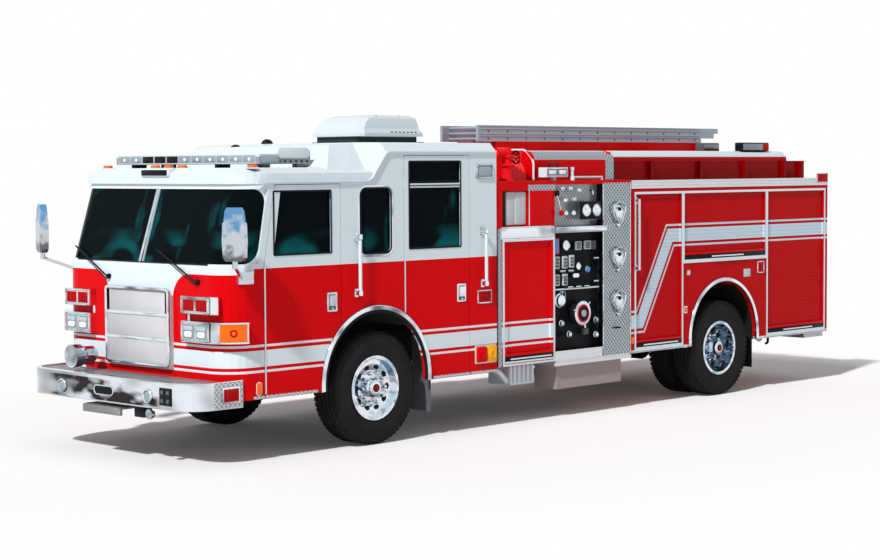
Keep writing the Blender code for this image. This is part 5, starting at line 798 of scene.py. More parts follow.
@dataclass(frozen=True)
class WheelFinish:
    """Polished alloy wheel with painted reflections of sky, horizon and ground, and bluish patches of painted sky
    reflection.
    """

    name: str = "polished_wheel"

    def make(self) -> Material:
        """Build the material, or find it if it was built before.

        Returns:
            The material.
        """
        if self.name in bpy.data.materials:
            return bpy.data.materials[self.name]
        surface = Surface(self.name)
        # Painted reflection: bluish patches of sky over the painted reflections of sky, horizon and ground.
        painted_blue_reflection = ((surface.noise(5.0, 2.0, (1.0, 0.3, 1.0)) - 0.5) * 8.0).clamped()
        metal = surface.mirrored((0.62, 0.76, 0.88), (0.22, 0.24, 0.27), 9.0)
        surface.set("Base Color", surface.blend(painted_blue_reflection * 0.6, metal, (0.2, 0.36, 0.56)))
        surface.set("Metallic", 1.0)
        surface.set("Roughness", surface.noise(20.0, 2.0) * 0.1 + 0.05)
        surface.raise_by(surface.noise(90.0, 1.0), 0.0001)
        return surface.material


# ---- Modelling bench


def clear_selection() -> None:
    """Deselect everything, so that the next operator acts on its own piece only."""
    for item in bpy.context.selected_objects:
        item.select_set(False)
    bpy.context.view_layer.objects.active = None


def start_edit() -> None:
    """Fix the active piece's place and size, and edit it with all of it selected."""
    bpy.ops.object.transform_apply()
    bpy.ops.object.mode_set(mode="EDIT")
    bpy.ops.mesh.select_all(action="SELECT")


def end_edit() -> None:
    """Turn every face outward and stop editing."""
    bpy.ops.mesh.select_all(action="SELECT")
    bpy.ops.mesh.normals_make_consistent(inside=False)
    bpy.ops.object.mode_set(mode="OBJECT")


def circle(centre: Point, radius: float, steps: int, upright: bool = True) -> list[Point]:
    """Lay out points round a circle.

    Args:
        centre: its middle.
        radius: its radius.
        steps: how many points.
        upright: whether it faces sideways, as a wheel does, or else forward.

    Returns:
        The points.
    """
    x, y, z = centre
    sweep = [(radius * math.cos(a), radius * math.sin(a)) for a in (math.tau * step / steps for step in range(steps))]
    return [(x + u, y, z + v) if upright else (x, y + u, z + v) for u, v in sweep]


def edge_matrix(origin: Point, along_u: Point, along_v: Point) -> Matrix:
    """Matrix that lays a flat drawing in space.

    Args:
        origin: where the drawing's origin goes.
        along_u: direction of its first axis.
        along_v: direction of its second axis.

    Returns:
        The matrix, whose third axis is the face's outward normal.
    """
    u, v = Vector(along_u).normalized(), Vector(along_v).normalized()
    w = u.cross(v)
    return Matrix(((u.x, v.x, w.x, origin[0]), (u.y, v.y, w.y, origin[1]), (u.z, v.z, w.z, origin[2]), (0, 0, 0, 1)))


def left_face(y: float = -SIDE) -> Matrix:
    """Drawing plane on the left side: X and Z, outward to the left."""
    return edge_matrix((0, y, 0), REARWARD, UP)


def front_face(x: float) -> Matrix:
    """Drawing plane that faces forward: -Y and Z."""
    return edge_matrix((x, 0, 0), OUTWARD, UP)


def rear_face(x: float) -> Matrix:
    """Drawing plane that faces rearward: Y and Z."""
    return edge_matrix((x, 0, 0), INWARD, UP)


def rounded_path(points: Sequence[Point], radius: float, steps: int = 5) -> list[Vector]:
    """Round the corners of a path.

    Args:
        points: corners of the path.
        radius: distance from each corner at which its curve starts.
        steps: points in each curve.

    Returns:
        The rounded path.
    """
    path = [Vector(point) for point in points]
    result = [path[0]]
    for before, corner, after in zip(path, path[1:], path[2:]):
        start = corner + (before - corner).normalized() * radius
        end = corner + (after - corner).normalized() * radius
        for step in range(steps + 1):
            share = step / steps
            result.append(start * (1 - share) ** 2 + corner * 2 * share * (1 - share) + end * share ** 2)
    return result + [path[-1]]


@dataclass(kw_only=True)
class Kit:
    """A sub-assembly's bench: its pieces are modelled here, then joined by finish and body."""

    body: str = "chassis"
    stock: dict[tuple[str, str], list[Piece]] = field(default_factory=dict)
    finishes: dict[str, Finish] = field(default_factory=dict)

    def keep(self, piece: Piece, finish: Finish, body: Optional[str] = None) -> Piece:
        """Give a piece its finish and put it in stock.

        Args:
            piece: the modelled piece.
            finish: its finish.
            body: body that it rides on.

        Returns:
            The piece.
        """
        piece.data.materials.clear()
        piece.data.materials.append(finish.make())
        self.finishes[finish.name] = finish
        self.stock.setdefault((finish.name, body or self.body), []).append(piece)
        return piece

    def copy(self, piece: Piece, finish: Finish, matrices: Iterable[Matrix],
             body: Optional[str] = None) -> None:
        """Lay out copies of a piece, each with its own mesh.

        Args:
            piece: the piece to repeat.
            finish: finish of the copies.
            matrices: how each copy is moved from the piece's place.
            body: body that they ride on.
        """
        for matrix in matrices:
            twin = piece.copy()
            twin.data = piece.data.copy()
            twin.data.transform(matrix)
            if matrix.determinant() < 0:
                twin.data.flip_normals()
            bpy.context.collection.objects.link(twin)
            self.keep(twin, finish, body)

    def box(self, finish: Finish, low: Point, high: Point, bevel: float = 0.004, body: Optional[str] = None,
            segments: int = 2) -> Piece:
        """Model a block with rounded edges.

        Args:
            finish: its finish.
            low: one corner.
            high: the opposite corner.
            bevel: width of the rounding.
            body: body that it rides on.
            segments: steps in the rounding.

        Returns:
            The piece.
        """
        size = [abs(b - a) for a, b in zip(low, high)]
        clear_selection()
        bpy.ops.mesh.primitive_cube_add(size=1, location=[(a + b) / 2 for a, b in zip(low, high)], scale=size)
        start_edit()
        bpy.ops.mesh.bevel(offset=min(bevel, min(size) * 0.4), segments=segments, affect="EDGES")
        bpy.ops.object.mode_set(mode="OBJECT")
        return self.keep(bpy.context.object, finish, body)

    def panel(self, finish: Finish, face: Matrix, rect: Point, thick: float, corner: float = 0.0,
              bevel: float = 0.002, lift: float = 0.0, hollow: float = 0.0, body: Optional[str] = None) \
            -> Piece:
        """Model a flat panel or frame on a face.

        Args:
            finish: its finish.
            face: drawing plane.
            rect: low and high first coordinate and second coordinate, as (u0, v0, u1, v1).
            thick: how far it stands out.
            corner: corner radius.
            bevel: rounding of its front edges.
            lift: height of its back above the drawing plane.
            hollow: width of the frame, or nought for a full panel.
            body: body that it rides on.

        Returns:
            The piece.
        """
        u0, v0, u1, v1 = rect
        clear_selection()
        bpy.ops.mesh.primitive_plane_add(size=1, location=((u0 + u1) / 2, (v0 + v1) / 2, lift))
        piece = bpy.context.object
        piece.scale = (abs(u1 - u0), abs(v1 - v0), 1)
        start_edit()
        if corner:
            bpy.ops.mesh.bevel(offset=corner, segments=5, affect="VERTICES")
            bpy.ops.mesh.select_all(action="SELECT")
        if hollow:
            bpy.ops.mesh.inset(thickness=hollow)
            bpy.ops.mesh.delete(type="FACE")
            bpy.ops.mesh.select_all(action="SELECT")
        bpy.ops.mesh.extrude_region_move(TRANSFORM_OT_translate={"value": (0, 0, thick)})
        if bevel:
            bpy.ops.mesh.region_to_loop()
            bpy.ops.mesh.bevel(offset=min(bevel, thick * 0.8), segments=2, affect="EDGES")
        end_edit()
        piece.data.transform(face)
        return self.keep(piece, finish, body)

    def turned(self, finish: Finish, centre: Point, axis: Point, rings: Sequence[tuple[float, float]],
               sides: int = 32, body: Optional[str] = None) -> Piece:
        """Model a round piece by extruding and resizing a disc.

        Args:
            finish: its finish.
            centre: point on its axis.
            axis: direction of its axis.
            rings: distance along the axis and radius of each ring, from its back to its front.
            sides: number of facets.
            body: body that it rides on.

        Returns:
            The piece.
        """
        middle, along = Vector(centre), Vector(axis).normalized()
        turn = along.to_track_quat("Z", "Y").to_euler()
        clear_selection()
        bpy.ops.mesh.primitive_circle_add(
            vertices=sides, radius=rings[0][1], fill_type="NGON", location=middle + along * rings[0][0], rotation=turn)
        start_edit()
        for (start, radius), (end, wider) in zip(rings, rings[1:]):
            bpy.ops.mesh.extrude_region_move(TRANSFORM_OT_translate={"value": along * (end - start)})
            grow = wider / radius
            bpy.ops.transform.resize(value=(grow, grow, grow), center_override=middle + along * end)
        end_edit()
        return self.keep(bpy.context.object, finish, body)

    def rod(self, finish: Finish, points: Sequence[Point], radius: float, body: Optional[str] = None,
            resolution: int = 3, closed: bool = False) -> Piece:
        """Model a tube along a path.

        Args:
            finish: its finish.
            points: the path.
            radius: the tube's radius.
            body: body that it rides on.
            resolution: roundness of its section.
            closed: whether the path returns to its start.

        Returns:
            The piece.
        """
        line = bpy.data.curves.new("tube", "CURVE")
        line.dimensions = "3D"
        line.bevel_depth = radius
        line.bevel_resolution = resolution
        line.use_fill_caps = True
        spline = line.splines.new("POLY")
        spline.points.add(len(points) - 1)
        for slot, point in zip(spline.points, points):
            slot.co = (*point, 1)
        spline.use_cyclic_u = closed
        piece = bpy.data.objects.new("tube", line)
        bpy.context.collection.objects.link(piece)
        clear_selection()
        piece.select_set(True)
        bpy.context.view_layer.objects.active = piece
        bpy.ops.object.convert(target="MESH")
        piece = bpy.context.object
        mesh = bmesh.new()
        mesh.from_mesh(piece.data)
        bmesh.ops.remove_doubles(mesh, verts=mesh.verts, dist=0.00002)
        bmesh.ops.recalc_face_normals(mesh, faces=mesh.faces)
        mesh.to_mesh(piece.data)
        mesh.free()
        return self.keep(piece, finish, body)

    def arc(self, finish: Finish, centre: Point, radius: float, width: float, depth: float, start: float,
            sweep: float, steps: int = 40, body: Optional[str] = None) -> Piece:
        """Model a curved strip round a sideways axis with the spin tool.

        Args:
            finish: its finish.
            centre: point on the axis, at the strip's middle.
            radius: inner radius.
            width: radial width.
            depth: sideways width.
            start: angle of its first end above the forward direction.
            sweep: angle that it covers.
            steps: facets along it.
            body: body that it rides on.

        Returns:
            The piece.
        """
        middle = Vector(centre)
        out = Vector((-math.cos(start), 0, math.sin(start)))
        turn = edge_matrix((0, 0, 0), out, (0, 1, 0)).to_euler()
        clear_selection()
        bpy.ops.mesh.primitive_plane_add(size=1, location=middle + out * (radius + width / 2), rotation=turn)
        piece = bpy.context.object
        piece.scale = (width, depth, 1)
        start_edit()
        bpy.ops.mesh.bevel(offset=min(width, depth) * 0.3, segments=3, affect="VERTICES")
        bpy.ops.mesh.select_all(action="SELECT")
        bpy.ops.mesh.spin(steps=steps, angle=-sweep, center=middle, axis=(0, 1, 0))
        bpy.ops.mesh.select_all(action="SELECT")
        bpy.ops.mesh.remove_doubles(threshold=0.0001)
        bpy.ops.mesh.normals_make_consistent(inside=False)
        bpy.ops.object.mode_set(mode="OBJECT")
        return self.keep(piece, finish, body)

    def mirror(self) -> None:
        """Repeat every piece in stock on the other side of the vehicle."""
        for (name, body), pieces in list(self.stock.items()):
            twin_body = body.replace("_left", "_right")
            for piece in list(pieces):
                self.copy(piece, self.finishes[name], (OTHER_SIDE,), twin_body)

    def plates(self, face: Matrix, *rows: Sequence[Any], body: Optional[str] = None) -> None:
        """Model panels from rows of finish, two corners as station and height, and panel()'s sizes in order."""
        for finish, start, low, end, high, *sizes in rows:
            self.panel(finish, face, (at(start), low, at(end), high), *sizes, body=body)

    def close(self, name: str) -> None:
        """Join the stock by finish and body, smooth it, and hand each piece to its body.

        Args:
            name: first word of the pieces' names.
        """
        for (finish, body), pieces in self.stock.items():
            clear_selection()
            for piece in pieces:
                piece.select_set(True)
            bpy.context.view_layer.objects.active = pieces[0]
            if len(pieces) > 1:
                bpy.ops.object.join()
            whole = bpy.context.view_layer.objects.active
            whole.name = f"{name}.{finish}.{body}"
            bpy.ops.object.shade_smooth_by_angle(angle=SMOOTH_ANGLE)
            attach(whole, body)
            LOG.info("%s: %d faces on %s", whole.name, len(whole.data.polygons), body)
        self.stock.clear()


# ---- Studio


@dataclass(frozen=True)
class Studio:
    """Camera, soft light and pale floor."""

    eye: Point = (-15.1203, -14.3003, 2.6026)
    forward: Point = (0.71256996, 0.69916071, -0.05846664)
    roll: float = -0.0057
    lens: float = 79.41
    sky_strength: float = 0.28
    sun_strength: float = 3.3
    sun_from: Point = (-0.69, -0.21, 0.7)
    floor_lift: float = 0.03

    def camera(self) -> None:
        """Set up the camera at the photograph's place."""
        data = bpy.data.cameras.new("camera")
        data.lens, data.sensor_width, data.clip_end = self.lens, 36, 400
        camera = bpy.data.objects.new("camera", data)
        bpy.context.collection.objects.link(camera)
        turn = Vector(self.forward).to_track_quat("-Z", "Y").to_matrix() @ Matrix.Rotation(self.roll, 3, "Z")
        camera.matrix_world = Matrix.Translation(self.eye) @ turn.to_4x4()
        bpy.context.scene.camera = camera

    def sky(self) -> None:
        """Set up an even sky that looks white and lights plainly."""
        world = bpy.data.worlds.new("plain_sky")
        bpy.context.scene.world = world
        world.use_nodes = True
        tree = world.node_tree
        back = tree.nodes["Background"]
        back.inputs["Color"].default_value = (1.0, 1.0, 1.0, 1)
        path = tree.nodes.new("ShaderNodeLightPath")
        seen = Field(tree, path.outputs["Is Camera Ray"]).either(Field(tree, path.outputs["Is Glossy Ray"]))
        seen = seen.either(Field(tree, path.outputs["Is Transmission Ray"]))
        level = seen * (1 - self.sky_strength) + self.sky_strength
        tree.links.new(level.socket, back.inputs["Strength"])

    def lamps(self) -> None:
        """Set up one soft sun from the front left."""
        data = bpy.data.lights.new("soft_sun", "SUN")
        data.energy, data.angle = self.sun_strength, math.radians(3)
        lamp = bpy.data.objects.new("soft_sun", data)
        bpy.context.collection.objects.link(lamp)
        lamp.matrix_world = (-Vector(self.sun_from)).to_track_quat("-Z", "Y").to_matrix().to_4x4()

    def floor(self) -> None:
        """Lay a pale floor that turns to plain white away from the vehicle."""
        clear_selection()
        bpy.ops.mesh.primitive_circle_add(vertices=96, radius=120, fill_type="NGON", location=(0, 0, 0))
        floor = bpy.context.object
        floor.name = "floor"
        surface = Surface("pale_floor")
        path = surface.tree.nodes.new("ShaderNodeLightPath")
        away = (surface.x * surface.x * 0.45 + surface.y * surface.y).math("POWER", 0.5)
        far = ((away - 4.2) * 0.45).clamped()
        grain = surface.noise(26.0, 4.0)
        surface.set("Base Color", surface.blend(grain, (0.88, 0.88, 0.89), (0.95, 0.95, 0.96)))
        surface.set("Roughness", 0.9)
        surface.set("Emission Color", (1.0, 1.0, 1.0))
        surface.set("Emission Strength", Field(surface.tree, path.outputs["Is Camera Ray"]) * self.floor_lift)
        glow = surface.tree.nodes.new("ShaderNodeEmission")
        mix = surface.tree.nodes.new("ShaderNodeMixShader")
        output = surface.tree.nodes["Material Output"]
        mask = far * Field(surface.tree, path.outputs["Is Camera Ray"])
        surface.tree.links.new(mask.socket, mix.inputs[0])
        surface.tree.links.new(surface.shader.outputs[0], mix.inputs[1])
        surface.tree.links.new(glow.outputs[0], mix.inputs[2])
        surface.tree.links.new(mix.outputs[0], output.inputs["Surface"])
        floor.data.materials.append(surface.material)

    def build(self) -> None:
        """Set up the whole studio."""
        self.camera()
        self.sky()
        self.lamps()
        self.floor()
        bpy.context.scene.view_settings.view_transform = "Standard"


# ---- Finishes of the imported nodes


@dataclass(frozen=True)
class NodeDressing:
    """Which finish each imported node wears."""

    def plain(self) -> dict[str, Finish]:
        """Finishes of nodes that are one substance, by the start of their names.

        Returns:
            Name starts and finishes.
        """
        return {
            "cab_floor": GREY_PLASTIC, "crew_seats": SEAT_CLOTH,
            "dashboard": GREY_PLASTIC, "deck_pipe": PIPE_RED, "driver_seat": SEAT_CLOTH, "engine": BLACK_STEEL,
            "floodlight": WHITE_PAINT, "frame": BLACK_STEEL, "front_axle": BLACK_STEEL,
            "front_lamps": CHROME, "hose_reel": RED_PAINT, "knuckle": BLACK_STEEL, "ladder_cradle": RED_PAINT,
            "ladders": LADDER_ALLOY,
            "officer_seat": SEAT_CLOTH, "rear_axle": BLACK_STEEL, "rear_panel": RED_PAINT, "rear_step": TREAD_PLATE,
            "siren": CHROME,
        }

    def apply(self, nodes: dict[str, Piece]) -> None:
        """Dress every node.

        Args:
            nodes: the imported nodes' objects by name.
        """
        body, cab, wheel = BodyLivery().make(), CabLivery().make(), WheelFinish().make()
        slats = BodyLivery(name="shutter_livery", slat=SLAT_PITCH).make()
        glass = GlassFinish().make()
        axles = (("tyre_front", at(0.0)), ("tyre_rear", at(REAR_AXLE_AT)))
        tyres = {start: TyreFinish(f"{start}_rubber", x).make() for start, x in axles}
        special = tyres | {
            "front_door_glass": glass, "rear_door_glass": glass, "side_glass": glass,
            "windshield": GlassFinish("windshield_glass", corner=0.14).make(),
            "bumper": BumperFinish().make(), "mirror": MirrorFinish().make(),
            "bumper_deck": STEP_SCREEN.make(),
            "body_shell": body, "side_shutters": slats, "cab_shell": cab, "front_door": cab, "rear_door": cab,
            "pump_house": PumpLivery().make(), "wheel_": wheel,
            "air_conditioner": TwoToneFinish("roof_unit_shell", INSIDE, (0.62, 0.69, 0.73), 2.9, 0.0).make(),
            "light_bar": TwoToneFinish("light_bar_shell", (0.3, 0.33, 0.36), (0.66, 0.72, 0.75), 2.698, 0.0).make(),
            "grille": MESH_SCREEN.make(), "hosebed_cover": CoverLivery().make(),
            "pump_panel": TwoToneFinish("pump_panel_shell", (0.012, 0.012, 0.014), (0.6, 0.65, 0.68), 1.95, 0.4,
                                        treaded=True).make(),
            "running_boards": TwoToneFinish("board_shell", (0.34, 0.28, 0.27), (0.6, 0.62, 0.64), 0.54, 0.5).make(),
        }
        looks = {start: finish.make() for start, finish in self.plain().items()} | special
        for name, node in nodes.items():
            start = max((key for key in looks if name.startswith(key)), key=len)
            node.data.materials.clear()
            node.data.materials.append(looks[start])
        LOG.info("dressed %d nodes", len(nodes))


# ---- Front end


@dataclass
class FrontEnd(Kit):
    """Bumper fittings, grille trim, lamp lenses, wipers and windshield trim."""

    bumper_front_at: float = -2.22
    bumper_low: float = 0.508
    bumper_top: float = 0.748
    wing_front_at: float = -1.94
    wing_rear_at: float = -1.64
    cab_front_at: float = -1.8
    lamp_face_x: float = -4.512
    grille_half: float = 0.478
    grille_low: float = 0.81
    grille_top: float = 1.53
    bars: Point = (1.06, 1.285)
    turn_path: tuple[Point, ...] = ((-4.466, -1.145), (-4.412, -1.216), (-4.341, -1.27), (-4.259, -1.304))

    def bumper(self) -> None:
        """Model the bumper's lamps, tow hole, socket box, corner plates and tray."""
        face = front_face(at(self.bumper_front_at))
        nose = at(self.bumper_front_at)
        for y in (-0.645, 0.645):
            self.turned(
                CHROME, (nose, y, 0.61), AHEAD, ((-0.01, 0.066), (0.01, 0.066), (0.016, 0.06), (0.016, 0.052),
                (0.004, 0.044)))
            self.turned(
                CLEAR_LENS, (nose, y, 0.61), AHEAD, ((0.002, 0.046), (0.01, 0.044), (0.016, 0.03), (0.018, 0.01)))
        self.panel(CHROME, face, (-0.15, 0.566, 0.15, 0.662), 0.01, corner=0.046, bevel=0.004, hollow=0.014)
        self.panel(BLACK_GLOSS, face, (-0.136, 0.58, 0.136, 0.648), 0.002, corner=0.033, bevel=0.0)
        self.panel(BLACK_GLOSS, face, (0.815, 0.545, 0.985, 0.7), 0.006, corner=0.006)
        for u in (0.822, 0.904):
            for v in (0.552, 0.627):
                self.panel(BLACK_STEEL, face, (u, v, u + 0.074, v + 0.067), 0.006, corner=0.006, lift=0.006)
                self.panel(GREY_PLASTIC, face, (u + 0.02, v + 0.018, u + 0.054, v + 0.049), 0.003, lift=0.012)
        for edge in (self.bumper_top - 0.01, self.bumper_low):
            self.box(CHROME, (nose - 0.006, -0.98, edge), (nose + 0.004, 0.98, edge + 0.01), 0.003)
        step = front_face(nose + 0.03)
        self.panel(STEP_SCREEN, step, (-0.33, 0.4, 0.23, 0.47), 0.03, corner=0.008)
        self.box(STEP_SCREEN, (nose + 0.03, -0.23, 0.452), (nose + 0.36, 0.33, 0.474), 0.006)
        self.box(BLACK_STEEL, (nose + 0.06, -0.5, 0.4), (nose + 0.16, -0.36, 0.5), 0.01)
        self.turned(
            CHROME, (nose + 0.03, -0.68, 0.455), AHEAD, ((0, 0.03), (0.03, 0.045), (0.05, 0.045), (0.052, 0.03)))
        bolt = self.turned(
            CHROME, (nose + 0.1, -0.9, self.bumper_top - 0.012), UP, ((0, 0.011), (0.004, 0.011), (0.007, 0.008)),
            sides=6)
        places = [(0.0, 0.36), (0.0, 0.72), (0.0, 1.08), (0.0, 1.44), (0.0, 1.8), (0.2, 0.1), (0.2, 1.7)]
        self.copy(bolt, CHROME, [Matrix.Translation((dx, dy, 0)) for dx, dy in places])

    def corners(self) -> None:
        """Model the plates and marker lamps on the bumper's left corner, to be mirrored."""
        face = left_face()
        front, rear = at(self.wing_front_at), at(self.wing_rear_at)
        self.panel(TREAD_PLATE, face, (front - 0.02, self.bumper_low + 0.006, rear, self.bumper_top - 0.006), 0.003)
        self.panel(CHROME, face, (front + 0.06, 0.556, rear - 0.045, 0.7), 0.012, corner=0.008, lift=0.003)
        for index in range(4):
            u = front + 0.074 + index * 0.043
            self.panel(RED_LENS, face, (u, 0.572, u + 0.038, 0.684), 0.01, corner=0.004, lift=0.01)

    def siren(self) -> None:
        """Model the siren's ringed face."""
        low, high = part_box("siren")
        centre = (low[0], (low[1] + high[1]) / 2, (low[2] + high[2]) / 2 + 0.008)
        radius = (high[1] - low[1]) / 2
        for share in (0.92, 0.7, 0.5, 0.32, 0.15):
            ring = radius * share
            loop = circle((centre[0] + 0.002, *centre[1:]), ring, 28, upright=False)
            self.rod(CHROME, loop, 0.0045, resolution=1, closed=True)
        for step in range(8):
            a = math.tau * step / 8
            spoke = [
                (centre[0] + 0.004, centre[1] + radius * k * math.cos(a), centre[2] + radius * k * math.sin(a))
                for k in (0.1, 0.92)]
            self.rod(CHROME, spoke, 0.003, resolution=0)

    def grille(self) -> None:
        """Model the grille's polished frame and bars."""
        face = front_face(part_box("grille")[0][0])
        half, bottom, top = self.grille_half, self.grille_low, self.grille_top
        self.panel(CHROME, face, (-half, bottom, half, top), 0.018, corner=0.05, bevel=0.007, hollow=0.03, lift=-0.006)
        for height in self.bars:
            self.panel(
                CHROME, face, (-half + 0.02, height - 0.016, half - 0.02, height + 0.016), 0.014, bevel=0.006,
                lift=-0.008)
        levels = (bottom + 0.026, *self.bars, top - 0.026)
        for start, end in zip(levels, levels[1:]):
            self.panel(
                MESH_SCREEN, face, (-half + 0.026, start + 0.01, half - 0.026, end - 0.01), 0.006, lift=-0.006)

    def lamps(self) -> None:
        """Model the left lamp lenses and bezels, to be mirrored."""
        face = front_face(self.lamp_face_x)
        for low, high, lens in ((1.321, 1.473, RED_LENS), (1.076, 1.251, CLEAR_LENS)):
            self.panel(CHROME, face, (0.688, low, 1.075, high), 0.012, corner=0.014, bevel=0.005, hollow=0.016)
            for start in (0.706, 0.886):
                end = start + 0.17
                self.panel(CHROME, face, (start, low + 0.018, end, high - 0.018), 0.006, corner=0.01, hollow=0.008)
                self.panel(lens, face, (start + 0.006, low + 0.024, end - 0.006, high - 0.024), 0.006, corner=0.008)
                for slot in range(4):
                    u = start + 0.016 + slot * 0.036
                    self.panel(lens, face, (u, low + 0.032, u + 0.03, high - 0.032), 0.004, corner=0.004, lift=0.006)
                if lens is CLEAR_LENS:
                    self.panel(
                        LED, face, (start + 0.034, low + 0.04, end - 0.034, low + 0.092), 0.008, corner=0.02,
                        bevel=0.004, lift=0.008)
                    self.panel(
                        TRIM, face, (start + 0.022, low + 0.1, end - 0.022, high - 0.036), 0.008, corner=0.008,
                        bevel=0.004, lift=0.008)

    def turn_lamp(self) -> None:
        """Model the left turn lamp on the cab's corner, to be mirrored."""
        for index, (start, end) in enumerate(zip(self.turn_path, self.turn_path[1:])):
            along = Vector((end[0] - start[0], end[1] - start[1], 0))
            face = edge_matrix((*start, 0), along, UP)
            reach = along.length
            self.panel(AMBER_LENS, face, (-0.002, 1.082, reach + 0.002, 1.241), 0.01)
            for low, high in ((1.068, 1.084), (1.239, 1.255)):
                self.panel(CHROME, face, (-0.004, low, reach + 0.004, high), 0.014, bevel=0.003)
            if index != 1:
                edge = 0.0 if index == 0 else reach - 0.014
                self.panel(CHROME, face, (edge, 1.07, edge + 0.014, 1.253), 0.014, bevel=0.003)
            else:
                middle, out = face @ Vector((reach / 2, 1.161, 0.01)), face.col[2][:3]
                self.turned(RED_LENS, middle, out, ((0, 0.034), (0.007, 0.032), (0.002, 0.022)), sides=24)
                self.turned(AMBER_LENS, middle, out, ((0, 0.02), (0.008, 0.017)), sides=20)
            for row in range(5):
                self.panel(
                    AMBER_LENS, face, (0.006, 1.092 + row * 0.03, reach - 0.006, 1.112 + row * 0.03), 0.003, lift=0.009)

    def wipers(self) -> None:
        """Model the two wipers with their arms and blades."""
        x = at(self.cab_front_at)
        for pivot, tip in (((0.469, 1.605), (0.912, 1.82)), ((-0.843, 1.597), (-0.344, 1.819))):
            foot = (x - 0.028, pivot[0], pivot[1])
            head = (x + 0.004, tip[0], tip[1])
            self.turned(BLACK_GLOSS, (x, *pivot), AHEAD, ((-0.01, 0.026), (0.022, 0.024), (0.034, 0.016)), sides=16)
            self.rod(BLACK_GLOSS, (foot, head), 0.0075, resolution=1)
            self.rod(
                BLACK_GLOSS, ((foot[0], foot[1], foot[2] - 0.03), (head[0], head[1] - 0.05, head[2] - 0.05)), 0.004,
                resolution=1)
            along = (Vector(head) - Vector(foot)).normalized()
            blade = (Vector(head) - along * 0.3, Vector(head) + along * 0.12)
            self.rod(GASKET, blade, 0.009, resolution=0)

    def windshield(self) -> None:
        """Model the windshield's rubber surround and centre post."""
        lean = Vector((WINDSHIELD_LEAN, 0, 1)).normalized()
        foot = Vector((at(self.cab_front_at) - 0.004, 0, CAB_SPLIT))
        face = edge_matrix(foot, OUTWARD, lean)
        scale = 1 / lean.z
        low, high = (1.752 - CAB_SPLIT) * scale, (2.416 - CAB_SPLIT) * scale
        self.panel(CHROME, face, (-0.016, low, 0.016, high), 0.014, bevel=0.004)
        self.panel(GASKET, face, (-0.97, low - 0.006, 0.97, low + 0.006), 0.006)
        self.panel(GASKET, face, (-0.97, high - 0.006, 0.97, high + 0.006), 0.006)

    def build(self) -> None:
        """Model and hand over the front end."""
        self.corners()
        self.lamps()
        self.turn_lamp()
        self.mirror()
        self.close("front_pair")
        self.bumper()
        self.siren()
        self.grille()
        self.wipers()
        self.windshield()
        self.close("front")


# ---- Cab sides and roof


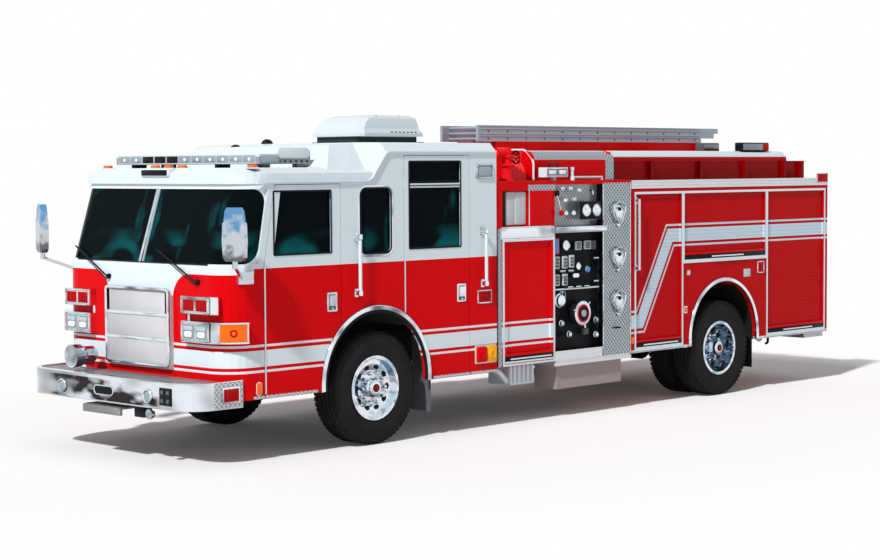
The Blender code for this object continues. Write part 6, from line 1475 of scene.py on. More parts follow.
@dataclass
class CabSide(Kit):
    """Window trim, handles, rails, lamps and step edges of the left side of the cab, repeated on the right."""

    front_window: Point = (-1.272, 1.8215, -0.579, 2.394)
    side_window: Point = (-0.221, 1.794, 0.18, 2.407)
    rear_window: Point = (0.412, 1.8215, 1.121, 2.654)
    rear_bar: float = 2.442
    arch_at: float = -0.02
    arch_height: float = 0.61
    arch_radius: float = 0.665
    handles: Point = (-0.582, 1.12)
    handle_height: float = 1.373
    rails: Point = (-0.28, 1.416)

    def windows(self) -> None:
        """Model gaskets and pale frames round the windows."""
        face = left_face()
        for index, (u0, v0, u1, v1) in enumerate((self.front_window, self.side_window, self.rear_window)):
            body = ("front_door_left", "chassis", "rear_door_left")[index]
            corner = 0.075 if index == 1 else 0.018
            rect = (at(u0) - 0.004, v0 - 0.004, at(u1) + 0.004, v1 + 0.004)
            self.panel(GASKET, face, rect, 0.005, corner=corner, hollow=0.016, body=body)
            if index == 1:
                outer = (rect[0] - 0.02, rect[1] - 0.02, rect[2] + 0.02, rect[3] + 0.02)
                self.panel(CHROME, face, outer, 0.004, corner=corner + 0.02, hollow=0.016, body=body)
        u0, _, u1, _ = self.rear_window
        self.plates(
            face,
            (GASKET, u0, self.rear_bar - 0.026, u1, self.rear_bar - 0.016, 0.004),
            (GASKET, u0, self.rear_bar + 0.016, u1, self.rear_bar + 0.024, 0.004),
            body="rear_door_left")

    def doors(self) -> None:
        """Model hinge strips, paddle handles and step edges of the doors."""
        face = left_face()
        for start, low, body in ((-1.39, 0.6, "front_door_left"), (0.343, 1.225, "rear_door_left")):
            self.panel(ALUMINIUM, face, (at(start) + 0.004, low, at(start) + 0.02, 1.722), 0.004, body=body)
            for index in range(int((1.7 - low) / 0.061)):
                z = low + 0.02 + index * 0.061
                self.panel(CHROME, face, (at(start) + 0.004, z, at(start) + 0.02, z + 0.004), 0.006, body=body)
        for middle, body in zip(self.handles, ("front_door_left", "rear_door_left")):
            u = at(middle)
            low, high = self.handle_height - 0.088, self.handle_height + 0.09
            self.panel(CHROME, face, (u - 0.062, low, u + 0.062, high), 0.008, corner=0.014, bevel=0.004, body=body)
            self.panel(
                GREY_PLASTIC, face, (u - 0.044, low + 0.018, u + 0.044, high - 0.018), 0.003, corner=0.008, lift=0.007,
                body=body)
            self.panel(
                CHROME, face, (u - 0.04, low + 0.05, u + 0.04, high - 0.026), 0.014, corner=0.01, bevel=0.006,
                lift=0.008, body=body)
            self.turned(
                CHROME, (u, -SIDE - 0.01, low + 0.03), OUTWARD, ((0, 0.012), (0.006, 0.011), (0.008, 0.006)), sides=14,
                body=body)
        for start, end, body in ((-1.39, -0.76, "front_door_left"), (0.72, 1.24, "rear_door_left")):
            self.panel(TREAD_PLATE, face, (at(start) + 0.006, 0.563, at(end) - 0.006, 0.59), 0.005, body=body)
        self.plates(
            face,
            (TREAD_PLATE, 1.25, 0.563, 1.625, 0.59, 0.005),
            (TREAD_PLATE, -1.52, 0.563, -1.396, 0.59, 0.005))

    def rails_and_lamps(self) -> None:
        """Model the grab rails, lamps, receptacles, drip rail and arch trim."""
        face = left_face()
        for station, low, high in ((self.rails[0], 1.43, 1.97), (self.rails[1], 1.44, 1.98)):
            x, y = at(station), -SIDE - 0.062
            self.rod(WHITE_PAINT, ((x, y, low), (x, y, high)), 0.0165, resolution=4)
            for z in (low + 0.012, high - 0.012):
                self.panel(CHROME, face, (x - 0.024, z - 0.04, x + 0.024, z + 0.04), 0.012, corner=0.01, bevel=0.004)
                self.box(CHROME, (x - 0.017, -SIDE - 0.006, z - 0.02), (x + 0.017, y, z + 0.02), 0.006)
                self.turned(
                    CHROME, (x, y, z - 0.026), UP, ((0, 0.02), (0.004, 0.023), (0.048, 0.023), (0.052, 0.02)), sides=20)
        self.plates(
            face,
            (CHROME, 1.334, 2.484, 1.572, 2.622, 0.016, 0.014, 0.005, 0.0, 0.014),
            (SMOKED_LENS, 1.346, 2.496, 1.56, 2.61, 0.01, 0.008),
            (CLEAR_LENS, 1.362, 2.508, 1.544, 2.598, 0.008, 0.022, 0.004, 0.01),
            (CHROME, 1.342, 1.252, 1.548, 1.386, 0.012, 0.012, 0.004, 0.0, 0.014),
            (RED_LENS, 1.354, 1.264, 1.536, 1.374, 0.01, 0.008))
        for slot in range(4):
            u = at(1.366) + slot * 0.041
            self.panel(RED_LENS, face, (u, 1.276, u + 0.035, 1.362), 0.004, corner=0.004, lift=0.01)
        self.panel(PALE_PLASTIC, face, (at(1.31), 0.66, at(1.61), 0.842), 0.01, corner=0.01, bevel=0.003)
        for start, end, finish in ((1.322, 1.452, RED_PAINT), (1.464, 1.596, YELLOW_PLASTIC)):
            self.panel(finish, face, (at(start), 0.676, at(end), 0.828), 0.026, corner=0.014, bevel=0.008, lift=0.01)
            self.turned(
                finish, (at((start + end) / 2), -SIDE - 0.034, 0.752), OUTWARD,
                ((0, 0.05), (0.012, 0.048), (0.016, 0.036), (0.01, 0.03)), sides=24)
        self.plates(
            face,
            (CHROME, -1.492, 0.592, -1.424, 0.716, 0.004, 0.032),
            (AMBER_LENS, -1.486, 0.598, -1.43, 0.71, 0.012, 0.027, 0.008))
        gutter = (
            (at(-1.46), -SIDE - 0.01, 2.474), (at(-0.09), -SIDE - 0.01, 2.474), (at(0.12), -SIDE - 0.01, 2.744),
            (at(1.62), -SIDE - 0.01, 2.744))
        self.rod(WHITE_PAINT, rounded_path(gutter, 0.05), 0.01, resolution=1)
        centre = (at(self.arch_at), -SIDE - 0.008, self.arch_height)
        self.arc(CHROME, centre, self.arch_radius - 0.004, 0.046, 0.03, math.radians(-4), math.radians(188))
        self.arc(GASKET, centre, self.arch_radius - 0.03, 0.028, 0.02, math.radians(-4), math.radians(188))

    def build(self) -> None:
        """Model and hand over both sides."""
        self.windows()
        self.doors()
        self.rails_and_lamps()
        self.mirror()
        self.close("cab_side")


@dataclass
class RoofKit(Kit):
    """Light bar modules, clearance lamps, domes, sensor hood and the roof unit's vents."""

    bar_front_at: float = -1.27
    bar_half: float = 1.06
    bar_low: float = 2.632
    modules: int = 11
    module_width: float = 0.178
    module_gap: float = 0.007
    dark_modules: tuple[int, ...] = (2, 3, 4)
    clearance: Point = (0.94, 0.2, 0.0, -0.2, -1.13)

    def light_bar(self) -> None:
        """Model the light bar's lenses."""
        face = front_face(at(self.bar_front_at))
        self.panel(PALE_PLASTIC, face, (-1.03, self.bar_low + 0.004, 1.03, self.bar_low + 0.012), 0.01)
        width, pitch = self.module_width, self.module_width + self.module_gap
        start = (self.module_gap - self.modules * pitch) / 2
        for index in range(self.modules):
            u = start + index * pitch
            dark = index in self.dark_modules
            self.panel(PALE_PLASTIC, face, (u, 2.64, u + width, 2.714), 0.006, corner=0.008, hollow=0.006)
            self.panel(
                BLACK_GLOSS if dark else CLEAR_LENS, face, (u + 0.004, 2.644, u + width - 0.004, 2.71), 0.005,
                corner=0.006)
            if not dark:
                self.turned(
                    LED, (at(self.bar_front_at) - 0.004, -u - width / 2, 2.677), AHEAD,
                    ((0, 0.017), (0.004, 0.015), (0.005, 0.008)), sides=16)
        end = self.panel(
            CLEAR_LENS, left_face(-self.bar_half), (at(-1.25), 2.645, at(-1.05), 2.71), 0.006, corner=0.01, bevel=0.003)
        self.copy(end, CLEAR_LENS, (OTHER_SIDE,))
        for y in (-0.86, -0.4, 0.4, 0.86):
            self.box(BLACK_STEEL, (at(-1.22), y - 0.03, 2.596), (at(-1.08), y + 0.03, 2.64), 0.006)

    def side_module(self) -> None:
        """Model the left side module's lenses and its drilled foot."""
        face = left_face(-1.012)
        self.panel(WHITE_PAINT, face, (at(-1.015), 2.682, at(-0.64), 2.778), 0.008, corner=0.03, bevel=0.004)
        for index in range(6):
            x = at(-0.99) + index * 0.066
            self.turned(BLACK_GLOSS, (x, -1.012, 2.655), OUTWARD, ((0, 0.011), (0.002, 0.01), (0.001, 0.006)), sides=14)

    def lamps_and_domes(self) -> None:
        """Model the clearance lamps, sensor hood and aerial domes."""
        for y in self.clearance:
            x = at(-1.47) if abs(y) < 1.0 else at(-1.42)
            self.box(CHROME, (x - 0.022, y - 0.052, 2.586), (x + 0.05, y + 0.052, 2.606), 0.006)
            self.box(AMBER_LENS, (x - 0.016, y - 0.044, 2.6), (x + 0.04, y + 0.044, 2.628), 0.011, segments=3)
        self.box(WHITE_PAINT, (at(-1.62), -0.2, 2.52), (at(-1.48), 0.22, 2.6), 0.02, segments=3)
        self.panel(BLACK_GLOSS, front_face(at(-1.62)), (-0.2, 2.532, 0.18, 2.584), 0.004, corner=0.014)
        for station in (-0.33, 0.07):
            base = 2.6 + (0.17 if station < 0 else 0.225)
            self.turned(
                BLACK_GLOSS, (at(station), 0.4, base), UP, ((-0.05, 0.06), (0.012, 0.06), (0.034, 0.05), (0.05, 0.03),
                (0.056, 0.01)), sides=24)

    def roof_unit(self) -> None:
        """Model the roof unit's side vents and seams."""
        low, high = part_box("air_conditioner")
        for side in SIDES:
            y = side * (high[1] - 0.052)
            for index in range(7):
                x = low[0] + 0.42 + index * 0.055
                self.box(GREY_PLASTIC, (x, y - 0.006, 2.935), (x + 0.03, y + 0.05 * side, 2.952), 0.004)
        for station in (0.3, 0.62):
            x = low[0] + station
            self.box(PALE_PLASTIC, (x, -0.29, high[2] - 0.012), (x + 0.008, 0.29, high[2] + 0.002), 0.002)
        self.box(BLACK_STEEL, (low[0] + 0.03, -0.37, 2.826), (high[0] - 0.03, 0.37, 2.85), 0.006)

    def build(self) -> None:
        """Model and hand over the roof kit."""
        self.light_bar()
        self.side_module()
        self.lamps_and_domes()
        self.roof_unit()
        self.close("roof")


# ---- Pump module


@dataclass
class PumpModule(Kit):
    """Controls, gauges, caps and trim of the pump house, the hose on its reel and the top fittings."""

    reel_at: float = 2.28
    reel_y: float = -0.69
    reel_height: float = 2.47
    hose_half: float = 0.021
    hose_pitch: float = 0.0405
    hose_turns: int = 6
    hose_layers: Point = (0.246, 0.212)
    turn_steps: int = 32

    def rim(self) -> None:
        """Model rails and seams round the panels of the left side."""
        face = left_face()
        self.plates(
            face,
            (CHROME, 1.702, 1.864, 2.5, 1.876, 0.006),
            (CHROME, 1.702, 1.984, 2.468, 1.994, 0.006),
            (RED_PAINT, 2.126, 2.0, 2.462, 2.35, 0.006, 0.01),
            (CHROME, 2.104, 1.998, 2.116, 2.352, 0.008))
        for start, end in ((1.712, 1.74), (2.478, 2.5)):
            self.panel(TRIM, face, (at(start), 0.612, at(end), 1.866), 0.006, bevel=0.003)
        self.plates(
            face,
            (ALUMINIUM, 1.712, 0.6, 2.5, 0.622, 0.008, 0.0, 0.003),
            (TRIM, 1.712, 1.846, 2.5, 1.864, 0.008, 0.0, 0.003),
            (BLACK_GLOSS, 1.745, 0.628, 2.474, 0.7, 0.003),
            (RED_PAINT, 1.745, 0.7, 2.474, 0.73, 0.01, 0.0, 0.004),
            (TRIM, 1.745, 0.628, 2.474, 0.648, 0.01, 0.0, 0.004))
        self.rod(TRIM, ((at(1.8), -SIDE - 0.022, 0.672), (at(2.42), -SIDE - 0.022, 0.672)), 0.009, resolution=2)
        self.plates(
            face,
            (CHROME, 1.7, 1.88, 2.468, 1.982, 0.004),
            (ALUMINIUM, 2.49, 0.545, 3.74, 0.578, 0.006, 0.0, 0.002))
        self.box(PALE_METAL, (at(1.9), -1.18, 0.392), (at(2.262), -0.86, 0.6), 0.02, segments=3)
        for index in range(5):
            x = at(1.925) + index * 0.068
            self.box(PALE_METAL, (x, -1.196, 0.404), (x + 0.022, -1.17, 0.59), 0.006)
        self.rod(
            PALE_METAL, rounded_path(((at(1.64), -1.12, 0.58), (at(1.76), -1.12, 0.56), (at(1.91), -1.12, 0.43)), 0.06),
            0.03, resolution=2)
        for u in (3.268, 3.722):
            self.panel(CHROME, face, (at(u), 0.6, at(u) + 0.012, 2.41), 0.006)

    def gauges(self) -> None:
        """Model the upper gauge panel of the left side."""
        face = left_face()
        self.panel(BLACK_GLOSS, face, (at(2.9), 2.043, at(3.221), 2.23), 0.02, corner=0.012, bevel=0.004)
        for u in (2.978, 3.142):
            self.turned(
                CHROME, (at(u), -SIDE - 0.02, 2.137), OUTWARD,
                ((0, 0.066), (0.01, 0.066), (0.014, 0.06), (0.008, 0.056)), sides=32)
            self.turned(PALE_PLASTIC, (at(u), -SIDE - 0.02, 2.137), OUTWARD, ((0, 0.056), (0.006, 0.055)), sides=32)
            self.rod(
                BLACK_STEEL, ((at(u), -SIDE - 0.028, 2.137), (at(u) - 0.026, -SIDE - 0.028, 2.166)), 0.0025,
                resolution=0)
        self.rod(CHROME, ((at(2.526), -SIDE - 0.01, 2.318), (at(2.55), -SIDE - 0.05, 2.13)), 0.007, resolution=1)
        self.turned(
            RED_PAINT, (at(2.55), -SIDE - 0.036, 2.12), OUTWARD,
            ((0, 0.02), (0.01, 0.03), (0.024, 0.03), (0.032, 0.018)), sides=20)
        self.panel(BLACK_GLOSS, face, (at(2.506), 2.29, at(2.56), 2.35), 0.02, corner=0.01, bevel=0.004)
        hook = ((at(3.06), -SIDE, 2.342), (at(3.06), -SIDE - 0.045, 2.342), (at(3.06), -SIDE - 0.045, 2.3))
        self.rod(CHROME, rounded_path(hook, 0.02), 0.008, resolution=2)
        for u, v in ((2.6, 2.35), (2.72, 2.35), (2.86, 2.33), (2.64, 2.23), (2.78, 2.24)):
            self.panel(CHROME, face, (at(u), v, at(u) + 0.06, v + 0.034), 0.005, corner=0.005)
        for u in (2.68, 2.8):
            self.turned(
                CHROME, (at(u), -SIDE, 2.11), OUTWARD, ((0, 0.032), (0.008, 0.032), (0.012, 0.026), (0.02, 0.014)),
                sides=20)
        self.panel(CHROME, face, (at(2.5), 1.912, at(3.359), 1.976), 0.028, corner=0.006, bevel=0.006)

    def dials(self) -> None:
        """Model the lower black panel's display, switches, gauges and levers."""
        base = -1.2
        face = left_face(base)
        self.plates(
            face,
            (RED_PAINT, 2.506, 1.69, 2.612, 1.862, 0.014, 0.008),
            (BLUE_LENS, 2.518, 1.704, 2.6, 1.848, 0.004, 0.004, 0.002, 0.013))
        for u, v, radius in ((2.729, 1.779, 0.056), (2.923, 1.557, 0.04), (3.063, 1.52, 0.036)):
            self.turned(
                CHROME, (at(u), base, v), OUTWARD, ((0, radius), (0.012, radius), (0.016, radius * 0.88),
                (0.01, radius * 0.82)), sides=24)
        self.turned(
            BLUE_LENS, (at(3.063), base - 0.01, 1.52), OUTWARD, ((0, 0.03), (0.016, 0.028), (0.022, 0.016)), sides=20)
        switches = (
            (2.87, 1.772, 0.1, 0.09), (3.012, 1.775, 0.11, 0.09), (3.13, 1.772, 0.072, 0.09),
            (2.546, 1.606, 0.076, 0.13), (2.666, 1.606, 0.076, 0.13), (2.774, 1.612, 0.076, 0.13),
            (2.546, 1.426, 0.076, 0.12), (2.67, 1.426, 0.076, 0.12))
        for index, (u, v, wide, tall) in enumerate(switches):
            self.panel(
                PALE_PLASTIC if index != 2 else GREY_PLASTIC, face, (at(u), v - tall / 2, at(u) + wide, v + tall / 2),
                0.012, corner=0.008, bevel=0.003)
            for slot in range(3):
                w = v - tall * 0.36 + tall * 0.26 * slot
                self.panel(
                    GREY_PLASTIC, face, (at(u) + wide * 0.2, w, at(u) + wide * 0.8, w + tall * 0.16), 0.008,
                    corner=0.004, lift=0.011)
        for u, v in (
                (3.133, 1.637), (3.133, 1.397), (2.85, 1.35), (2.98, 1.35), (2.72, 1.35), (2.6, 1.52), (2.73, 1.52)):
            self.rod(CHROME, ((at(u), base, v), (at(u), base - 0.06, v)), 0.01, resolution=1)
            self.rod(CHROME, ((at(u) - 0.04, base - 0.062, v), (at(u) + 0.04, base - 0.062, v)), 0.012, resolution=2)
        self.panel(CHROME, face, (at(2.836), 1.44, at(2.936), 1.484), 0.006, corner=0.02)
        self.box(ALUMINIUM, (at(2.506), base - 0.03, 1.322), (at(3.23), base, 1.34), 0.004)

    def caps(self) -> None:
        """Model the discharge and intake caps of the lower panel."""
        base = -1.16
        self.turned(
            CHROME, (at(2.618), base, 1.215), OUTWARD, ((0, 0.074), (0.05, 0.074), (0.056, 0.06), (0.08, 0.058),
            (0.086, 0.04)), sides=28)
        self.lugs((at(2.618), base - 0.026, 1.215), 0.074, 2)
        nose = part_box("pump_panel_left")[0][1] + 0.001
        for radius, finish, start in (
                (0.128, CHROME, 0.0), (0.098, RED_PAINT, 0.004), (0.08, BLACK_GLOSS, 0.007), (0.04, CHROME, 0.011)):
            self.turned(
                finish, (at(2.92), nose, 1.07), OUTWARD,
                ((-0.02, radius), (start, radius), (start + 0.006, radius * 0.92)), sides=36)
        self.lugs((at(2.92), nose + 0.004, 1.07), 0.13, 3)
        for u, v in ((3.17, 0.984), (3.169, 0.831), (2.62, 0.98), (2.74, 0.86)):
            self.turned(
                CHROME, (at(u), -1.2, v), OUTWARD, ((0, 0.034), (0.03, 0.034), (0.034, 0.026), (0.052, 0.024),
                (0.056, 0.012)), sides=20)
        self.box(GREY_PLASTIC, (at(2.99), -1.225, 0.84), (at(3.066), -1.19, 0.906), 0.006)
        self.rod(
            CHROME, rounded_path(((at(2.618), -1.21, 1.3), (at(2.68), -1.23, 1.31), (at(2.7), -1.22, 1.25)), 0.02),
            0.006, resolution=1)

    def lugs(self, centre: Point, radius: float, count: int) -> None:
        """Model long lugs on a cap.

        Args:
            centre: middle of the lugs' ring.
            radius: radius of the cap.
            count: number of lugs.
        """
        for index in range(count):
            angle = math.pi * (0.25 + 2 * index / count)
            out = Vector((math.cos(angle), 0, math.sin(angle)))
            start = Vector(centre) + out * (radius * 0.9)
            self.rod(CHROME, (start, start + out * 0.04), 0.011, resolution=2)

    def column(self) -> None:
        """Model the handled caps on the tread plate column and its black handle."""
        for height in (2.101, 1.622, 1.158):
            x, y = at(3.52), -SIDE
            self.turned(
                CHROME, (x, y, height), OUTWARD, ((-0.01, 0.088), (0.006, 0.088), (0.01, 0.078), (0.01, 0.058),
                (0.022, 0.054), (0.026, 0.034)), sides=32)
            outline = (
                (-0.02, 0.116), (-0.096, 0.076), (-0.092, 0.02), (-0.02, -0.108), (0.02, -0.108), (0.092, 0.02),
                (0.096, 0.076), (0.02, 0.116), (-0.02, 0.116))
            path = rounded_path([(x + u, y - 0.03, height + v) for u, v in outline], 0.022)
            self.rod(CHROME, path, 0.009, resolution=2)
            self.turned(
                BLACK_GLOSS, (x, y, height + 0.04), OUTWARD, ((0.02, 0.022), (0.034, 0.02), (0.038, 0.01)), sides=16)
            self.turned(CHROME, (x, y, height - 0.128), OUTWARD, ((0, 0.026), (0.014, 0.024), (0.018, 0.012)), sides=18)
        self.rod(
            BLACK_GLOSS,
            rounded_path(((at(3.46), -SIDE, 0.883), (at(3.46), -SIDE - 0.025, 0.883), (at(3.54), -SIDE - 0.025, 0.883),
            (at(3.54), -SIDE, 0.883)), 0.01), 0.008, resolution=2)

    def reel(self) -> None:
        """Model the turns of hose on the reel, and the hubs at its ends."""
        centre = Vector((at(self.reel_at), self.reel_y, self.reel_height))
        for reach in self.hose_layers:
            points = []
            for step in range(self.hose_turns * self.turn_steps + 1):
                turn = step / self.turn_steps
                x = centre.x + self.hose_pitch * (turn - self.hose_turns / 2)
                across, up = reach * math.cos(math.tau * turn), reach * math.sin(math.tau * turn)
                points.append((x, centre.y + across, centre.z + up))
            self.rod(HOSE_RED, points, self.hose_half, body="hose_reel", resolution=2)
        for x in (centre.x - 0.15, centre.x + 0.15):
            side = -1 if x < centre.x else 1
            self.turned(
                RED_PAINT, (x, centre.y, centre.z), (side, 0, 0), ((0, 0.05), (0.016, 0.046), (0.02, 0.02)), sides=24,
                body="hose_reel")

    def deck_fittings(self) -> None:
        """Model the deck pipe's flanges and handwheel, the floodlight's lenses and the side fitting."""
        x, y = at(2.05), -1.0
        for z in (2.456, 2.6, 2.69):
            self.turned(PIPE_RED, (x, y, z), UP, ((0, 0.07), (0.004, 0.074), (0.016, 0.074), (0.02, 0.07)), sides=28)
        wheel = (at(2.155), -1.03, 2.69)
        self.rod(BLACK_GLOSS, circle(wheel, 0.062, 24, upright=False), 0.009, resolution=2, closed=True)
        for turn in range(3):
            a = math.pi * turn / 3
            self.rod(
                BLACK_GLOSS, ((wheel[0], wheel[1] - 0.06 * math.cos(a), wheel[2] - 0.06 * math.sin(a)),
                (wheel[0], wheel[1] + 0.06 * math.cos(a), wheel[2] + 0.06 * math.sin(a))), 0.006, resolution=1)
        self.rod(CHROME, (wheel, (at(2.09), -1.02, 2.68)), 0.012, resolution=2)
        low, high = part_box("floodlight")
        face = left_face(low[1])
        u0, u1, v0, v1 = low[0], high[0], high[2] - 0.1, high[2]
        self.panel(CHROME, face, (u0 + 0.004, v0 + 0.006, u1 - 0.004, v1 - 0.006), 0.006, corner=0.012, hollow=0.01)
        middle = (u0 + u1) / 2
        for start, end in ((u0 + 0.014, middle - 0.004), (middle + 0.004, u1 - 0.014)):
            self.panel(SMOKED_LENS, face, (start, v0 + 0.016, end, v1 - 0.016), 0.006, corner=0.01)
            self.panel(LED, face, (start + 0.02, v0 + 0.03, end - 0.02, v1 - 0.03), 0.003, corner=0.01, lift=0.006)
        y = (low[1] + high[1]) / 2
        self.rod(
            BLACK_GLOSS,
            rounded_path(((middle - 0.06, y, v1 - 0.004), (middle - 0.06, y, v1 + 0.045),
            (middle + 0.06, y, v1 + 0.045), (middle + 0.06, y, v1 - 0.004)), 0.02), 0.008, resolution=2)
        self.turned(
            CHROME, (at(2.938), -1.1, 2.446), UP, ((0, 0.03), (0.05, 0.03), (0.052, 0.022), (0.1, 0.022), (0.104, 0.03),
            (0.14, 0.028)), sides=20)
        self.rod(ALUMINIUM, ((at(2.938), -1.1, 2.48), (at(3.43), -1.1, 2.48)), 0.014, resolution=2)
        self.rod(ALUMINIUM, ((at(3.43), -1.1, 2.486), (at(3.43), -1.1, 2.448)), 0.014, resolution=2)
        x = at(2.44)
        path = rounded_path(
            ((x, -1.014, 2.46), (x, -1.014, 2.654), (x, -0.9, 2.766), (x, 0.9, 2.766), (x, 1.014, 2.654),
            (x, 1.014, 2.46)), 0.05)
        self.rod(WHITE_PAINT, path, 0.012, resolution=2)

    def crosslay(self) -> None:
        """Model the cloth covers in the cross-lay opening, and a black box ahead of them as painted shade in the gap.
        """
        for side in SIDES:
            y = side * 1.2
            # Painted shade: a black box fills the gap ahead of the cloth covers.
            self.box(BLACK_STEEL, (at(1.722), y - 0.008, 2.004), (at(1.8), y + 0.008, 2.348), 0.004)
            self.box(HOSE_PALE, (at(1.806), y - 0.018, 2.006), (at(1.94), y + 0.018, 2.346), 0.016, segments=4)
            self.box(HOSE_PALE, (at(1.925), y - 0.026, 2.006), (at(2.096), y + 0.026, 2.346), 0.024, segments=4)

    def build(self) -> None:
        """Model and hand over the pump module."""
        self.rim()
        self.gauges()
        self.dials()
        self.caps()
        self.column()
        self.mirror()
        self.close("pump_pair")
        self.reel()
        self.deck_fittings()
        self.crosslay()
        self.close("pump")


# ---- Compartment body and rear


@dataclass
class BodySide(Kit):
    """Shutter frames and slats, rails, lamps and arch trim of the left side, repeated on the right."""

    shutters: tuple[Point, ...] = ((3.81, 0.618, 4.64, 2.305), (4.66, 1.53, 6.225, 2.305), (6.245, 0.618, 7.436, 2.305))
    arch_at: float = 5.405
    arch_height: float = 0.67
    arch_radius: float = 0.62

    def shutter(self, rect: Point) -> None:
        """Model one shutter's frame, bottom bar and latch.

        Args:
            rect: the shutter's opening as stations and heights.
        """
        face = left_face()
        u0, v0, u1, v1 = at(rect[0]), rect[1], at(rect[2]), rect[3]
        self.panel(TRIM, face, (u0 - 0.012, v0 - 0.012, u1 + 0.012, v1 + 0.012), 0.007, hollow=0.026)
        self.panel(BLACK_GLOSS, face, (u0 + 0.016, v0 + 0.012, u1 - 0.016, v0 + 0.08), 0.003)
        self.panel(RED_PAINT, face, (u0 + 0.016, v0 + 0.08, u1 - 0.016, v0 + 0.106), 0.01, bevel=0.004)
        self.panel(TRIM, face, (u0 + 0.016, v0 + 0.01, u1 - 0.016, v0 + 0.028), 0.01, bevel=0.004)
        middle = (u0 + u1) / 2
        self.rod(
            TRIM, ((middle - 0.3, -SIDE - 0.026, v0 + 0.052), (middle + 0.3, -SIDE - 0.026, v0 + 0.052)), 0.009,
            resolution=2)
        for x in (middle - 0.18, middle + 0.18):
            self.box(TRIM, (x - 0.01, -SIDE - 0.026, v0 + 0.042), (x + 0.01, -SIDE, v0 + 0.062), 0.004)

    def rails(self) -> None:
        """Model the bright rails and the handrail."""
        face = left_face()
        for v in (2.352, 2.385, 2.416):
            self.panel(ALUMINIUM, face, (at(3.746), v, at(7.5), v + 0.026), 0.005)
        for start, end in ((3.75, 4.66), (6.2, 7.496)):
            self.panel(TREAD_PLATE, face, (at(start), 0.588, at(end), 0.606), 0.006)
        x, y = at(3.821), -SIDE - 0.05
        self.rod(TRIM, ((x, y, 1.48), (x, y, 2.242)), 0.015, resolution=3)
        for z in (1.5, 2.222):
            self.box(CHROME, (x - 0.014, y, z - 0.016), (x + 0.014, -SIDE, z + 0.016), 0.005)
            self.panel(CHROME, face, (x - 0.022, z - 0.034, x + 0.022, z + 0.034), 0.008, corner=0.008)

    def lamps(self) -> None:
        """Model markers, blank plates and lamps."""
        face = left_face()
        self.plates(
            face,
            (CHROME, 6.05, 1.35, 6.184, 1.49, 0.01, 0.012, 0.004, 0.0, 0.014),
            (RED_LENS, 6.062, 1.362, 6.172, 1.478, 0.01, 0.008),
            (PALE_PLASTIC, 5.79, 1.32, 5.92, 1.41, 0.003, 0.008),
            (CHROME, 4.715, 1.385, 4.775, 1.44, 0.008, 0.008),
            (CHROME, 4.664, 0.965, 4.726, 1.044, 0.006, 0.008),
            (AMBER_LENS, 4.672, 0.975, 4.718, 1.034, 0.01, 0.008, 0.004),
            (AMBER_LENS, 3.752, 0.69, 3.79, 0.76, 0.01, 0.008, 0.004),
            (CHROME, 7.262, 2.382, 7.496, 2.498, 0.01, 0.01, 0.004, 0.0, 0.012),
            (RED_LENS, 7.272, 2.392, 7.486, 2.488, 0.012, 0.008))

    def arch(self) -> None:
        """Model the arch trim with its straight legs."""
        centre = (at(self.arch_at), -SIDE - 0.008, self.arch_height)
        self.arc(CHROME, centre, self.arch_radius - 0.004, 0.046, 0.03, 0.0, math.pi)
        for side in (-1, 1):
            x = centre[0] + side * (self.arch_radius + 0.019)
            self.box(CHROME, (x - 0.023, -SIDE - 0.022, 0.59), (x + 0.023, -SIDE + 0.006, self.arch_height), 0.006)

    def build(self) -> None:
        """Model and hand over both sides."""
        for rect in self.shutters:
            self.shutter(rect)
        self.rails()
        self.lamps()
        self.arch()
        self.mirror()
        self.close("body_side")


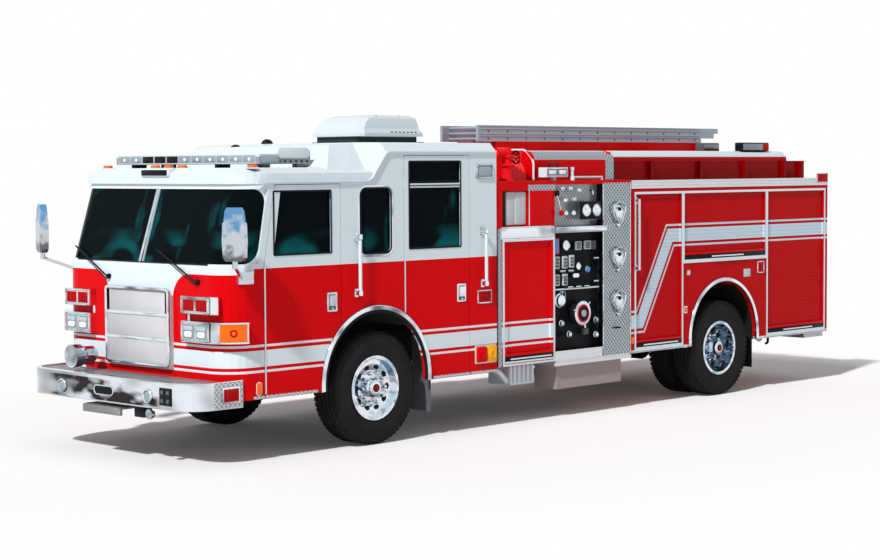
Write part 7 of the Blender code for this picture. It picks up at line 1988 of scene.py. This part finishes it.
@dataclass
class Rear(Kit):
    """Rear lamps, grab rails, blank plate, step edge and tow eyes."""

    face_x: float = 4.86

    def pair(self) -> None:
        """Model the left rear lamps and rails."""
        face = rear_face(self.face_x)
        for low, lens in ((1.02, RED_LENS), (1.15, AMBER_LENS), (1.28, CLEAR_LENS), (2.24, RED_LENS)):
            self.panel(CHROME, face, (-1.2, low, -1.02, low + 0.118), 0.01, corner=0.012, bevel=0.004, hollow=0.012)
            self.panel(lens, face, (-1.19, low + 0.01, -1.03, low + 0.108), 0.012, corner=0.008, bevel=0.004)
        x = self.face_x + 0.06
        self.rod(
            CHROME, rounded_path(((self.face_x, -0.9, 1.8), (x - 0.012, -0.9, 1.8), (x - 0.012, -0.9, 2.32),
            (self.face_x, -0.9, 2.32)), 0.03), 0.015, resolution=3)
        self.rod(
            BLACK_STEEL, rounded_path(((4.8, -0.4, 0.5), (4.845, -0.4, 0.47), (4.845, -0.4, 0.4), (4.8, -0.4, 0.39)),
            0.02), 0.016, resolution=2)

    def middle(self) -> None:
        """Model the shutter, blank plate and clearance lamps of the rear face."""
        face = rear_face(self.face_x)
        self.panel(ALUMINIUM, face, (-0.62, 0.64, 0.62, 1.72), 0.008, hollow=0.03)
        for row in range(25):
            z = 0.7 + row * SLAT_PITCH
            self.panel(ALUMINIUM, face, (-0.592, z, 0.592, z + 0.037), 0.004, bevel=0.0015)
        self.rod(CHROME, ((self.face_x + 0.022, -0.2, 0.7), (self.face_x + 0.022, 0.2, 0.7)), 0.01, resolution=2)
        self.panel(PALE_PLASTIC, face, (-0.98, 0.7, -0.68, 0.85), 0.004, corner=0.008)
        for y in (-0.2, 0.0, 0.2, -1.1, 1.1):
            self.panel(RED_LENS, face, (y - 0.045, 2.38, y + 0.045, 2.412), 0.014, corner=0.008, bevel=0.004)
        self.box(CHROME, (self.face_x - 0.008, -1.18, 0.53), (self.face_x + 0.006, 1.18, 0.586), 0.004)

    def top(self) -> None:
        """Model the light units on the body's top."""
        self.box(GREY_PLASTIC, (at(6.52), -0.12, 2.758), (at(6.86), 0.12, 2.868), 0.02, segments=3)
        self.box(SMOKED_LENS, (at(6.54), -0.128, 2.79), (at(6.84), -0.11, 2.85), 0.008)
        self.box(BLACK_GLOSS, (at(6.15), -0.96, 2.756), (at(6.69), -0.85, 2.86), 0.014, segments=3)
        self.box(SMOKED_LENS, (at(6.17), -0.966, 2.772), (at(6.56), -0.952, 2.846), 0.008)
        self.box(RED_LENS, (at(6.57), -0.966, 2.772), (at(6.68), -0.952, 2.846), 0.008)

    def build(self) -> None:
        """Model and hand over the rear."""
        self.pair()
        self.mirror()
        self.close("rear_pair")
        self.middle()
        self.top()
        self.close("rear")


@dataclass
class LadderTrim(Kit):
    """Rail flanges and rung ends of the stacked ladders."""

    flanges: Point = (2.872, 2.926, 2.95, 3.004, 3.036)
    rungs: Point = (2.9, 2.978)
    pitch: float = 0.305

    def build(self) -> None:
        """Model and hand over the ladder trim."""
        low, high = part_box("ladders")
        for y, side in ((low[1], LEFT), (high[1], RIGHT)):
            for z in self.flanges:
                self.box(LADDER_ALLOY, (low[0] + 0.02, y - 0.006, z - 0.004), (at(6.6), y + 0.006, z + 0.004), 0.0015)
            for z in self.rungs:
                end = self.turned(
                    GREY_PLASTIC, (low[0] + 0.16, y, z), (0, side, 0), ((0, 0.013), (0.003, 0.012), (0.004, 0.006)),
                    sides=10)
                self.copy(end, GREY_PLASTIC, [Matrix.Translation((self.pitch * step, 0, 0)) for step in range(1, 13)])
        self.close("ladder_trim")


# ---- Wheels


@dataclass
class WheelSet(Kit):
    """Hand holes, nuts, hub and tyre detail of one wheel."""

    x: float
    outer_y: float
    tyre_y: float
    hub_reach: float
    hole_radius: float
    tyres: Point
    hub_y: float
    nut_ring: float = 0.1435
    tyre_half: float = 0.14
    nuts: int = 10
    lugs: int = 60
    height: float = AXLE_HEIGHT
    tyre_radius: float = 0.532

    def round_axle(self, count: int, skew: float = 0.0) -> list[Matrix]:
        """Work out how copies are turned about the axle.

        Args:
            count: places round the axle, with the first already taken.
            skew: angle added to each turn.

        Returns:
            The turns.
        """
        centre = Matrix.Translation((self.x, 0, self.height))
        return [
            centre @ Matrix.Rotation(skew + math.tau * step / count, 4, "Y") @ centre.inverted()
            for step in range(1, count)]

    def build(self, side: int) -> None:
        """Model and hand over the wheel's detail.

        Args:
            side: LEFT or RIGHT.
        """
        out = (0, side, 0)
        y = side * self.outer_y
        nut = self.turned(
            CHROME, (self.x + self.nut_ring, y - side * self.hub_reach, self.height), out,
            ((0, 0.02), (0.012, 0.019), (0.04, 0.016), (0.046, 0.01)), sides=6)
        turns = self.round_axle(self.nuts)
        self.copy(nut, CHROME, turns)
        hole = self.turned(
            BLACK_GLOSS, (self.x + self.hole_radius, y - side * (self.hub_reach + 0.004), self.height), out,
            ((0, 0.03), (0.006, 0.03), (0.007, 0.024)), sides=20)
        self.copy(hole, BLACK_GLOSS, turns)
        self.rod(
            RUBBER, circle((self.x, side * self.tyre_y, self.height), self.tyre_radius - 0.115, 48), 0.005,
            resolution=0, closed=True)
        hub = (self.x, side * self.hub_y, self.height)
        self.turned(CHROME, hub, out, ((-0.03, 0.078), (0.002, 0.074), (0.01, 0.06), (0.012, 0.044)), sides=32)
        self.turned(BLACK_GLOSS, hub, out, ((0.008, 0.04), (0.018, 0.038), (0.02, 0.028)), sides=24)
        # The red lens glows faintly: painted light on a hub centre that is no lamp.
        self.turned(RED_LENS, hub, out, ((0.016, 0.026), (0.026, 0.022), (0.029, 0.01)), sides=20)
        for middle_y in self.tyres:
            for edge, skew in ((-1, 0.0), (1, math.pi / self.lugs)):
                y0 = side * middle_y + edge * (self.tyre_half - 0.004)
                lug = self.box(
                    RUBBER, (self.x - 0.021, y0, self.height + 0.5),
                    (self.x + 0.021, y0 - edge * 0.052, self.height + self.tyre_radius - 0.003), 0.005, segments=1)
                self.copy(lug, RUBBER, self.round_axle(self.lugs, skew))
        self.rod(
            RUBBER, circle((self.x, side * (self.tyre_y - 0.004), self.height), self.tyre_radius - 0.06, 48), 0.004,
            resolution=0, closed=True)
        self.close("wheel_trim")


# ---- Seats


@dataclass(frozen=True)
class Cushion:
    """A crowned pad with sewn channels."""

    name: str
    low: Point
    high: Point
    channels: int
    along: int
    crown: float = 0.022

    def build(self, node: str) -> None:
        """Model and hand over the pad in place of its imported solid.

        Args:
            node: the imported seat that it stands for.
        """
        size = [b - a for a, b in zip(self.low, self.high)]
        middle = [(a + b) / 2 for a, b in zip(self.low, self.high)]
        clear_selection()
        bpy.ops.mesh.primitive_cube_add(size=1, location=middle, scale=size)
        pad = bpy.context.object
        start_edit()
        bpy.ops.mesh.bevel(offset=min(size) * 0.28, segments=3, affect="EDGES")
        bpy.ops.mesh.select_all(action="SELECT")
        bpy.ops.mesh.subdivide(number_cuts=5)
        bpy.ops.object.mode_set(mode="OBJECT")
        for vertex in pad.data.vertices:
            share = [(vertex.co[i] - middle[i]) / (size[i] / 2) for i in range(3)]
            swell = [1 - min(abs(part), 1.0) ** 2 for part in share]
            thin = size.index(min(size))
            others = [i for i in range(3) if i != thin]
            puff = swell[others[0]] * swell[others[1]]
            seam = abs(math.sin(math.pi * self.channels * (share[self.along] + 1) / 2)) ** 0.35
            vertex.co[thin] += math.copysign(self.crown * puff * (0.45 + 0.55 * seam), share[thin])
            for i in others:
                vertex.co[i] += math.copysign(0.012 * swell[thin] * abs(share[i]), share[i]) - share[i] * 0.01
        pad.name = self.name
        pad.data.materials.append(SEAT_CLOTH.make())
        bpy.ops.object.shade_smooth()
        modifier = pad.modifiers.new("round", "SUBSURF")
        modifier.levels = modifier.render_levels = 1
        bpy.ops.object.modifier_apply(modifier="round")
        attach(pad, "chassis")
        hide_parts(node)


@dataclass
class CabSeats(Kit):
    """Front seats and the crew bench as cushions on pedestals."""

    cushion_thick: float = 0.13
    back_thick: float = 0.13

    def build(self) -> None:
        """Model and hand over all seats."""
        for node in ("driver_seat", "officer_seat", "crew_seats"):
            low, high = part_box(node)
            depth, places = high[0] - low[0], 1 if node != "crew_seats" else 3
            wide = (high[1] - low[1]) / places
            seat_top = low[2] + (0.33 if places == 1 else 0.42)
            for place in range(places):
                y0, y1 = low[1] + wide * place + 0.012, low[1] + wide * (place + 1) - 0.012
                Cushion(f"{node}.cushion.{place}", (low[0] + 0.02, y0, seat_top - self.cushion_thick),
                        (high[0] - 0.1, y1, seat_top - 0.02), 3, 1).build(node)
                Cushion(f"{node}.back.{place}", (high[0] - self.back_thick - 0.02, y0 + 0.01, seat_top - 0.02),
                        (high[0] - 0.02, y1 - 0.01, high[2] - 0.2), 3, 1).build(node)
                Cushion(f"{node}.head.{place}", (high[0] - self.back_thick, (y0 + y1) / 2 - 0.13, high[2] - 0.19),
                        (high[0] - 0.03, (y0 + y1) / 2 + 0.13, high[2] - 0.01), 1, 1, crown=0.012).build(node)
                self.box(
                    GREY_PLASTIC, (low[0] + 0.05, y0 + 0.05, low[2]),
                    (high[0] - 0.06, y1 - 0.05, seat_top - self.cushion_thick + 0.01), 0.02)
            LOG.info("%s: %d place(s), %.2f m deep", node, places, depth)
        self.close("seat_base")


# ---- Whole vehicle


def main() -> None:
    """Build the studio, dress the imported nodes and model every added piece."""
    logging.basicConfig(level=logging.INFO, format="%(message)s")
    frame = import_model()
    Studio().build()
    NodeDressing().apply(frame["nodes"])
    FrontEnd().build()
    CabSide().build()
    RoofKit().build()
    PumpModule().build()
    BodySide().build()
    Rear().build()
    LadderTrim().build()
    CabSeats().build()
    for side, word in ((LEFT, "left"), (RIGHT, "right")):
        front = WheelSet(at(0.0), 1.21, 1.205, 0.06, 0.205, (1.054,), 1.2, body=f"wheel_front_{word}")
        rear = WheelSet(at(REAR_AXLE_AT), 1.223, 1.226, 0.14, 0.205, (0.755, 1.09), 1.214, body=f"wheel_rear_{word}")
        front.build(side)
        rear.build(side)


if __name__ == "__main__":
    main()
